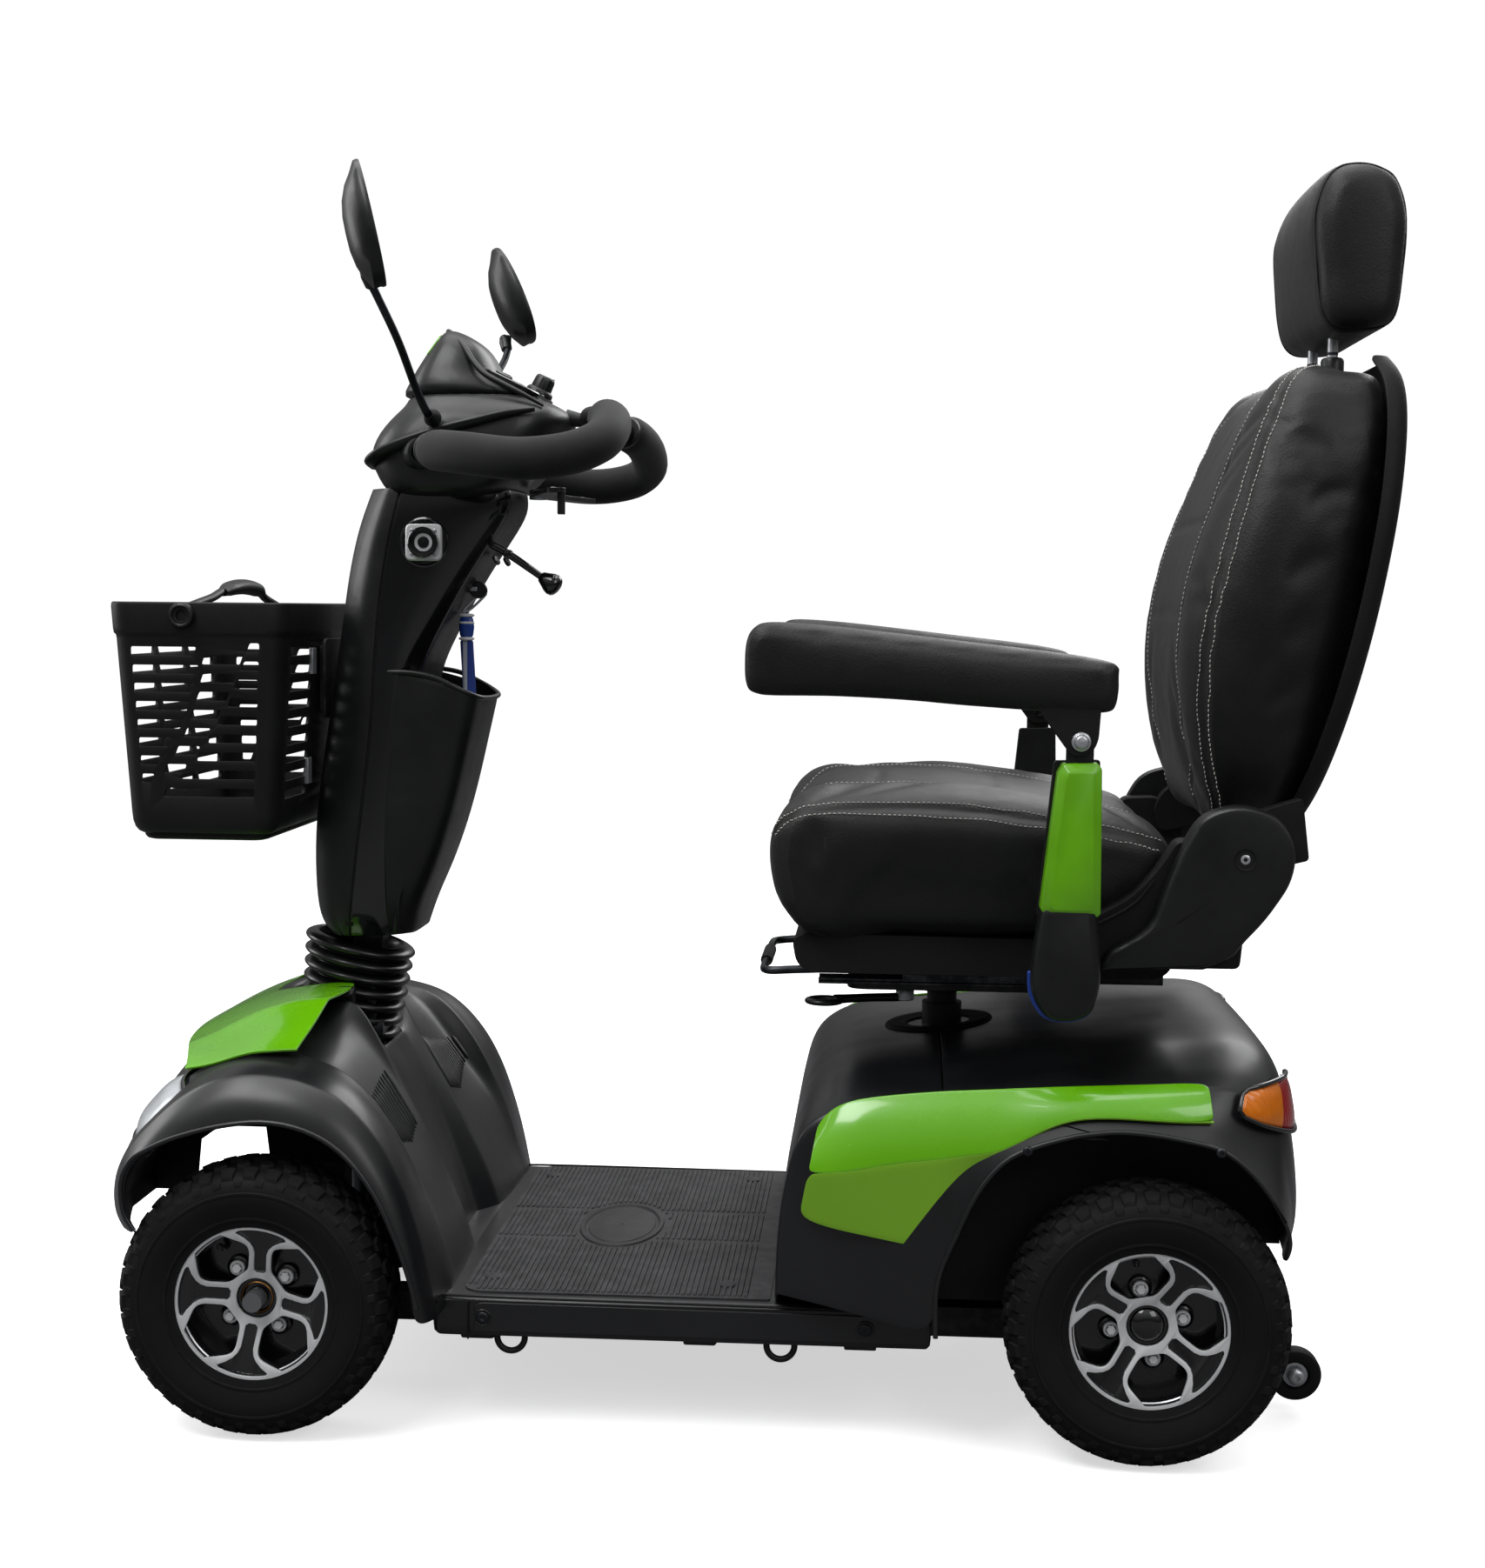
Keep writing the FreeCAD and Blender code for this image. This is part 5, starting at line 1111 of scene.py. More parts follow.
def make_wheel(tag, x, side, driven):
    """Tyre, rim, hub, nuts and valve of one wheel."""
    centre = Vector((x, side * 254.0, 130.0))
    axis = Vector((0, side, 0))
    tyre = Piece("rubber")
    tyre.turn(centre, axis, list(CARCASS) + [CARCASS[0]], 0, 72)
    for out in (1, -1):                           # bead rings and sidewall steps
        for radius, lift in ((80.5, 0.9), (104.5, 0.7)):
            base = 35.6 if radius < 90 else 40.6
            tyre.turn(centre, axis, [(out * (base - 1.0), radius - 2.2), (out * (base + lift), radius - 1.0),
                                     (out * (base + lift), radius + 1.0), (out * (base - 1.0), radius + 2.2)],
                      0, 72)
    up, fore = Vector((0, 0, 1)), Vector((1, 0, 0))

    def at(angle, across, radius):
        return centre + axis * across + (fore * math.cos(angle) + up * math.sin(angle)) * radius

    def lug(angle, outline, height, taper=0.86):
        """Tread block: outline of (degrees, across) corners standing on the carcass."""
        mid_d = sum(p[0] for p in outline) / len(outline)
        mid_a = sum(p[1] for p in outline) / len(outline)
        low, high, rim = [], [], []
        for d, a in outline:
            low.append(at(math.radians(angle + d), a, tread_radius(a) - 1.2))
            rim.append(at(math.radians(angle + mid_d + (d - mid_d) * 0.96), mid_a + (a - mid_a) * 0.96,
                          tread_radius(a) + height - 0.7))
            d2, a2 = mid_d + (d - mid_d) * taper, mid_a + (a - mid_a) * taper
            high.append(at(math.radians(angle + d2), a2, tread_radius(a2) + height))
        rings = [low, rim, high]
        tyre.grid(rings, 0, loop_u=True)
        tyre.faces.append(list(range(len(tyre.verts) - len(outline), len(tyre.verts))))
        tyre.tags.append(0)
    hexagon = [(-3.6, -3.0), (-1.6, -7.0), (1.8, -6.2), (3.6, 3.0), (1.6, 7.0), (-1.8, 6.2)]
    count = 36
    for k in range(count):
        step = 360.0 / count
        lug(k * step, hexagon, 3.8)
        for out in (1, -1):
            block = [(d, out * (a + 15.8)) if out > 0 else (-d, -(a + 15.8)) for d, a in hexagon]
            lug((k + 0.5) * step, block, 3.6)
            shoulder = [(-3.3, 25.5), (0.2, 23.4), (3.4, 25.8), (3.2, 31), (2.7, 36), (-2.7, 36), (-3.2, 31)]
            lug(k * step, [(d, out * a) if out > 0 else (-d, -a) for d, a in shoulder], 3.2)
            side_lug = [(-2.1, 36.8), (2.1, 36.8), (1.8, 39.4), (-1.8, 39.4)]
            lug((k + 0.5) * step, [(d, out * a) if out > 0 else (-d, -a) for d, a in side_lug], 2.2)
    tyre.make("tyre_tread_" + tag, "wheel_" + tag, "tyre", ["tyre_" + tag], angle=32)

    rim = Piece("alloy", "rim_paint", "steel", "bronze", "gloss", "cast")
    rim.turn(centre, axis, [(27, 66.5), (30.0, 69.8), (32.2, 71.2), (32.4, 72.6), (31.4, 73.4),
                            (29.0, 72.6)], 0, 72)
    rim.turn(centre, axis, [(30, 68.3), (22, 65.4), (8, 63.5), (-16, 63.5), (-26, 65.5), (-33.5, 69.0),
                            (-34.5, 71.5), (-33.0, 73.0), (-31, 71.5)], 1, 72)
    rim.turn(centre, axis, [(2.0, 64), (1.0, 44), (3.0, 28), (9.0, 20), (9.5, 12)], 1, 56)
    rim.turn(centre, axis, [(0.0, 64), (0.0, 24), (-14.0, 20), (-18.0, 12)], 5, 56)
    turn = math.radians(56.0 if driven else 81.5)
    flip = side                                   # both sides look alike from outside

    def place(points, across):
        """Puts flat wheel-face points on the dished face of the rim."""
        out = []
        for p in points:
            radius = math.hypot(p[0], p[1])
            dish = RIM_DISH * max(0.0, min(1.0, (66.0 - radius) / 45.0))
            angle = math.atan2(p[1], p[0]) + turn
            if flip < 0:
                angle = math.pi - angle
            out.append(centre + axis * (across - dish + p[2]) + (fore * math.cos(angle) * -1.0
                                                                   + up * math.sin(angle)) * radius)
        return out
    for pockets, across, thick, mat in ((True, 30.6, 1.2, 0), (False, 26.2, 2.9, 1)):
        verts, faces = rim_face(pockets, thick)
        rim.add(place(verts, across), faces, mat)

    def at_face(angle, radius, across):
        return place([(radius * math.cos(angle), radius * math.sin(angle), 0.0)], across)[0]
    for k in range(4):
        angle = math.radians(45.0 + 90.0 * k)
        bolt = at_face(angle, 32.5, 0.0)
        bolt += axis * (8.0 - (bolt - centre).dot(axis))
        rim.turn(bolt, axis, [(-8, 11.5), (-1.0, 10.4), (0.0, 8.6)], 1, 28)
        rim.turn(bolt, axis, [(-2, 7.2), (1.6, 7.2), (2.4, 6.6), (2.5, 4.9)], 0, 24)
        hexed = [[bolt + axis * lift + (fore * math.cos(a) + up * math.sin(a)) * r
                  for a in (2 * math.pi * j / 6 for j in range(6))]
                 for lift, r in ((1.0, 4.8), (5.0, 4.8), (6.0, 3.8))]
        rim.loft(hexed, 0)
    rim.turn(centre, axis, [(2, 18.8), (11.0, 18.6), (12.4, 18.0), (12.4, 15.6), (10.5, 15.0)], 1, 56)
    if driven:
        rim.turn(centre, axis, [(10.5, 15.2), (14.0, 14.4), (17.0, 11.0), (18.2, 6.0), (18.4, 0.3)], 4, 40)
    else:
        rim.turn(centre, axis, [(10.4, 15.0), (12.6, 14.8), (13.0, 14.2), (12.4, 13.6)], 3, 48)
        rim.turn(centre, axis, [(9.0, 13.6), (9.2, 10.4), (14.0, 10.0), (15.4, 8.8), (15.6, 8.0)], 4, 40)
        nut = [[centre + axis * lift + (fore * math.cos(a) + up * math.sin(a)) * r
                for a in (math.radians(15) + 2 * math.pi * j / 6 for j in range(6))]
               for lift, r in ((14, 7.8), (19.4, 7.8), (20.6, 6.6))]
        rim.loft(nut, 4)
        rim.turn(centre, axis, [(20.0, 4.4), (22.6, 4.2), (23.4, 3.2), (23.5, 0.2)], 2, 20)
    for k in range(2):                            # valve stem
        valve = at_face(math.radians(45.0), 54.0 + k * 4.0, 8.0 + 5.0 * k)
        rim.turn(valve, (axis * 1.0 + Vector((0, 0, 0.2))), [(0, 2.8), (6, 2.6), (7, 1.6), (7.1, 0.2)],
                 4 - 3 * k, 14)
    rim.make("alloy_rim_" + tag, "wheel_" + tag, "alloy_rim", ["rim_" + tag], angle=34)


def make_wheels():
    """The four road wheels and the two anti-tip wheels."""
    for tag, x, side, driven in (("front_left", 442, 1, False), ("front_right", 442, -1, False),
                                 ("rear_left", -373, 1, True), ("rear_right", -373, -1, True)):
        make_wheel(tag, x, side, driven)
    for side, tag in ((1, "left"), (-1, "right")):
        roller = Piece("rubber", "steel")
        centre, axis = (-533, side * 118, 38), (0, 1, 0)
        roller.turn(centre, axis, [(-9, 14), (-10, 20), (-9, 23.5), (-6, 25), (6, 25), (9, 23.5), (10, 20),
                                   (9, 14), (5, 12), (5, 5.2), (-5, 5.2), (-5, 12), (-9, 14)], 0, 44)
        roller.turn(centre, axis, [(4.6, 12.2), (6.0, 11.8), (6.4, 8), (6.0, 5.2)], 1, 32)
        roller.turn(centre, axis, [(-4.6, 12.2), (-6.0, 11.8), (-6.4, 8), (-6.0, 5.2)], 1, 32)
        roller.make("antitip_roller_" + tag, "antitip_" + tag, "rubber_mat", ["antitip_wheel_" + tag])
    bolts = Piece("steel")
    for side in (1, -1):
        bolts.screw((-533, side * 131, 38), (0, side, 0), 8.0, height=4.0)
    bolts.make("antitip_bolts", "chassis", "steel")


# --- steering column and tiller ----------------------------------------------------------

def make_bellows():
    """Pleated gaiter leaning back towards the tiller, left unparented between column and tiller."""
    rings = []
    pleats = 7
    count = pleats * 12
    lean = math.radians(12.5)
    for k in range(count + 1):
        t = k / count
        centre = Vector((420.0 - 12.0 * t, 0.0, 331.0 + 97.0 * t))
        bulge = abs(math.sin(math.pi * pleats * t)) ** 0.62
        radius = 38.5 + 6.0 * t + 13.0 * bulge
        ring = []
        for j in range(72):
            a = 2 * math.pi * j / 72
            dx, dy = radius * math.cos(a), radius * math.sin(a)
            ring.append(centre + Vector((dx * math.cos(lean), dy, dx * math.sin(lean))))
        rings.append(ring)
    gaiter = Piece("bellows")
    inner = [[c + (p - c) * 0.95 for p in ring] for ring, c in
             ((r, sum(r, Vector()) / len(r)) for r in (rings[-1], rings[0]))]
    gaiter.grid(rings + inner, 0, loop_u=True)
    obj = gaiter.make("steering_gaiter", "steering_column", "plastic_soft_black", ["steering_bellows"],
                      levels=1)
    obj.parent = None
    del obj["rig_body"]
    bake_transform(obj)


TILLER = (                                       # height, front, seam, rear, half width
    (437, 428, 405, 345, 60), (450, 441, 404, 344, 68), (480, 446, 400, 342, 73), (540, 447, 393, 340, 76),
    (600, 440, 385, 338, 77), (650, 432, 379, 337, 78), (700, 425, 376, 331, 79), (725, 421, 374, 321, 79.5),
    (760, 416, 371, 303, 80), (800, 410.5, 366, 281, 80), (840, 402, 359, 254, 80), (866, 393, 352, 238, 80),
    (884, 386, 348, 240, 78))


def make_tiller():
    """Front and rear tiller covers with the storage pocket."""
    rows = []
    for z, front, seam, rear, w in TILLER:
        rows.append([(front, 0, z), (front - 0.3, 26, z), (front - 2.5, 47, z), (front - 13, 62, z),
                     ((front + seam) / 2 - 4, w - 4.5, z), (seam + 9, w - 1.0, z), (seam + 1.0, w, z)])
    smooth_cage(rows, "tiller_cover_front", "tiller", ["plastic"], ["tiller_front_cover"],
                solid=2.6, levels=2, creases=((2, 0.35), (6, 1.0)), row_creases=((0, 1.0), (12, 1.0)))
    rows = []
    for z, front, seam, rear, w in TILLER:
        rows.append([(rear, 0, z), (rear + 0.5, 30, z), (rear + 4, w - 26, z), (rear + 15, w - 11, z),
                     ((rear + seam) / 2, w - 2.0, z), (seam - 9, w - 0.2, z), (seam - 1.2, w, z)])
    smooth_cage([r[::1] for r in rows][::-1], "tiller_cover_rear", "tiller",
                ["gloss", "plastic"], ["tiller_rear_cover"], solid=2.6, levels=2,
                creases=((2, 0.5), (6, 1.0)), row_creases=((0, 1.0), (12, 1.0)),
                tag=lambda c: 1 if abs(c.y) < 56 and c.x < 345 else 0)
    strip = Piece("matt")                        # dark line in the joint between the covers
    half = Piece("matt").grid([[(seam + d, w - 2.2, z) for z, _, seam, _, w in TILLER] for d in (4, -4)])
    strip.both(half).make("tiller_seam_backing", "tiller", "plastic_soft_black", solid=1.0)
    # storage pocket: U-shaped wall with a rolled lip, floor, and open top
    lines = ((440, 341, 54, 0), (470, 332, 65, 0), (500, 318, 68.5, 0), (545, 302, 70, 0), (590, 290, 71, 0),
             (636, 280, 72, 0.1), (664, 273.5, 72.5, 0.6), (676, 271, 73, 1.0))
    rows = []
    for z, back, w, rise in lines:
        row = [(back, 0), (back + 0.5, 26), (back + 4, w - 16), (back + 13, w - 5), (back + 26, w),
               (350, w + 1.5), (366, w + 3.0)]
        rows.append([(x, y, z + rise * min(27.0, 0.5 * (x - back))) for x, y in row])
    smooth_cage(rows[::-1], "tiller_pocket", "tiller", ["plastic"], [], solid=3.2, levels=2,
                creases=((2, 0.3),), row_creases=((0, 1.0),))
    lip = Piece("plastic")
    edge = [(362, -76, 703.5), (340, -75, 703), (318, -73.5, 699), (298, -71, 690), (284, -65, 683),
            (275, -52, 678.5), (271.5, -30, 677), (271.0, 0, 676.5)]
    lip.tube(edge + mirrored(edge[:-1])[::-1], 2.6, sides=12, smooth=6)
    lip.plate(rounded([(294, -58), (294, 58), (340, 64), (340, -64)], 12), 602, 606, "z")
    lip.make("tiller_pocket_lip", "tiller", "plastic_black")


def make_tiller_fittings():
    """Charging socket, tilt lock, key with its strap and bracket screws."""
    socket = Piece("alloy", "gloss", "steel")
    c = Vector((324, 81, 831))
    socket.turn(c, (0, 1, 0), [(-1.5, 24.5), (0.8, 24.5), (1.4, 23.0), (-1.0, 21.6)], 1, 48)
    frame_out = rounded([(306, 813), (342, 813), (342, 849), (306, 849)], 6)
    rings = [[Vector((x, y, z)) for x, z in inset(frame_out, d)]
             for y, d in ((79, 0), (84.0, 0), (85.4, 1.4), (85.4, 3.2))]
    socket.loft(rings, 0)
    socket.turn(c, (0, 1, 0), [(3.0, 15.2), (8.4, 15.0), (9.4, 14.0), (9.2, 12.2), (4.6, 11.6), (4.2, 6.0),
                               (5.4, 5.4), (5.6, 0.2)], 1, 40)
    for k in range(4):
        a = math.radians(45 + 90 * k)
        socket.screw(c + Vector((16.2 * math.cos(a), 4.2, 16.2 * math.sin(a))), (0, 1, 0), 2.0, 2, height=1.0)
    socket.make("charge_socket", "tiller", "steel", ["charging_socket"])
    small = Piece("gloss", "plastic", "matt")
    for y in (1, -1):                             # oval press pad and slot under the head
        rings = []
        for scale, depth in ((1.0, -1.0), (1.0, 1.2), (0.86, 2.0), (0.5, 2.3), (0.02, 2.4)):
            rings.append([Vector((262, y * 30, 815)) + Vector((0, 11 * scale * math.cos(a), 0))
                          + Vector((0.45, 0, 0.89)) * 5 * scale * math.sin(a)
                          + Vector((-0.89, 0, 0.45)) * depth
                          for a in (2 * math.pi * k / 28 for k in range(28))])
        small.grid(rings, 1 if y > 0 else 2, loop_u=True)
    small.make("tiller_buttons", "tiller", "plastic_soft_black")
    lever = Piece("gloss", "plastic", "dark_steel")
    lever.turn((248, 40, 821), (0, 1, 0), [(-5.4, 0.2), (-5.4, 3.6), (-4.6, 4.8), (4.6, 4.8), (5.4, 3.6),
                                           (5.4, 0.2)], 0, 24)
    lever.tube([(296, 40, 847), (272, 40, 834.5), (249, 40, 822), (225, 40, 806), (211, 40, 796.5)],
               [4.2, 4.2, 4.0, 3.7, 3.6], 0, 14, 6)
    axis = Vector((-41, 0, -28)).normalized()
    tip = Vector((205, 40, 792.5))
    profile = [(-11, 3.4), (-10, 5.2), (-5, 7.6), (0, 10.2), (4, 11.2), (8, 10.4), (10.5, 8.0), (12, 4.2),
               (12.4, 0.2)]
    lever.turn(tip - axis * 2, axis, profile, 0, 28)
    lever.make("tilt_lever_ball", "lock_lever", "steel", ["tiller_lock_lever"])
    axis = Vector((-69, 0, -36)).normalized()
    face = Vector((299, 20, 794.4))
    key = Piece("steel", "cap_blue", "white", "gloss")
    key.turn(face, axis, [(1.6, 10.5), (3.4, 10.0), (4.6, 8.6), (4.8, 4.0), (4.8, 2.6)], 0, 36)
    key.block((face.x - 16, 17.6, face.z - 10), (face.x - 3, 22.4, face.z - 6), 0)
    bow = face + axis * 19
    up = axis.cross(Vector((0, 1, 0))).normalized()
    ring = [bow + axis * 9.6 * math.cos(a) + up * 8.6 * math.sin(a) for a in
            (2 * math.pi * k / 30 for k in range(30))]
    key.loft([[p + Vector((0, d, 0)) for p in ring] for d in (-2.0, 2.0)], 3)
    key.make("ignition_key_head", "key", "steel", ["ignition_key"], bevel=0.5)
    fob = Piece("steel", "strap", "cap_blue", "white")
    hang = bow + axis * 9
    start = Vector((294, 20, 763))
    fob.tube([hang, hang + Vector((9, 0, -3)), start + Vector((3, 0, 2)), start + Vector((-4, 0, 3))],
             0.9, 0, 8, 8, closed=True)
    rings = [[start + Vector((7.6 * math.cos(a), 3.4 * math.sin(a), -d)) for a in
              (2 * math.pi * k / 24 for k in range(24))] for d in (0, 30)]
    fob.loft(rings, 2)
    for drop in (1.5, 9.0, 25.0):
        fob.loft([[start + Vector((8.0 * math.cos(a), 3.8 * math.sin(a), -drop - d)) for a in
                   (2 * math.pi * k / 24 for k in range(24))] for d in (0, 3.4)], 3)
    path = spline([start + Vector((0, 0, -28)), start + Vector((-1, 0, -46)), (292, 20, 700), (291, 20, 672),
                   (294, 18, 648), (301, 16, 622)], 7)
    rows = [[p + Vector((dx, dy, 0)) for dx, dy in ((-6.6, -0.5), (0, 0.5), (6.6, -0.5))] for p in path]
    fob.grid(rows, 1)
    obj = fob.make("key_strap", "tiller", "steel", solid=1.1, levels=1, offset=0.0)
    return obj


# --- head, bars, mirrors -----------------------------------------------------------------

def super_ring(x0, x1, half, z, power=3.2, count=40, lift=None):
    """Rounded-rectangle ring at one height."""
    ring = []
    cx, rx = 0.5 * (x0 + x1), 0.5 * (x1 - x0)
    for k in range(count):
        a = 2 * math.pi * k / count
        c, s = math.cos(a), math.sin(a)
        px = cx + rx * math.copysign(abs(c) ** (2 / power), c)
        py = half * math.copysign(abs(s) ** (2 / power), s)
        ring.append(Vector((px, py, z + (lift(px, py) if lift else 0.0))))
    return ring


def make_head():
    """Dash housing, hood, display and controls."""
    base = Piece("plastic", "matt")
    stations = ((274, 350, 70, 876, 3.0), (256, 362, 88, 877.5, 3.2), (244, 370, 97, 882, 3.2),
                (228, 378, 101.5, 893, 3.2), (212, 387, 103.5, 912, 3.2), (200, 385, 103.5, 926, 3.2),
                (193, 378, 101, 940, 3.2), (189.5, 368, 97, 952, 3.2), (190, 360, 92, 960, 3.2),
                (196, 355, 86, 966, 3.0), (208, 352, 78, 972, 3.0), (226, 348, 71, 980, 2.9))
    rings = [super_ring(a, b, w, z, p) for a, b, w, z, p in stations]
    base.loft(rings, 0)
    base.make("head_body", "tiller", "plastic_black", ["dash_housing"], levels=1)
    hood = Piece("plastic", "gloss")
    stations = ((222, 360, 70, 972, 2.8), (232, 356, 69, 983, 2.8), (246, 351, 67, 991, 2.8),
                (259, 347, 64, 998, 2.8), (264, 341, 61, 1008, 2.8), (269, 334, 57, 1019, 2.7),
                (277, 327, 52, 1029, 2.6), (287, 321, 45, 1036, 2.5), (297, 317, 36, 1041.0, 2.3),
                (304, 313, 20, 1043.5, 2.2))
    hood.loft([super_ring(a, b, w, z, p) for a, b, w, z, p in stations], 0)
    hood.make("head_hood", "tiller", "plastic_black", levels=1)
    # brow that wraps the display, lime accent on its front top, glossy display below it
    brow = Piece("plastic", "lime")
    half = Piece("plastic", "lime")
    path = [(314, 0, 1044), (311, 24, 1042), (302, 40, 1035), (290, 52, 1024), (280, 60, 1010),
            (268, 66, 997), (250, 70, 987), (228, 72, 976), (208, 70, 965)]
    half.tube(path, [2.6, 2.6, 2.8, 3.0, 3.0, 3.0, 2.8, 2.4, 1.6], 0, 12, 6)
    brow.both(half).make("head_brow", "tiller", "plastic_black")
    accent = Piece("lime")
    rows = []
    for t in range(5):
        row = []
        for k in range(9):
            y = -40 + 10 * k
            top = 1041 - (y / 46.0) ** 2 * 9.0
            row.append((320.5 + t * 2.9 - (abs(y) / 40.0) ** 2 * 2.5, y * (1 + 0.03 * t), top - t * 4.4))
        rows.append(row)
    accent.grid(rows)
    accent.make("head_accent", "tiller", "lime_green", solid=2.0, levels=1, bevel=0.6, offset=1.0)
    wings = Piece("plastic")
    half = Piece("plastic")
    path = [(380, 52, 906), (377, 80, 910), (364, 94, 917), (338, 101, 927), (304, 103, 938), (270, 102, 947),
            (240, 97, 955), (214, 88, 960)]
    half.tube(path, [5.0, 6.5, 7.5, 7.5, 7.0, 6.0, 5.0, 3.0], 0, 16, 6, flat=0.6)
    wings.both(half).make("head_wings", "tiller", "plastic_black")
    slope, normal = Vector((-55, 0, -26)).normalized(), Vector((-26, 0, 55)).normalized()
    top = Vector((268, 0, 1000)) + normal * 1.6
    panel = Piece("gloss", "display", "white", "steel")

    def on_panel(along, across, lift=0.0):
        return top + slope * along + Vector((0, across, 0)) + normal * lift
    plate = rounded([(-2, -56), (-2, 56), (40, 60), (56, 50), (56, -50), (40, -60)], 9)
    panel.loft([[on_panel(a, b, -3) for a, b in plate], [on_panel(a, b, 0.8) for a, b in plate],
                [on_panel(a + (1.2 if a < 20 else -1.2), b * 0.975, 1.8) for a, b in plate]], 0)
    for k in range(12):                           # tick marks round the speed knob
        a = math.radians(-40 + 260 * k / 11)
        along, across = 43 - 17.5 * math.sin(a), 17.5 * math.cos(a)
        spot = on_panel(along, across, 1.9)
        panel.turn(spot, normal, [(-0.3, 0.8 if k % 3 else 1.3), (0.35, 0.7 if k % 3 else 1.2), (0.4, 0.1)],
                   2, 10)
    for across in (-34, -46, 46):                 # plain rocker keys
        key = rounded([(8, across - 5), (8, across + 5), (24, across + 5), (24, across - 5)], 3)
        panel.loft([[on_panel(a, b, 1.0) for a, b in key], [on_panel(a, b, 3.2) for a, b in key],
                    [on_panel(16 + (a - 16) * 0.8, across + (b - across) * 0.8, 3.9) for a, b in key]], 0)
    panel.make("dash_controls", "tiller", "display", ["dash_panel"], angle=30)
    screen = Piece("display", "plastic")
    rise = Vector((32, 0, 30)).normalized()
    out = Vector((-30, 0, 32)).normalized()
    origin = Vector((271, 0, 1004)) + out * 1.5
    face = rounded([(0, -48), (0, 48), (27, 40), (27, -40)], 7)
    screen.loft([[origin + rise * a + Vector((0, b, 0)) + out * -2 for a, b in face],
                 [origin + rise * a + Vector((0, b, 0)) + out * 1.0 for a, b in face],
                 [origin + rise * (14 + (a - 14) * 0.94) + Vector((0, b * 0.95,
                                                                   0)) + out * 1.5 for a, b in face]], 0)
    screen.make("display_screen", "tiller", "display", angle=30)
    knob = Piece("plastic", "white")
    base = Vector((268, 0, 1000)) + slope * 47 + normal * 2.6
    rings = []
    for lift, radius, grip in ((0, 14, 0), (3.5, 13.8, 0), (5.5, 12.4, 0), (6.5, 10.8, 1), (16, 10.2, 1),
                               (18.4, 9.4, 1), (19.6, 7.6, 0), (19.9, 0.4, 0)):
        side, up = basis(normal)
        rings.append([base + normal * lift + (side * math.cos(a) + up * math.sin(a))
                      * (radius - (0.5 if grip and k % 3 == 0 else 0.0))
                      for k, a in ((k, 2 * math.pi * k / 48) for k in range(48))])
    knob.grid(rings, 0, loop_u=True)
    line = [base + slope * (2.0 + 7.0 * t) + normal * 20.1 for t in (0, 0.5, 1)]
    knob.tube(line, 0.8, 1, 8, 0)
    knob.make("speed_dial_knob", "dial", "plastic_soft_black", ["speed_knob"])
    horn = Piece("plastic")
    spot = Vector((268, 0, 1000)) + slope * 17 + normal * 0.4 + Vector((0, 34, 0))
    horn.turn(spot, normal, [(1.6, 6.0), (5.0, 6.0), (6.0, 5.2), (6.6, 3.4), (6.7, 0.2)], 0, 28)
    horn.make("horn_cap", "horn", "plastic_soft_black", ["horn_button"])


BAR = ((318.4, 105, 917.8), (303, 148, 916), (262, 200, 910), (205, 229, 903), (160, 227, 908),
       (136, 204, 920), (131, 165, 934), (136, 118, 946), (150, 74, 953), (165, 46, 955))


def make_bars():
    """Closed handlebar, foam grips, root collars and the throttle paddle."""
    bar = Piece("frame", "steel")
    left = list(BAR)
    path = left + mirrored(left)[::-1]
    bar.tube(path, 11.0, 0, 20, 7)
    bar.tube([(165, 0, 955), (182, 0, 957), (196, 0, 959)], [7, 7, 9], 0, 16, 4)
    bar.make("handlebar_loop", "tiller", "frame_black", ["handlebar"])
    grips = Piece("foam", "plastic")
    half = Piece("foam", "plastic")
    curve = spline([Vector(p) for p in left], 8)
    start, stop = 8, 63
    sleeve = curve[start:stop]
    radii = [19.5] * len(sleeve)
    for k, r in enumerate((15.5, 18.0, 19.2)):
        radii[k] = radii[-1 - k] = r
    half.tube(sleeve, radii, 0, 28, 0)
    for k in (start, stop - 1):
        along = (curve[k + 1] - curve[k - 1]).normalized()
        half.turn(curve[k], along, [(-3, 11.2), (-3, 15.6), (-1.5, 16.8), (1.5, 16.8), (3, 15.6),
                                    (3, 11.2)], 1, 28)
    grips.both(half).make("foam_grips", "tiller", "foam_grip", ["hand_grips"])
    roots = Piece("plastic")
    half = Piece("plastic")
    along = Vector((-17, 47, -2)).normalized()
    half.turn(Vector((325, 92, 918)), along, [(0, 19), (4, 19), (8, 17.5), (13, 15.5), (15, 14),
                                              (15.5, 11.2)], 0, 30)
    roots.both(half).make("bar_root_collars", "tiller", "plastic_black")
    lever = Piece("plastic", "white", "steel")
    arm = [(233, 0), (231, 12), (214, 62), (203, 100), (198, 112), (190, 117), (183, 114), (180, 106),
           (186, 90), (198, 52), (206, 16), (208, 0)]
    ordered = arm[:11] + [(208, 0)] + [(x, -y) for x, y in arm[1:11]][::-1]
    lever.plate(rounded(ordered, 3.0, 3), 878.6, 883.6, "z")
    lever.plate(rounded([(181, 109), (183, 92), (190, 93), (188, 111)], 2.0, 3), 858.5, 880, "z")
    for side in (1, -1):
        lever.turn((194, side * 98, 883.6), (0, 0, 1), [(-0.5, 3.2), (0.7, 3.2), (1.1, 2.2), (1.2, 0.2)], 1,
                   18)
    lever.turn((224, 0, 877), (0, 0, 1), [(0, 0.3), (0, 9), (1, 9.4), (9, 9.4), (10, 8.4), (10.2, 0.3)], 2,
               28)
    lever.make("throttle_paddle", "throttle", "plastic_black", ["throttle_lever"], bevel=0.8)


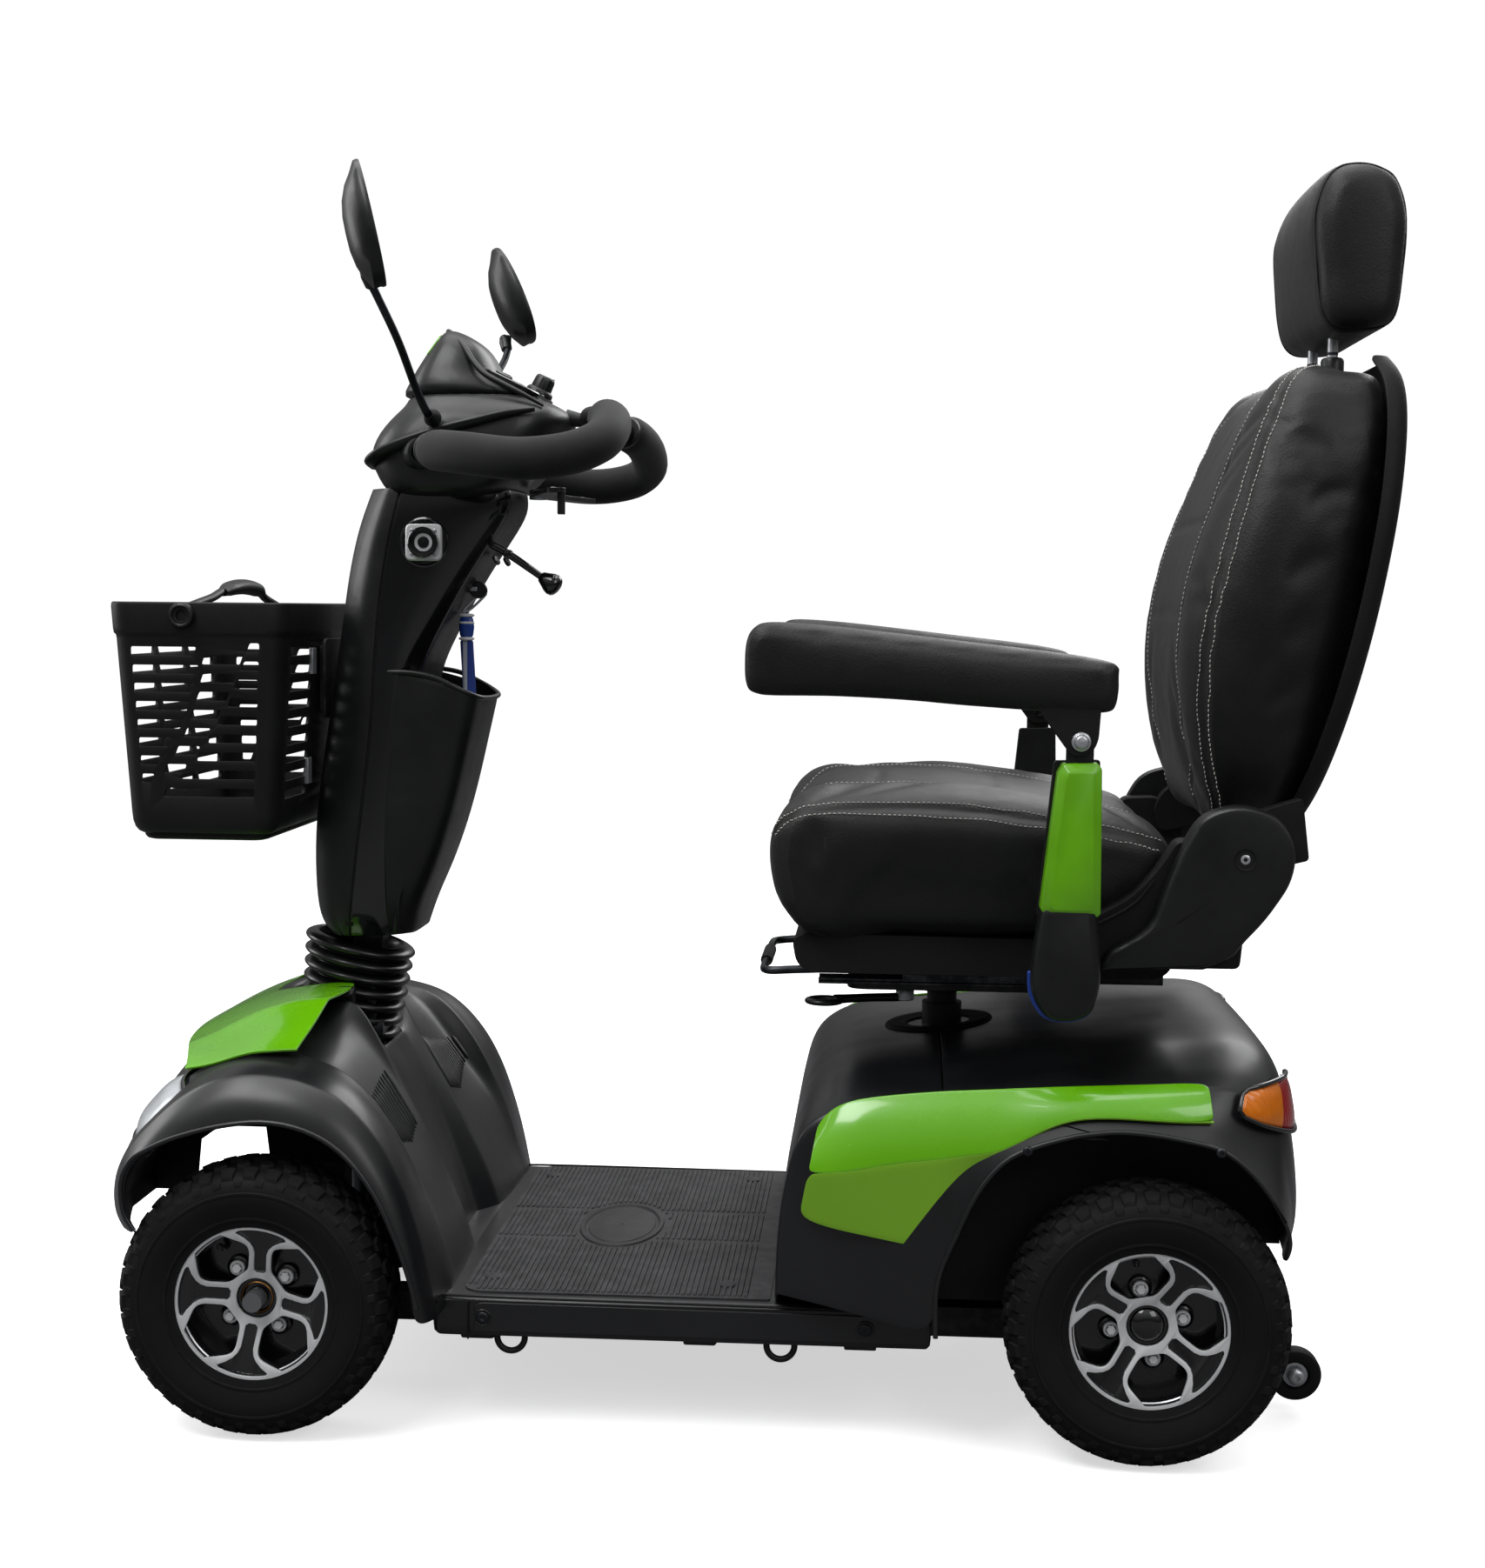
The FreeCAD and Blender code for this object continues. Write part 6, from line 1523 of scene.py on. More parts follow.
def make_mirrors():
    """Two round mirrors on stalks."""
    for side, tag, body in ((1, "left", "mirror_l"), (-1, "right", "mirror_r")):
        mirror = Piece("plastic", "mirror_glass", "dark_steel")
        back = 0.0 if side > 0 else 1.0            # the right mirror is set for a different rider
        centre = Vector((334 - 39 * back, side * 258, 1108 + 9 * back))
        tilt, turned = math.radians(13.0 + 9.0 * back), math.radians(14.0 + 8.0 * back)
        up = Vector((math.sin(tilt), 0, math.cos(tilt)))
        across = Vector((-math.sin(turned), math.cos(turned), 0))
        front = across.cross(up).normalized()

        def shell_point(angle, scale, lift):
            c, s = math.cos(angle), math.sin(angle)
            wide = 43 * math.copysign(abs(c) ** 0.92, c) * (1.0 - 0.12 * s)
            high = 57 * math.copysign(abs(s) ** 0.95, s)
            low = -6.0 if lift > 6 else 0.0
            return centre + across * wide * scale + up * (high * scale + low) + front * lift
        turn = [2 * math.pi * k / 44 for k in range(44)]
        rings = [[shell_point(a, scale, lift) for a in turn] for lift, scale in
                 ((-1.4, 0.93), (-2.4, 0.965), (-2.2, 0.99), (0, 1.0), (3, 0.985), (9, 0.90), (15, 0.74),
                  (20, 0.52), (22.5, 0.28), (23, 0.02))]
        mirror.grid(rings, 0, loop_u=True)
        mirror.grid([[shell_point(a, scale, -1.2) for a in turn] for scale in (0.945, 0.5, 0.02)], 1,
                    loop_u=True)
        mirror.tube([(310, side * 106, 950), (312, side * 118, 952), (318, side * 140, 972),
                     (324 - 16 * back, side * 190, 1012), (333 - 34 * back, side * 232, 1046),
                     (342 - 42 * back, side * 250, 1070)],
                    [4.2, 4.2, 3.8, 3.8, 3.8, 4.2], 2, 14, 7)
        mirror.turn((310, side * 104.5, 949.5), (0.02, side * 0.95, 0.12),
                    [(0, 8.4), (2, 8.6), (6, 7.8), (14, 5.4), (20, 4.5), (20.2, 3.8)], 0, 26)
        mirror.turn((336 - 37 * back, side * 240, 1054), (0.25, side * 0.45, 0.8),
                    [(0, 4.2), (2, 6.0), (12, 6.6), (18, 5.4),
                                                                       (20, 3.8)], 0, 22)
        mirror.make("wing_mirror_" + tag, body, "plastic_black", ["mirror_" + tag])


# --- basket ------------------------------------------------------------------------------

def basket_ring(z, inset=0.0, corner=22.0):
    """Plan outline of the basket at a height."""
    t = (z - 550.0) / 220.0
    x0, x1, half = 453 - 12 * t + inset, 596 + 15 * t - inset, 163 + 6 * t - inset
    r = max(2.0, corner - inset)
    ring = []
    for cx, cy, start in ((x1 - r, half - r, 0), (x0 + r, half - r, 90), (x0 + r, -half + r, 180),
                          (x1 - r, -half + r, 270)):
        for k in range(9):
            a = math.radians(start + 90 * k / 8)
            ring.append(Vector((cx + r * math.cos(a), cy + r * math.sin(a), z)))
    return ring


def bake(obj):
    """Applies an object's modifiers to its mesh."""
    bpy.context.view_layer.update()
    graph = bpy.context.evaluated_depsgraph_get()
    mesh = bpy.data.meshes.new_from_object(obj.evaluated_get(graph))
    obj.modifiers.clear()
    obj.data = mesh
    return obj


def make_basket():
    """Moulded basket with slanted slots, handle, bracket and clips."""
    tub = Piece("wire", "matt")
    outer = ((548, 9), (550, 5), (554, 2), (560, 0.4), (568, 0), (640, 0), (736, 0), (739, -0.4), (741, -2.2),
             (745, -2.6), (766, -2.6), (769.4, -2.0), (770.6, -0.6), (770.6, 1.2))
    inner = ((769.8, 2.4), (742, 2.6), (640, 3.2), (562, 3.6), (556, 5.0), (553, 10))
    tub.loft([basket_ring(z, i) for z, i in outer + inner], 0)
    obj = tub.make("basket_shell", "basket_tub", "plastic_soft_black", ["basket"], angle=35)
    cutter = Piece("wire")
    pitch = 17.4

    def slot(corners, low, high, axis):
        cutter.plate(rounded(corners, 1.8, 2), low, high, axis)

    ends = (0.50, 0.515, 0.475, 0.44, 0.375, 0.27, 0.17, 0.10, None)
    mids = ((0.56, 0.86), (0.545, 0.82), (0.51, 0.76), (0.46, 0.69), (0.40, 0.60), (0.32, 0.51),
            (0.22, 0.39), None, None)
    starts = (0.91, 0.87, 0.82, 0.77, 0.69, 0.60, 0.50, 0.36, 0.20)
    for side in (1, -1):
        reach = sorted((side * 150.0, side * 178.0))
        for k in range(9):
            z = 728.0 - pitch * k
            front = 592.0 - (770 - z) * 0.068
            rear = 462.0 + (770 - z) * 0.05
            wide = front - rear

            def corners(u0, u1, top, skew0, skew1):
                return [(front - wide * u0 + skew0, top), (front - wide * u1 + skew1, top),
                        (front - wide * u1 - skew1, top - 8.6), (front - wide * u0 - skew0, top - 8.6)]
            if ends[k]:
                slot(corners(0.0, ends[k], z, 0, -1.6), *reach, "y")
            if mids[k]:
                slot(corners(mids[k][0], mids[k][1], z - pitch * 0.45, -1.6, -1.6), *reach, "y")
            slot(corners(starts[k], 1.0, z + 4.0, -1.6, 0), *reach, "y")
    for low, high in ((575, 625), (440, 466)):
        for k in range(9):
            z = 728.0 - pitch * k
            for y0, y1 in ((-132, -52), (-42, 42), (52, 132)):
                if low == 440 and y0 == -42:
                    continue
                slot([(y0, z), (y1, z), (y1 - 3, z - 8.6), (y0 + 3, z - 8.6)], low, high, "x")
    tool = cutter.make("basket_cutter", "basket_tub", "plastic_soft_black")
    cut = obj.modifiers.new("slots", "BOOLEAN")
    cut.operation = "DIFFERENCE"
    cut.solver = "EXACT"
    cut.use_self = True
    cut.object = tool
    bake(obj)
    bpy.data.objects.remove(tool)
    edge = obj.modifiers.new("bevel", "BEVEL")
    edge.width, edge.segments = 0.7 * MM, 2
    edge.limit_method = "ANGLE"
    edge.angle_limit = math.radians(50)
    base = Piece("matt", "steel", "wire")
    base.loft([basket_ring(z, i, 26) for z, i in ((541.5, 16), (542.5, 12), (545, 9.5), (549, 9.0),
                                                  (552, 9.5))], 0)
    for y in (-60, 0, 60):                        # moulded ribs across the floor
        base.tube([(472, y, 554), (500, y, 554.6), (550, y, 554.6), (580, y, 554)], 2.6, 2, 10, 4, flat=0.6)
    for y in (52, -52):                           # clips on the tiller side
        for z in (700, 590):
            base.block((447 - (z - 590) * 0.05, y - 7, z), (451 - (z - 590) * 0.05, y + 7, z + 26), 1)
    base.make("basket_base", "basket_tub", "plastic_soft_black", bevel=0.8)
    hook = Piece("frame", "steel")
    plate = rounded([(-40, 655), (40, 655), (40, 735), (-40, 735)], 8)
    hook.plate(plate, 433.6, 436.6, "x")
    for y in (-30, 30):
        hook.plate(rounded([(y - 6, 660), (y + 6, 660), (y + 6, 728), (y - 6, 728)], 3), 436, 440.5, "x")
    for y, z in ((-20, 672), (20, 672), (-20, 718), (20, 718)):
        hook.screw((436.6, y, z), (1, 0, 0), 4.0, 1, 2.0)
    hook.make("basket_hook_plate", "tiller", "frame_black", ["basket_bracket"], bevel=0.6)
    bail = Piece("plastic", "dark_steel")
    half = [(537, 168, 760), (536.5, 158, 765), (535, 130, 769.5), (533, 92, 775), (531.5, 66, 781),
            (530, 40, 785), (530, 0, 786.5)]
    bail.tube(half + mirrored(half[:-1])[::-1], 4.2, 0, 14, 6)
    grip_path = [(530.5, 66, 780.5), (530, 46, 784), (530, 22, 786), (530, 0, 786.6)]
    grip_path = grip_path + mirrored(grip_path[:-1])[::-1]
    bail.tube(grip_path, [5.5, 9.6, 10.4, 10.6, 10.4, 9.6, 5.5], 0, 22, 6, flat=0.74)
    for side in (1, -1):
        bail.turn((537, side * 170.8, 758), (0, side, 0),
                  [(-1, 12.6), (3.5, 12.6), (6.2, 11.4), (7.0, 9.6), (6.6, 8.6),
                                                           (4.6, 8.0), (4.4, 5.4), (1.6, 5.2), (1.6, 0.2)],
                                                           0, 36)
        for k in range(6):
            a = 2 * math.pi * (k + 0.5) / 6
            bail.turn((537 + 6.4 * math.cos(a), side * 175.2, 758 + 6.4 * math.sin(a)), (0, side, 0),
                      [(0, 0.7), (0.5, 0.5), (0.55, 0.1)], 1, 8)
    bail.make("basket_bail_grip", "basket_bail", "plastic_soft_black", ["basket_handle"], bevel=0.0)


# --- upholstery --------------------------------------------------------------------------

def inset(points, distance):
    """Moves a closed 2-D outline inwards along its corner normals."""
    area = sum(a[0] * b[1] - b[0] * a[1] for a, b in zip(points, points[1:] + points[:1]))
    sign = 1.0 if area > 0 else -1.0
    out = []
    count = len(points)
    for i, p in enumerate(points):
        a = (Vector(p) - Vector(points[i - 1])).normalized()
        b = (Vector(points[(i + 1) % count]) - Vector(p)).normalized()
        n1, n2 = Vector((-a.y, a.x)), Vector((-b.y, b.x))
        n = (n1 + n2)
        n = n.normalized() if n.length > 1e-6 else n1
        grow = min(1.6, 1.0 / max(0.4, n.dot(n1)))
        out.append((p[0] + n.x * distance * sign * grow, p[1] + n.y * distance * sign * grow))
    return out


def smooth_outline(points, steps=6):
    """Closed smooth curve through outline points."""
    return [(p.x, p.y) for p in spline([(x, y, 0) for x, y in points], steps, True)]


def side_loft(outline, half, edge, steps=5):
    """Rings of a side outline across the width, with a rounded edge of the given radius."""
    rings = []
    levels = []
    for k in range(steps + 1):
        a = math.radians(90 * k / steps)
        levels.append((half - edge + edge * math.sin(a), edge * (1 - math.cos(a))))
    marks = [(-y, d) for y, d in levels[::-1]]
    inner = half - edge
    for k in range(1, 8):
        marks.append((-inner + 2 * inner * k / 8, 0.0))
    marks += levels
    for y, d in marks:
        profile = inset(outline, d) if d else outline
        rings.append([Vector((x, y, z)) for x, z in profile])
    return rings


def raw_mesh(name, rings, key):
    """Plain object from rings, before the padding is simulated."""
    piece = Piece(*key)
    piece.loft(rings, 0)
    mesh = bpy.data.meshes.new(name)
    mesh.from_pydata([v * MM for v in piece.verts], [], piece.faces)
    for material in piece.materials:
        mesh.materials.append(material)
    work = bmesh.new()
    work.from_mesh(mesh)
    bmesh.ops.remove_doubles(work, verts=work.verts, dist=0.02 * MM)
    bmesh.ops.recalc_face_normals(work, faces=work.faces)
    work.to_mesh(mesh)
    work.free()
    obj = bpy.data.objects.new(name, mesh)
    bpy.context.scene.collection.objects.link(obj)
    return obj


def near_path(point, path):
    """Distance from a point to a polyline."""
    best = 1e9
    for a, b in zip(path, path[1:]):
        ab = b - a
        t = max(0.0, min(1.0, (point - a).dot(ab) / max(1e-9, ab.length_squared)))
        best = min(best, (point - a - ab * t).length)
    return best


def puff(obj, voxel, pressure, cap, seams, pinned=7.0):
    """Voxel remesh, then a short pressure simulation; vertices near seams stay put."""
    again = obj.modifiers.new("remesh", "REMESH")
    again.mode = "VOXEL"
    again.voxel_size = voxel * MM
    bake(obj)
    rest = [v.co.copy() for v in obj.data.vertices]
    group = obj.vertex_groups.new(name="held")
    for i, co in enumerate(rest):
        d = min((near_path(co / MM, s) for s in seams), default=99.0)
        if d < pinned * 2:
            group.add([i], max(0.0, min(1.0, 2.0 - d / pinned)), "REPLACE")
    cloth = obj.modifiers.new("puff", "CLOTH")
    s = cloth.settings
    s.quality = 5
    s.mass = 0.25
    s.tension_stiffness = s.compression_stiffness = 12.0
    s.shear_stiffness = 6.0
    s.bending_stiffness = 1.2
    s.use_pressure = True
    s.uniform_pressure_force = pressure
    s.effector_weights.gravity = 0.0
    s.vertex_group_mass = "held"
    cloth.collision_settings.use_collision = False
    scene = bpy.context.scene
    scene.frame_start, scene.frame_end = 1, 20
    for frame_number in range(1, 21):
        scene.frame_set(frame_number)
    graph = bpy.context.evaluated_depsgraph_get()
    shape = obj.evaluated_get(graph).to_mesh()
    moved = [v.co.copy() for v in shape.vertices]
    obj.modifiers.clear()
    obj.vertex_groups.clear()
    for vertex, a, b in zip(obj.data.vertices, rest, moved):
        step = b - a
        limit = cap * MM
        if step.length > 1e-9:
            step *= limit * math.tanh(step.length / limit) / step.length
        vertex.co = a + step
    scene.frame_set(1)
    relax(obj, 2)
    return obj


def relax(obj, times):
    """Smooths a mesh without moving it apart."""
    work = bmesh.new()
    work.from_mesh(obj.data)
    for _ in range(times):
        bmesh.ops.smooth_vert(work, verts=work.verts, factor=0.5, use_axis_x=True, use_axis_y=True,
                              use_axis_z=True)
    work.to_mesh(obj.data)
    work.free()


def groove(obj, path, depth, width):
    """Presses a sewn channel into the surface along a path."""
    obj.data.update()
    path = [Vector(p) for p in path]
    low = [min(p[i] for p in path) - width * 3 for i in range(3)]
    high = [max(p[i] for p in path) + width * 3 for i in range(3)]
    for vertex in obj.data.vertices:
        p = vertex.co / MM
        if any(p[i] < low[i] or p[i] > high[i] for i in range(3)):
            continue
        d = near_path(p, path)
        if d < width * 3:
            vertex.co -= vertex.normal * depth * MM * math.exp(-(d / width) ** 2)


def settle(obj, path):
    """Drops path points on the surface; returns (point, normal) in millimetres."""
    tree = BVHTree.FromPolygons([v.co for v in obj.data.vertices], [p.vertices[:] for p in obj.data.polygons])
    out = []
    for p in path:
        hit, normal, _, _ = tree.find_nearest(Vector(p) * MM)
        out.append((hit / MM, normal))
    return out


def stitch(piece, obj, path, pitch=4.6, length=3.3, radius=0.5, mat=0):
    """Row of sewn thread stitches that lies on the surface along a path."""
    marks = []
    for p, n in settle(obj, spline(path, 30)):
        if not marks or (p - marks[-1][0]).length >= pitch * 0.5:
            marks.append((p, n))
    line = [m[0] for m in marks]
    lengths = [0.0]
    for a, b in zip(line, line[1:]):
        lengths.append(lengths[-1] + (b - a).length)
    total = lengths[-1]

    def sample(s):
        for i in range(1, len(lengths)):
            if lengths[i] >= s:
                t = (s - lengths[i - 1]) / max(1e-6, lengths[i] - lengths[i - 1])
                return line[i - 1].lerp(line[i], t), marks[i][1]
        return line[-1], marks[-1][1]
    s = pitch
    while s < total - pitch:
        a, n = sample(s - length / 2)
        b, _ = sample(s + length / 2)
        along = b - a
        if along.length > 0.5:
            along.normalize()
            side = along.cross(n).normalized()
            rings = []
            for t, r, lift in ((0, 0.25, -0.3), (0.15, 0.8, 0.25), (0.5, 1.0, 0.55), (0.85, 0.8, 0.25),
                               (1, 0.25, -0.3)):
                c = a.lerp(b, t) + n * lift
                turns = [k * math.pi / 3 for k in range(6)]
                rings.append([c + (side * math.cos(a) + n * math.sin(a)) * radius * r for a in turns])
            piece.loft(rings, mat)
        s += pitch


def paint_zone(obj, rule):
    """Stores a signed distance (metres) per vertex that the leather material reads."""
    layer = obj.data.attributes.new("zone", "FLOAT", "POINT")
    obj.data.update()
    layer.data.foreach_set("value", [rule(v.co / MM, v.normal) * MM for v in obj.data.vertices])


def finish_cushion(obj, body, nodes):
    """Smooth shading, one subdivision and the place of a padded piece."""
    obj.data.polygons.foreach_set("use_smooth", [True] * len(obj.data.polygons))
    sub = obj.modifiers.new("subdivide", "SUBSURF")
    sub.levels = sub.render_levels = 1
    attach(obj, body)
    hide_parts(*nodes)


SEAT_SEAM = ((-6, 566), (-14, 580), (-34, 591), (-85, 597), (-149, 598), (-200, 596), (-270, 589),
             (-330, 579), (-383, 566), (-398, 558))


def seat_half(x):
    """Plan view half width of the cushion."""
    front = max(0.0, (x + 60.0) / 60.0)
    back = max(0.0, (-x - 340.0) / 60.0)
    return 221.0 - 26.0 * front ** 2 - 12.0 * back ** 2


def make_seat_cushion():
    """Seat cushion with sewn bolsters and channels."""
    outline = smooth_outline([(-62, 471), (-40, 482), (-24, 508), (-19, 544), (-25, 570), (-46, 585),
                              (-87, 592), (-149, 594), (-200, 593), (-270, 585), (-330, 576), (-385, 562),
                              (-396, 540), (-388, 503), (-352, 473), (-250, 470), (-150, 470)], 4)
    rings = []
    for ring in side_loft(outline, 222.0, 22.0, steps=6):
        bent = []
        for p in ring:
            share = p.y / 222.0
            y = share * seat_half(p.x)
            lift = 0.0
            if p.z > 540:                         # dished centre between raised bolsters
                lift = 9.0 * math.exp(-((abs(share) - 0.72) / 0.2) ** 2) + 4.0 * (1 - abs(share)) \
                    - 5.0 * math.exp(-((abs(share) - 0.42) / 0.12) ** 2)
                lift *= min(1.0, (p.z - 540) / 40.0)
            bent.append(Vector((p.x, y, p.z + lift)))
        rings.append(bent)
    obj = raw_mesh("seat_cushion_vinyl", rings, ("seat_vinyl",))
    seams = []
    for side in (1, -1):
        seams.append([Vector((x, side * (seat_half(x) - 3), z)) for x, z in SEAT_SEAM])
    seams.append([seams[0][0]] + [Vector((-2, y, 560)) for y in (120, 0, -120)] + [seams[1][0]])
    puff(obj, 6.0, 4.0, 11.0, seams)
    obj.data.update()
    rows = []
    for side in (1, -1):
        line = spline([(x, side * (seat_half(x) + 4), z + 2) for x, z in SEAT_SEAM], 6)
        seam = [p for p, n in settle(obj, line)]
        groove(obj, seam, 2.4, 3.2)
        rows.append(seam)
        inner = [(-2, side * 96, 548), (-16, side * 104, 590), (-60, side * 118, 612),
                 (-150, side * 122, 612), (-260, side * 116, 600), (-350, side * 104, 580),
                 (-394, side * 96, 562)]
        line = [p for p, n in settle(obj, spline(inner, 6))]
        groove(obj, line, 2.0, 3.0)
        rows.append(line)
    for x in (-120, -235, -330):                  # sewn channels across the centre panel
        channel = [(x - 6 * (1 - abs(y) / 100), y, 620) for y in range(-104, 105, 16)]
        line = [p for p, n in settle(obj, channel)]
        groove(obj, line, 1.5, 4.0)
        rows.append(line)

    def zone(p, n):
        inner = 118.0 - 16.0 * abs((p.x + 190.0) / 200.0) ** 2
        edge = seat_half(p.x) + 1.0
        top = 60.0 * (max(n.z, n.x) - 0.35)
        return min(abs(p.y) - inner, edge - abs(p.y), top, p.z - 500)
    paint_zone(obj, zone)
    finish_cushion(obj, "seat", ["seat_cushion"])
    thread = Piece("thread", "vinyl")
    for side in (1, -1):
        up = [(x, side * (seat_half(x) - 2.0), z + 8) for x, z in SEAT_SEAM]
        down = [(x, side * (seat_half(x) + 12.0), z - 4.5) for x, z in SEAT_SEAM]
        stitch(thread, obj, up)
        stitch(thread, obj, down)
        inner = [(-10, side * 100, 580), (-60, side * 113.5, 620), (-150, side * 117.5, 620),
                 (-260, side * 111.5, 610), (-350, side * 99.5, 590), (-388, side * 94, 570)]
        stitch(thread, obj, inner, 5.0, 3.2, 0.42)
    front = [(-2, y, 566) for y in (-190, -120, -60, 0, 60, 120, 190)]
    stitch(thread, obj, front)
    thread.make("seat_stitching", "seat", "vinyl")


BACK = (                                          # height, front, rear, half width
    (560, -440, -496, 150), (580, -430, -510, 168), (610, -419, -523, 186), (650, -411, -536, 198),
    (700, -406, -550, 206), (760, -408, -564, 210), (820, -420, -575, 210), (870, -436, -583, 207),
    (920, -455, -588, 200), (960, -472, -590, 189), (988, -487, -588, 172), (1004, -504, -580, 146))
BACK_SEAM = ((-446, 150, 566), (-428, 172, 590), (-413, 187, 640), (-405, 196, 695), (-410, 201, 760),
             (-422, 200, 800), (-441, 193, 862), (-462, 180, 905), (-489, 158, 955), (-512, 130, 990),
             (-532, 100, 1006))


def make_backrest():
    """Backrest cushion with its sewn border, and the shell behind it."""
    rings = []
    for z, front, rear, half in BACK:
        ring = []
        for p in super_ring(rear, front, half, z, 4.4, 56):
            share = p.y / half
            t = (p.x - rear) / (front - rear)
            swell = 9.0 * math.exp(-((abs(share) - 0.76) / 0.17) ** 2) - 7.0 * math.exp(-(share / 0.5) ** 2)
            if z < 720:                           # lumbar roll
                swell += 7.0 * math.exp(-((z - 640) / 50.0) ** 2) * math.exp(-(share / 0.6) ** 2)
            ring.append(Vector((p.x + max(0.0, t - 0.5) * 2 * swell, p.y, p.z)))
        rings.append(ring)
    obj = raw_mesh("backrest_vinyl", rings, ("seat_vinyl",))
    again = obj.modifiers.new("subdivide", "SUBSURF")
    again.levels = 1
    bake(obj)
    seams = [[Vector((x, s * y, z)) for x, y, z in BACK_SEAM] for s in (1, -1)]
    puff(obj, 6.0, 4.0, 10.0, seams)
    obj.data.update()
    for side in (1, -1):
        line = [p for p, n in settle(obj, spline([(x + 6, side * (y + 4), z) for x, y, z in BACK_SEAM], 6))]
        groove(obj, line, 2.6, 3.2)
        inner = [(-430, side * 98, 578), (-405, side * 112, 640), (-396, side * 122, 740),
                 (-412, side * 124, 840), (-452, side * 114, 920), (-490, side * 96, 975),
                 (-515, side * 78, 1004)]
        line = [p for p, n in settle(obj, spline(inner, 6))]
        groove(obj, line, 2.0, 3.0)
    for z in (672, 770, 868):
        channel = [(-380, y, z + 5 * (1 - abs(y) / 110)) for y in range(-112, 113, 16)]
        line = [p for p, n in settle(obj, channel)]
        groove(obj, line, 1.4, 4.0)

    def zone(p, n):
        inner = 124.0 - 26.0 * abs((p.z - 800.0) / 210.0) ** 2
        seam_y = 0.0
        for (_, y0, z0), (_, y1, z1) in zip(BACK_SEAM, BACK_SEAM[1:]):
            if z0 <= p.z <= z1:
                seam_y = y0 + (y1 - y0) * (p.z - z0) / (z1 - z0)
        return min(abs(p.y) - inner, seam_y - 2 - abs(p.y), 60.0 * (n.x - 0.3))
    paint_zone(obj, zone)
    finish_cushion(obj, "back", ["backrest_cushion"])
    thread = Piece("thread")
    for side in (1, -1):
        stitch(thread, obj, [(x + 8, side * (y - 3), z) for x, y, z in BACK_SEAM])
        stitch(thread, obj, [(x + 2, side * (y + 12), z) for x, y, z in BACK_SEAM])
        inner = [(-422, side * 94, 590), (-400, side * 107, 640), (-390, side * 117.5, 740),
                 (-405, side * 119.5, 840), (-445, side * 109.5, 920), (-485, side * 92, 970)]
        stitch(thread, obj, inner, 5.0, 3.2, 0.42)
    thread.make("backrest_stitching", "back", "vinyl")
    shell = Piece("matt", "plastic", "dark_steel")
    rows = []
    for z, front, rear, half in BACK:
        w = half + 3
        rows.append([(rear - 8, 0, z), (rear - 8, w * 0.45, z), (rear - 7.5, w * 0.8, z),
                     (rear - 5, w * 0.93, z), (rear + 4, w * 0.975, z), (rear + 14, w * 0.98, z)])
    rows = [[(p[0] + 2, p[1] * 0.93, 545) for p in rows[0]]] + rows
    smooth_cage(rows, "backrest_back_shell", "back", ["matt"], ["backrest_shell"],
                solid=3.0, levels=2, row_creases=((0, 1.0), (12, 0.6)))
    half = Piece("matt", "plastic", "dark_steel")
    ear = rounded([(-512, 548), (-430, 528), (-424, 552), (-434, 574), (-462, 590), (-505, 604)],
                  [4, 14, 10, 12, 10, 4])
    half.plate(ear, 206.0, 226.0)
    shell.both(half)
    for z in (640, 760, 880):                     # ribs on the back of the shell
        y = 120
        x = -518 - (z - 640) * 0.18 - 8
        shell.tube([(x, -y, z), (x - 3.5, 0, z), (x, y, z)], 3.0, 1, 10, 6, flat=0.6)
    for y in (-150, 150):
        for z, x in ((620, -517), (900, -573)):
            shell.screw((x - 1, y, z), (-1, 0, -0.1), 4.5, 2, 2.2)
    shell.block((-519, -60, 536), (-511, -48, 560), 1)
    shell.block((-519, 48, 536), (-511, 60, 560), 1)
    shell.make("backrest_hinge_arms", "back", "plastic_soft_black", bevel=1.2)


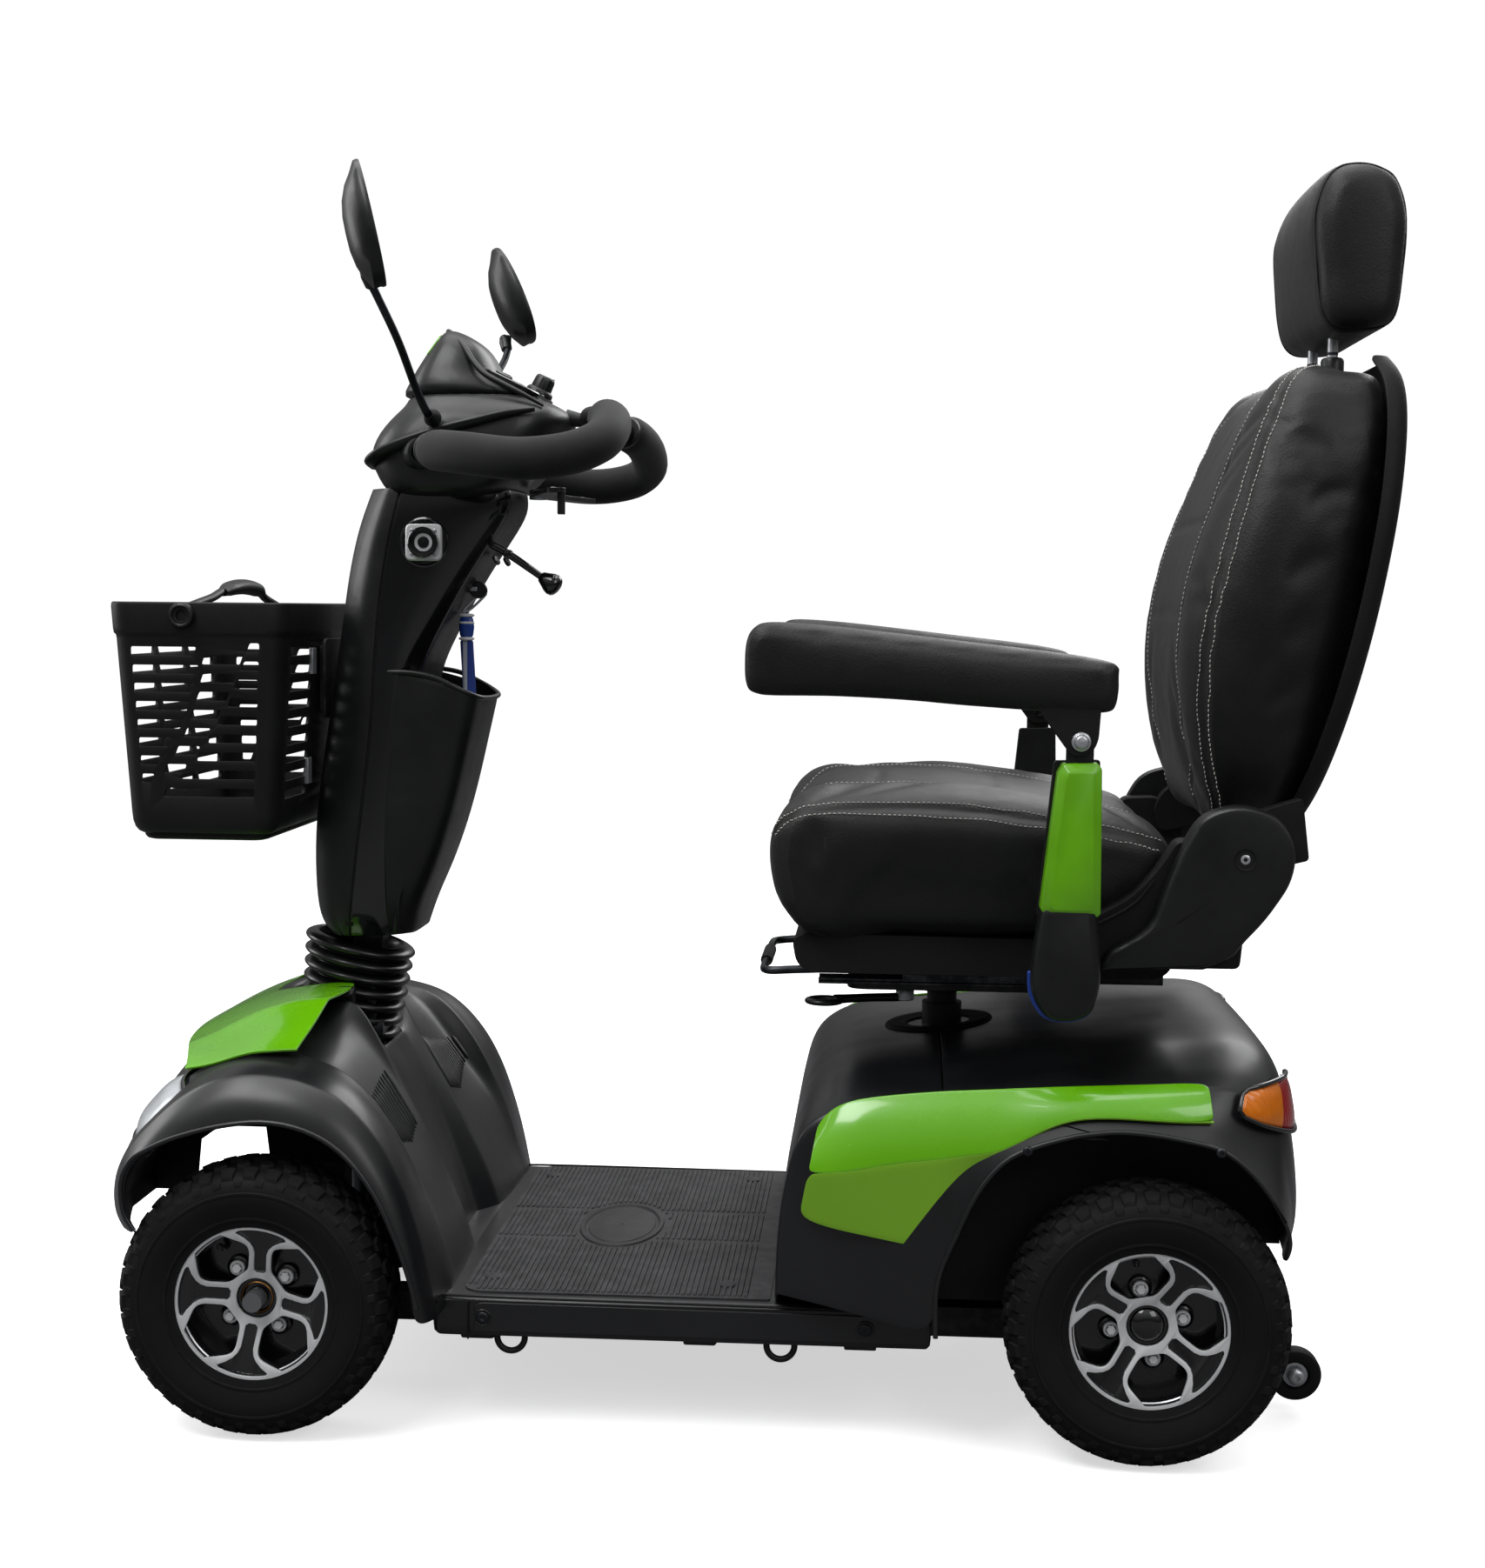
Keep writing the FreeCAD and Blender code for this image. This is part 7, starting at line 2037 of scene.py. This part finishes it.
def make_headrest():
    """Headrest pad on two steel posts."""
    outline = smooth_outline([(-521, 1134), (-525, 1088), (-530, 1052), (-544, 1034), (-570, 1033),
                              (-592, 1038), (-601, 1056), (-605, 1099), (-606, 1140), (-597, 1175),
                              (-580, 1188), (-560, 1192), (-540, 1187), (-527, 1168)], 4)
    rings = side_loft(outline, 127.0, 24.0, steps=6)
    shaped = []
    for ring in rings:
        shaped.append([Vector((p.x + (4.0 if p.x > -560 else -1.0) * math.cos(p.y / 130 * 1.4) * 0.6, p.y,
                               p.z - 7.0 * (p.y / 124) ** 4 * (1 if p.z > 1150 else 0))) for p in ring])
    obj = raw_mesh("headrest_vinyl", shaped, ("vinyl",))
    seams = [[Vector((x, s * 108, z)) for x, z in outline + outline[:1]] for s in (1, -1)]
    puff(obj, 5.0, 4.0, 7.0, seams)
    obj.data.update()
    beads = Piece("vinyl", "thread")
    for side in (1, -1):
        loop = [(x, side * 108, z) for x, z in outline[::3]]
        rail = [p - n * 0.4 for p, n in settle(obj, loop)]
        groove(obj, rail + rail[:1], 1.2, 3.4)
        beads.tube(rail, 1.1, 0, 8, 4, closed=True)
    finish_cushion(obj, "head_support", ["headrest"])
    for y in (50, -50):
        beads.turn((-553, y, 1040), (0, 0, -1), [(-4, 9), (0, 9), (2, 8.4), (4, 6.4), (4.2, 5.2)], 0, 24)
    beads.make("headrest_piping", "head_support", "vinyl")
    posts = Piece("steel", "dark_steel")
    for y in (50, -50):
        posts.turn((-553, y, 888), (0, 0, 1), [(0, 4.0), (1, 5.0), (158, 5.0)], 0, 24, caps=True)
        for k in range(4):
            posts.turn((-553, y, 990 + 9 * k), (0, 0, 1), [(0, 5.15), (0.6, 5.3), (2.2, 5.3), (2.8, 5.15)],
                       1, 24)
    posts.make("headrest_posts", "head_support", "steel")
    guide = Piece("plastic")
    for y in (50, -50):
        guide.turn((-553, y, 1003), (0, 0, 1),
                   [(-4, 11), (8, 11), (10.5, 10), (11.5, 8), (11.5, 5.6), (-4, 5.6)], 0, 28)
    guide.make("headrest_guides", "back", "plastic_soft_black")


def make_armrests():
    """Padded armrests on flip-up brackets with lime covers."""
    for side, tag, letter in ((1, "left", "l"), (-1, "right", "r")):
        outline = smooth_outline([(-7, 700), (-5, 722), (-7, 744), (-18, 756), (-40, 756), (-120, 748),
                                  (-220, 737), (-325, 726), (-332, 715), (-333, 698), (-330, 684),
                                  (-318, 681), (-270, 682), (-200, 686), (-150, 690), (-80, 693),
                                  (-20, 693)], 3)
        rings = side_loft(outline, 27.5, 11.0, steps=5)
        rings = [[Vector((p.x, p.y + side * 265, p.z)) for p in ring] for ring in rings]
        obj = raw_mesh("armrest_vinyl_" + tag, rings, ("vinyl",))
        under = [Vector((x, side * 265, 684)) for x in range(-330, -10, 20)]
        puff(obj, 4.5, 3.0, 4.0, [under], 9.0)
        obj.data.update()
        loop = [(x, side * 265 + s * 26, z) for s, (x, z) in ((side, q) for q in inset(outline, 4.0)[::3])]
        groove(obj, [p for p, n in settle(obj, loop + loop[:1])], 0.8, 3.0)
        finish_cushion(obj, "arm_pad_" + letter, ["armrest_pad_" + tag])
        pivot = Piece("matt", "steel")
        for near, far in ((264.2, 271.3), (280.7, 287.8)):
            low, high = sorted((side * near, side * far))
            pivot.plate(rounded([(-318, 688), (-316, 656), (-309, 644), (-293, 644), (-287, 652),
                                 (-262, 686)],
                                [1, 8, 7, 7, 8, 1]), low, high)
        pivot.make("armrest_pivot_" + tag, "arm_pad_" + letter, "plastic_soft_black", bevel=1.4)
        arm = Piece("plastic", "steel", "cap_blue")
        lower = rounded([(-319, 514), (-324, 440), (-316, 413), (-296, 406), (-276, 409), (-262, 430),
                         (-262, 458), (-270, 514)], [11, 14, 16, 18, 16, 14, 20, 11], 6)
        rings = [[Vector((x, side * y, z)) for x, z in inset(lower, d)]
                 for y, d in ((262.6, 1.4), (264, 0), (278, 0), (284, 1.2), (287.6, 4.0), (289.4, 8.0))]
        arm.loft(rings, 0)
        trim = [(x + (2.2 if x > -290 else -0.4), z - (3.0 if z < 440 else 0.0)) for x, z in lower if z < 452]
        low, high = sorted((side * 259.6, side * 268.0))
        arm.plate(trim + [(-292, 452)], low, high, mat=2)
        arm.block((-311, min(side * 150, side * 262), 436), (-280, max(side * 150, side * 262), 461), 1)
        tab = rounded([(-313, 628), (-289, 628), (-289, 656), (-295, 668), (-307, 668), (-313, 656)],
                      [1, 1, 8, 8, 8, 8])
        low, high = sorted((side * 272.0, side * 280.0))
        arm.plate(tab, low, high)
        arm.turn((-301, side * 288, 656), (0, side, 0),
                 [(-27, 4.0), (-0.4, 4.0), (-0.4, 8.6), (1.4, 8.6), (1.8, 7.8),
                                                         (2.2, 6.4), (5.0, 6.0), (6.4, 4.6), (7.0, 0.3)], 1,
                                                         28)
        inner = [(-323.5, 499), (-266.5, 499), (-272, 560), (-279.5, 638), (-320, 639)]
        low, high = sorted((side * 258.5, side * 265.5))
        arm.plate(rounded(inner, 3), low, high)
        arm.make("armrest_arm_" + tag, "arm_bracket_" + letter, "plastic_soft_black",
                 ["armrest_bracket_" + tag], bevel=2.4, segments=3)
        cover = Piece("green_cover")
        face = [(-321.5, 504), (-317, 499.5), (-274, 499.5), (-268.5, 508), (-274, 560), (-281.5, 628),
                (-286, 636.5), (-316, 637.5), (-320, 632), (-321, 560)]
        shrink = [(-313.5, 511), (-310, 507.5), (-280, 508), (-276.5, 513), (-281, 560), (-288, 623),
                  (-291, 629), (-309, 629.5), (-312, 626), (-313, 560)]
        rings = [[Vector((x, side * y, z)) for x, z in ring]
                 for ring, y in ((face, 265.0), (face, 284.5), (shrink, 291.0))]
        cover.loft(rings, 0)
        cover.make("armrest_cover_" + tag, "arm_bracket_" + letter, "armrest_cover", bevel=1.3, segments=3)


# --- seat base ---------------------------------------------------------------------------

def make_seat_base():
    """Seat pan, recline covers, swivel base, its lever and the slide release."""
    pan = Piece("matt", "plastic", "dark_steel", "steel")
    tub = rounded([(-46, 462), (-50, 440), (-62, 431), (-386, 431), (-398, 442), (-396, 466), (-58, 468)],
                  [6, 8, 8, 8, 8, 4, 4])
    pan.plate(tub, -190.0, 190.0)
    for side in (1, -1):
        low, high = sorted((side * 70.0, side * 88.0))
        pan.block((-330, low, 418.6), (-60, high, 432), 2)
        for x in (-320, -196, -74):
            pan.screw((x, side * 120, 431.5), (0, 0, -1), 5.0, 3, 2.0)
        low, high = sorted((side * 186.0, side * 232.0))
        pan.plate(rounded([(-320, 448), (-318, 466), (-402, 467), (-440, 470), (-446, 460), (-420, 448)],
                          3), low, high)
    pan.make("seat_pan_tray", "seat", "plastic_soft_black", ["seat_pan"], bevel=1.6, segments=2)
    cheeks = Piece("plastic", "steel", "matt")
    half = Piece("plastic", "steel", "matt")
    outline = rounded([(-326, 447), (-332, 466), (-356, 479), (-370, 492), (-380, 520), (-396, 562),
                       (-412, 590), (-446, 601), (-482, 590), (-498, 560), (-494, 530), (-472, 496),
                       (-452, 474), (-444, 462), (-420, 452)],
                       [4, 8, 16, 16, 20, 30, 30, 30, 30, 30, 30, 20, 10, 6, 10], 5)
    rings = []
    for depth, y in ((1.5, 229.5), (0.0, 232.0), (0.0, 243.0), (0.8, 247.5), (2.0, 250.6), (3.4, 252.2)):
        rings.append([Vector((x, y, z)) for x, z in inset(outline, depth)])
    middle = Vector((-425, 252.2, 515))
    for share, rise in ((0.95, 0.8), (0.7, 1.2), (0.35, 1.4), (0.02, 1.4)):
        rings.append([middle + (q - middle) * share + Vector((0, rise, 0)) for q in rings[5]])
    half.loft(rings, 0)
    skirt = rounded([(-268, 449), (-272, 476), (-300, 486), (-326, 500), (-352, 514), (-376, 540),
                     (-392, 566), (-430, 568), (-460, 540), (-452, 449)],
                     [4, 10, 16, 16, 16, 16, 6, 10, 10, 6], 4)
    rings = [[Vector((x, y, z)) for x, z in inset(skirt, d)]
             for y, d in ((214, 2.0), (216, 0.0), (231, 0.0), (233.6, 1.0), (235.4, 2.6))]
    half.loft(rings, 2)
    lip = [(-270, 236.8, 470), (-300, 237.0, 479), (-330, 237.0, 492), (-356, 237.0, 508), (-374, 237.0, 530)]
    half.tube(lip, [0.6, 1.6, 1.6, 1.6, 0.6], 2, 10, 5)
    half.turn((-451, 252.6, 551), (0, 1, 0), [(2.2, 9.5), (1.8, 8.4), (-1.2, 8.0), (-1.4, 5.8)], 2, 32)
    half.screw((-451, 252.0, 551), (0, 1, 0), 5.2, 1, 2.0)
    cheeks.both(half)
    cheeks.make("recline_covers", "seat", "plastic_soft_black", angle=30)
    swivel = Piece("frame", "dark_steel", "steel")
    plate = rounded([(-290, -92), (-96, -92), (-96, 92), (-290, 92)], 20)
    swivel.plate(plate, 399.0, 404.5, "z")
    for side in (1, -1):
        low, high = sorted((side * 66.0, side * 92.0))
        swivel.block((-340, low, 404), (-68, high, 408), 1)
        for edge in (low, high - 3):
            swivel.block((-340, edge, 406), (-68, edge + 3, 410), 1)
            swivel.block((-340, edge, 409), (-150, edge + 3, 417.4), 1)
        for x in (-110, -190, -270):
            swivel.screw((x, side * 70, 399), (0, 0, -1), 5.5, 2, 3.0)
    swivel.turn((-191, 0, 400), (0, 0, -1), [(-2, 46), (1.5, 46), (3.0, 44), (4.0, 38), (5, 27), (14, 25.4),
                                             (14.5, 21)],
                0, 44)
    for k in range(8):
        a = 2 * math.pi * k / 8
        swivel.turn((-191 + 34 * math.cos(a), 34 * math.sin(a), 396.4), (0, 0, -1),
                    [(-3, 3.6), (2.6, 3.6), (3.4, 2.8), (3.5, 0.2)], 2, 12)
    outer = rounded([(-20, 396), (20, 396), (20, 418), (-20, 418)], 3)
    inner = rounded([(-15, 401), (15, 401), (15, 413), (-15, 413)], 2)
    receiver = [[Vector((x, y, z)) for y, z in ring] for x, ring in
                ((-330, outer), (-411, outer), (-411, inner), (-333, inner), (-333, outer))]
    swivel.grid(receiver, 0, loop_u=True)
    swivel.make("swivel_base", "turntable", "frame_black", ["seat_swivel_plate"], bevel=0.8)
    lever = Piece("plastic", "steel")
    lever.tube([(-153, 60, 389), (-146, 62, 387), (-120, 71, 387.5), (-96, 83, 388), (-84, 89, 388)],
               [4.6, 4.4, 4.2, 4.4, 5.0], 0, 14, 6)
    ring = [Vector((-74 + 13.5 * math.cos(a) * 1.1, 96 + 13.5 * math.sin(a), 388)) for a in
            (2 * math.pi * k / 14 for k in range(14))]
    lever.tube(ring, 4.4, 0, 14, 5, closed=True, flat=0.7)
    lever.turn((-153, 60, 384), (0, 0, 1), [(0, 0.2), (0, 8), (1, 9), (10, 9), (11.4, 8), (11.5, 0.2)], 1, 28)
    lever.make("swivel_ring_lever", "swivel_handle", "plastic_soft_black", ["swivel_lever"])
    bail = Piece("dark_steel", "foam")
    half = [(-72, 100, 420), (-40, 100, 418.5), (-24, 99, 417.4), (-16, 92, 417), (-14, 78, 417),
            (-14, 30, 417), (-14, 0, 417)]
    bail.tube(half + mirrored(half[:-1])[::-1], 4.0, 0, 14, 6)
    bail.tube([(-14, -36, 417), (-14, -34, 417), (-14, 34, 417), (-14, 36, 417)], [4.2, 6.2, 6.2, 4.2], 1,
              18, 3)
    bail.make("slide_wire_bail", "slide_handle", "frame_black", ["slide_bail"])


# --- chassis frame -----------------------------------------------------------------------

def make_frame():
    """Welded frame: rails, outriggers tapering under the deck, axle beam, towers, anti-tip arms."""
    weld = Piece("frame", "dark_steel")
    half = Piece("frame", "dark_steel")
    half.block((-440, 80, 60), (462, 110, 90))
    half.block((404, 60, 88), (440, 92, 300))
    half.block((-398, 80, 88), (-348, 110, 108))
    half.block((-545, 98, 26), (-521, 106, 50))
    half.turn((442, 195, 90), (0, 0, 1), [(0, 0.4), (0, 15), (1, 16), (59, 16), (60, 15), (60, 8.4)], 0, 32)
    half.tube([(-533, 102, 40), (-500, 102, 52), (-436, 102, 76)], 5.0, 0, 16, 3)
    half.turn((-533, 100, 38), (0, 1, 0), [(0, 0.3), (0, 5), (30, 5), (31, 4), (31, 0.3)], 1, 20)
    for x, reach in ((230, 225), (20, 225), (-130, 225), (-330, 190)):
        rings = [[Vector((x + a, y, z)) for a, z in ((1, low), (29, low), (30, low + 1), (30, 87), (29, 88),
                                                     (1, 88), (0, 87), (0, low + 1))]
                 for y, low in ((0, 62), (118, 62), (150, 64), (reach - 4, 82), (reach, 84))]
        half.loft(rings, 0)
    weld.both(half)
    weld.block((424, -186, 90), (460, 186, 130))
    weld.block((404, -92, 286), (440, 92, 318))
    weld.block((382, -90, 88), (428, 90, 122))
    weld.block((-230, -84, 62), (-150, 84, 90))
    weld.turn((405, 0, 240), (0, 0, 1), [(0, 15), (0, 21), (1, 22), (76, 22), (77, 21), (77, 15)], 0, 36)
    weld.make("welded_frame", "chassis", "frame_black", ["chassis_frame"], bevel=1.6, segments=2)


# --- carried-over CAD nodes --------------------------------------------------------------

def dress_cad_nodes():
    """CAD nodes whose shape is right keep it and get a proper finish and softened edges."""
    finish = {"tie_down_rings": "frame", "battery_pack": "battery",
              "motor_transaxle": "cast", "motor_controller": "cast", "seat_post": "frame",
              "steering_stem": "dark_steel", "knuckle_left": "cast", "knuckle_right": "cast",
              "track_rod": "steel", "tiller_post": "frame"}
    for name, key in finish.items():
        node = frame["nodes"][name]
        node.data.materials.clear()
        node.data.materials.append(MAT[key])
        edge = node.modifiers.new("bevel", "BEVEL")
        edge.width = 0.9 * MM
        edge.segments = 2
        edge.limit_method = "ANGLE"
        edge.angle_limit = math.radians(60)


# --- stage -------------------------------------------------------------------------------

WORLD_LOW = 0.07                                  # light from the horizon
WORLD_HIGH = 0.75                                 # light from overhead
FLOOR_LIFT = 0.6                                  # keeps the floor white in the picture
CAMERA_PLACE = (-0.1333, 2.1975, 0.7702)          # metres, on the rider's left
CAMERA_TURN = (3.847, 4.642, 0.539)               # yaw, pitch and roll in degrees
LENS = 49.88                                      # millimetres
SENSOR_WIDTH = 36.0


def make_stage():
    """Pale floor, a bright ceiling that fades towards the horizon, and soft lamps."""
    world = bpy.data.worlds.new("studio")
    bpy.context.scene.world = world
    world.use_nodes = True
    tree = world.node_tree
    rays = tree.nodes.new("ShaderNodeLightPath")
    place = tree.nodes.new("ShaderNodeTexCoord")
    split = tree.nodes.new("ShaderNodeSeparateXYZ")
    ramp = tree.nodes.new("ShaderNodeMapRange")
    pick = tree.nodes.new("ShaderNodeMix")
    ramp.inputs["From Min"].default_value = 0.05
    ramp.inputs["From Max"].default_value = 0.95
    ramp.inputs["To Min"].default_value = WORLD_LOW
    ramp.inputs["To Max"].default_value = WORLD_HIGH
    pick.inputs["B"].default_value = 1.05
    tree.links.new(place.outputs["Generated"], split.inputs[0])
    tree.links.new(split.outputs["Z"], ramp.inputs["Value"])
    tree.links.new(ramp.outputs["Result"], pick.inputs["A"])
    tree.links.new(rays.outputs["Is Camera Ray"], pick.inputs["Factor"])
    tree.links.new(pick.outputs["Result"], tree.nodes["Background"].inputs["Strength"])
    tree.nodes["Background"].inputs["Color"].default_value = (1.0, 1.0, 1.0, 1.0)
    floor_mesh = bpy.data.meshes.new("floor")
    work = bmesh.new()
    bmesh.ops.create_grid(work, x_segments=1, y_segments=1, size=14.0)
    work.to_mesh(floor_mesh)
    work.free()
    floor = bpy.data.objects.new("floor", floor_mesh)
    bpy.context.scene.collection.objects.link(floor)
    n = Nodes("studio_floor")
    seen = n.node("ShaderNodeLightPath").outputs["Is Camera Ray"]
    pale = n.mix(n.span(n.noise(0.8), 0.3, 0.7), (0.86, 0.86, 0.86, 1.0), (0.9, 0.9, 0.9, 1.0))
    n.set(Base_Color=n.mix(seen, (0.14, 0.14, 0.145, 1.0), pale), Specular_IOR_Level=0.1,
          Roughness=n.span(n.noise(3.0), 0.3, 0.7, 0.6, 0.7), Emission_Color=(1.0, 1.0, 1.0, 1.0),
          Emission_Strength=n.math("MULTIPLY", seen, FLOOR_LIFT))
    floor.data.materials.append(n.material)

    def lamp(name, place, aim, size, power):
        data = bpy.data.lights.new(name, "AREA")
        data.shape = "RECTANGLE"
        data.size, data.size_y = size
        data.energy = power
        obj = bpy.data.objects.new(name, data)
        bpy.context.scene.collection.objects.link(obj)
        obj.location = place
        obj.rotation_euler = (Vector(aim) - Vector(place)).to_track_quat("-Z", "Y").to_euler()
    lamp("key", (1.5, 1.7, 3.3), (0.0, 0.0, 0.4), (2.0, 1.4), 62.0)
    lamp("fill", (-2.2, 2.4, 2.4), (-0.2, 0.0, 0.5), (1.6, 1.6), 22.0)
    lamp("top", (0.1, -0.3, 3.4), (0.0, 0.0, 0.4), (3.0, 2.4), 60.0)
    lamp("rim", (-1.4, -2.6, 2.4), (0.0, 0.0, 0.6), (2.4, 1.6), 40.0)
    lamp("front", (3.0, -0.6, 1.6), (0.3, 0.0, 0.5), (1.2, 2.0), 30.0)
    bpy.context.scene.view_settings.view_transform = "Standard"
    bpy.context.scene.view_settings.look = "None"
    bpy.context.scene.view_settings.exposure = 0.0


def make_camera():
    """Camera at the viewing angle of the closing picture."""
    data = bpy.data.cameras.new("camera")
    data.lens = LENS
    data.sensor_width = SENSOR_WIDTH
    camera = bpy.data.objects.new("camera", data)
    bpy.context.scene.collection.objects.link(camera)
    yaw, pitch, roll = (math.radians(a) for a in CAMERA_TURN)
    ahead = Vector((math.sin(yaw), -math.cos(yaw), 0.0))
    right = Vector((-math.cos(yaw), -math.sin(yaw), 0.0))
    up = Vector((0.0, 0.0, 1.0))
    look = ahead * math.cos(pitch) - up * math.sin(pitch)
    lift = up * math.cos(pitch) + ahead * math.sin(pitch)
    x_axis = right * math.cos(roll) + lift * math.sin(roll)
    y_axis = lift * math.cos(roll) - right * math.sin(roll)
    turn = Matrix((x_axis, y_axis, -look)).transposed().to_4x4()
    camera.matrix_world = Matrix.Translation(CAMERA_PLACE) @ turn
    bpy.context.scene.camera = camera


BUILDERS = [dress_cad_nodes, make_frame, make_front_shell, make_bonnet, make_headlights, make_rear_shell,
            make_side_panels, make_tail_lights, make_deck, make_wheels, make_bellows, make_tiller,
            make_tiller_fittings, make_head, make_bars, make_mirrors, make_basket, make_seat_cushion,
            make_backrest, make_headrest, make_armrests, make_seat_base]
for builder in BUILDERS:
    builder()
make_stage()
make_camera()
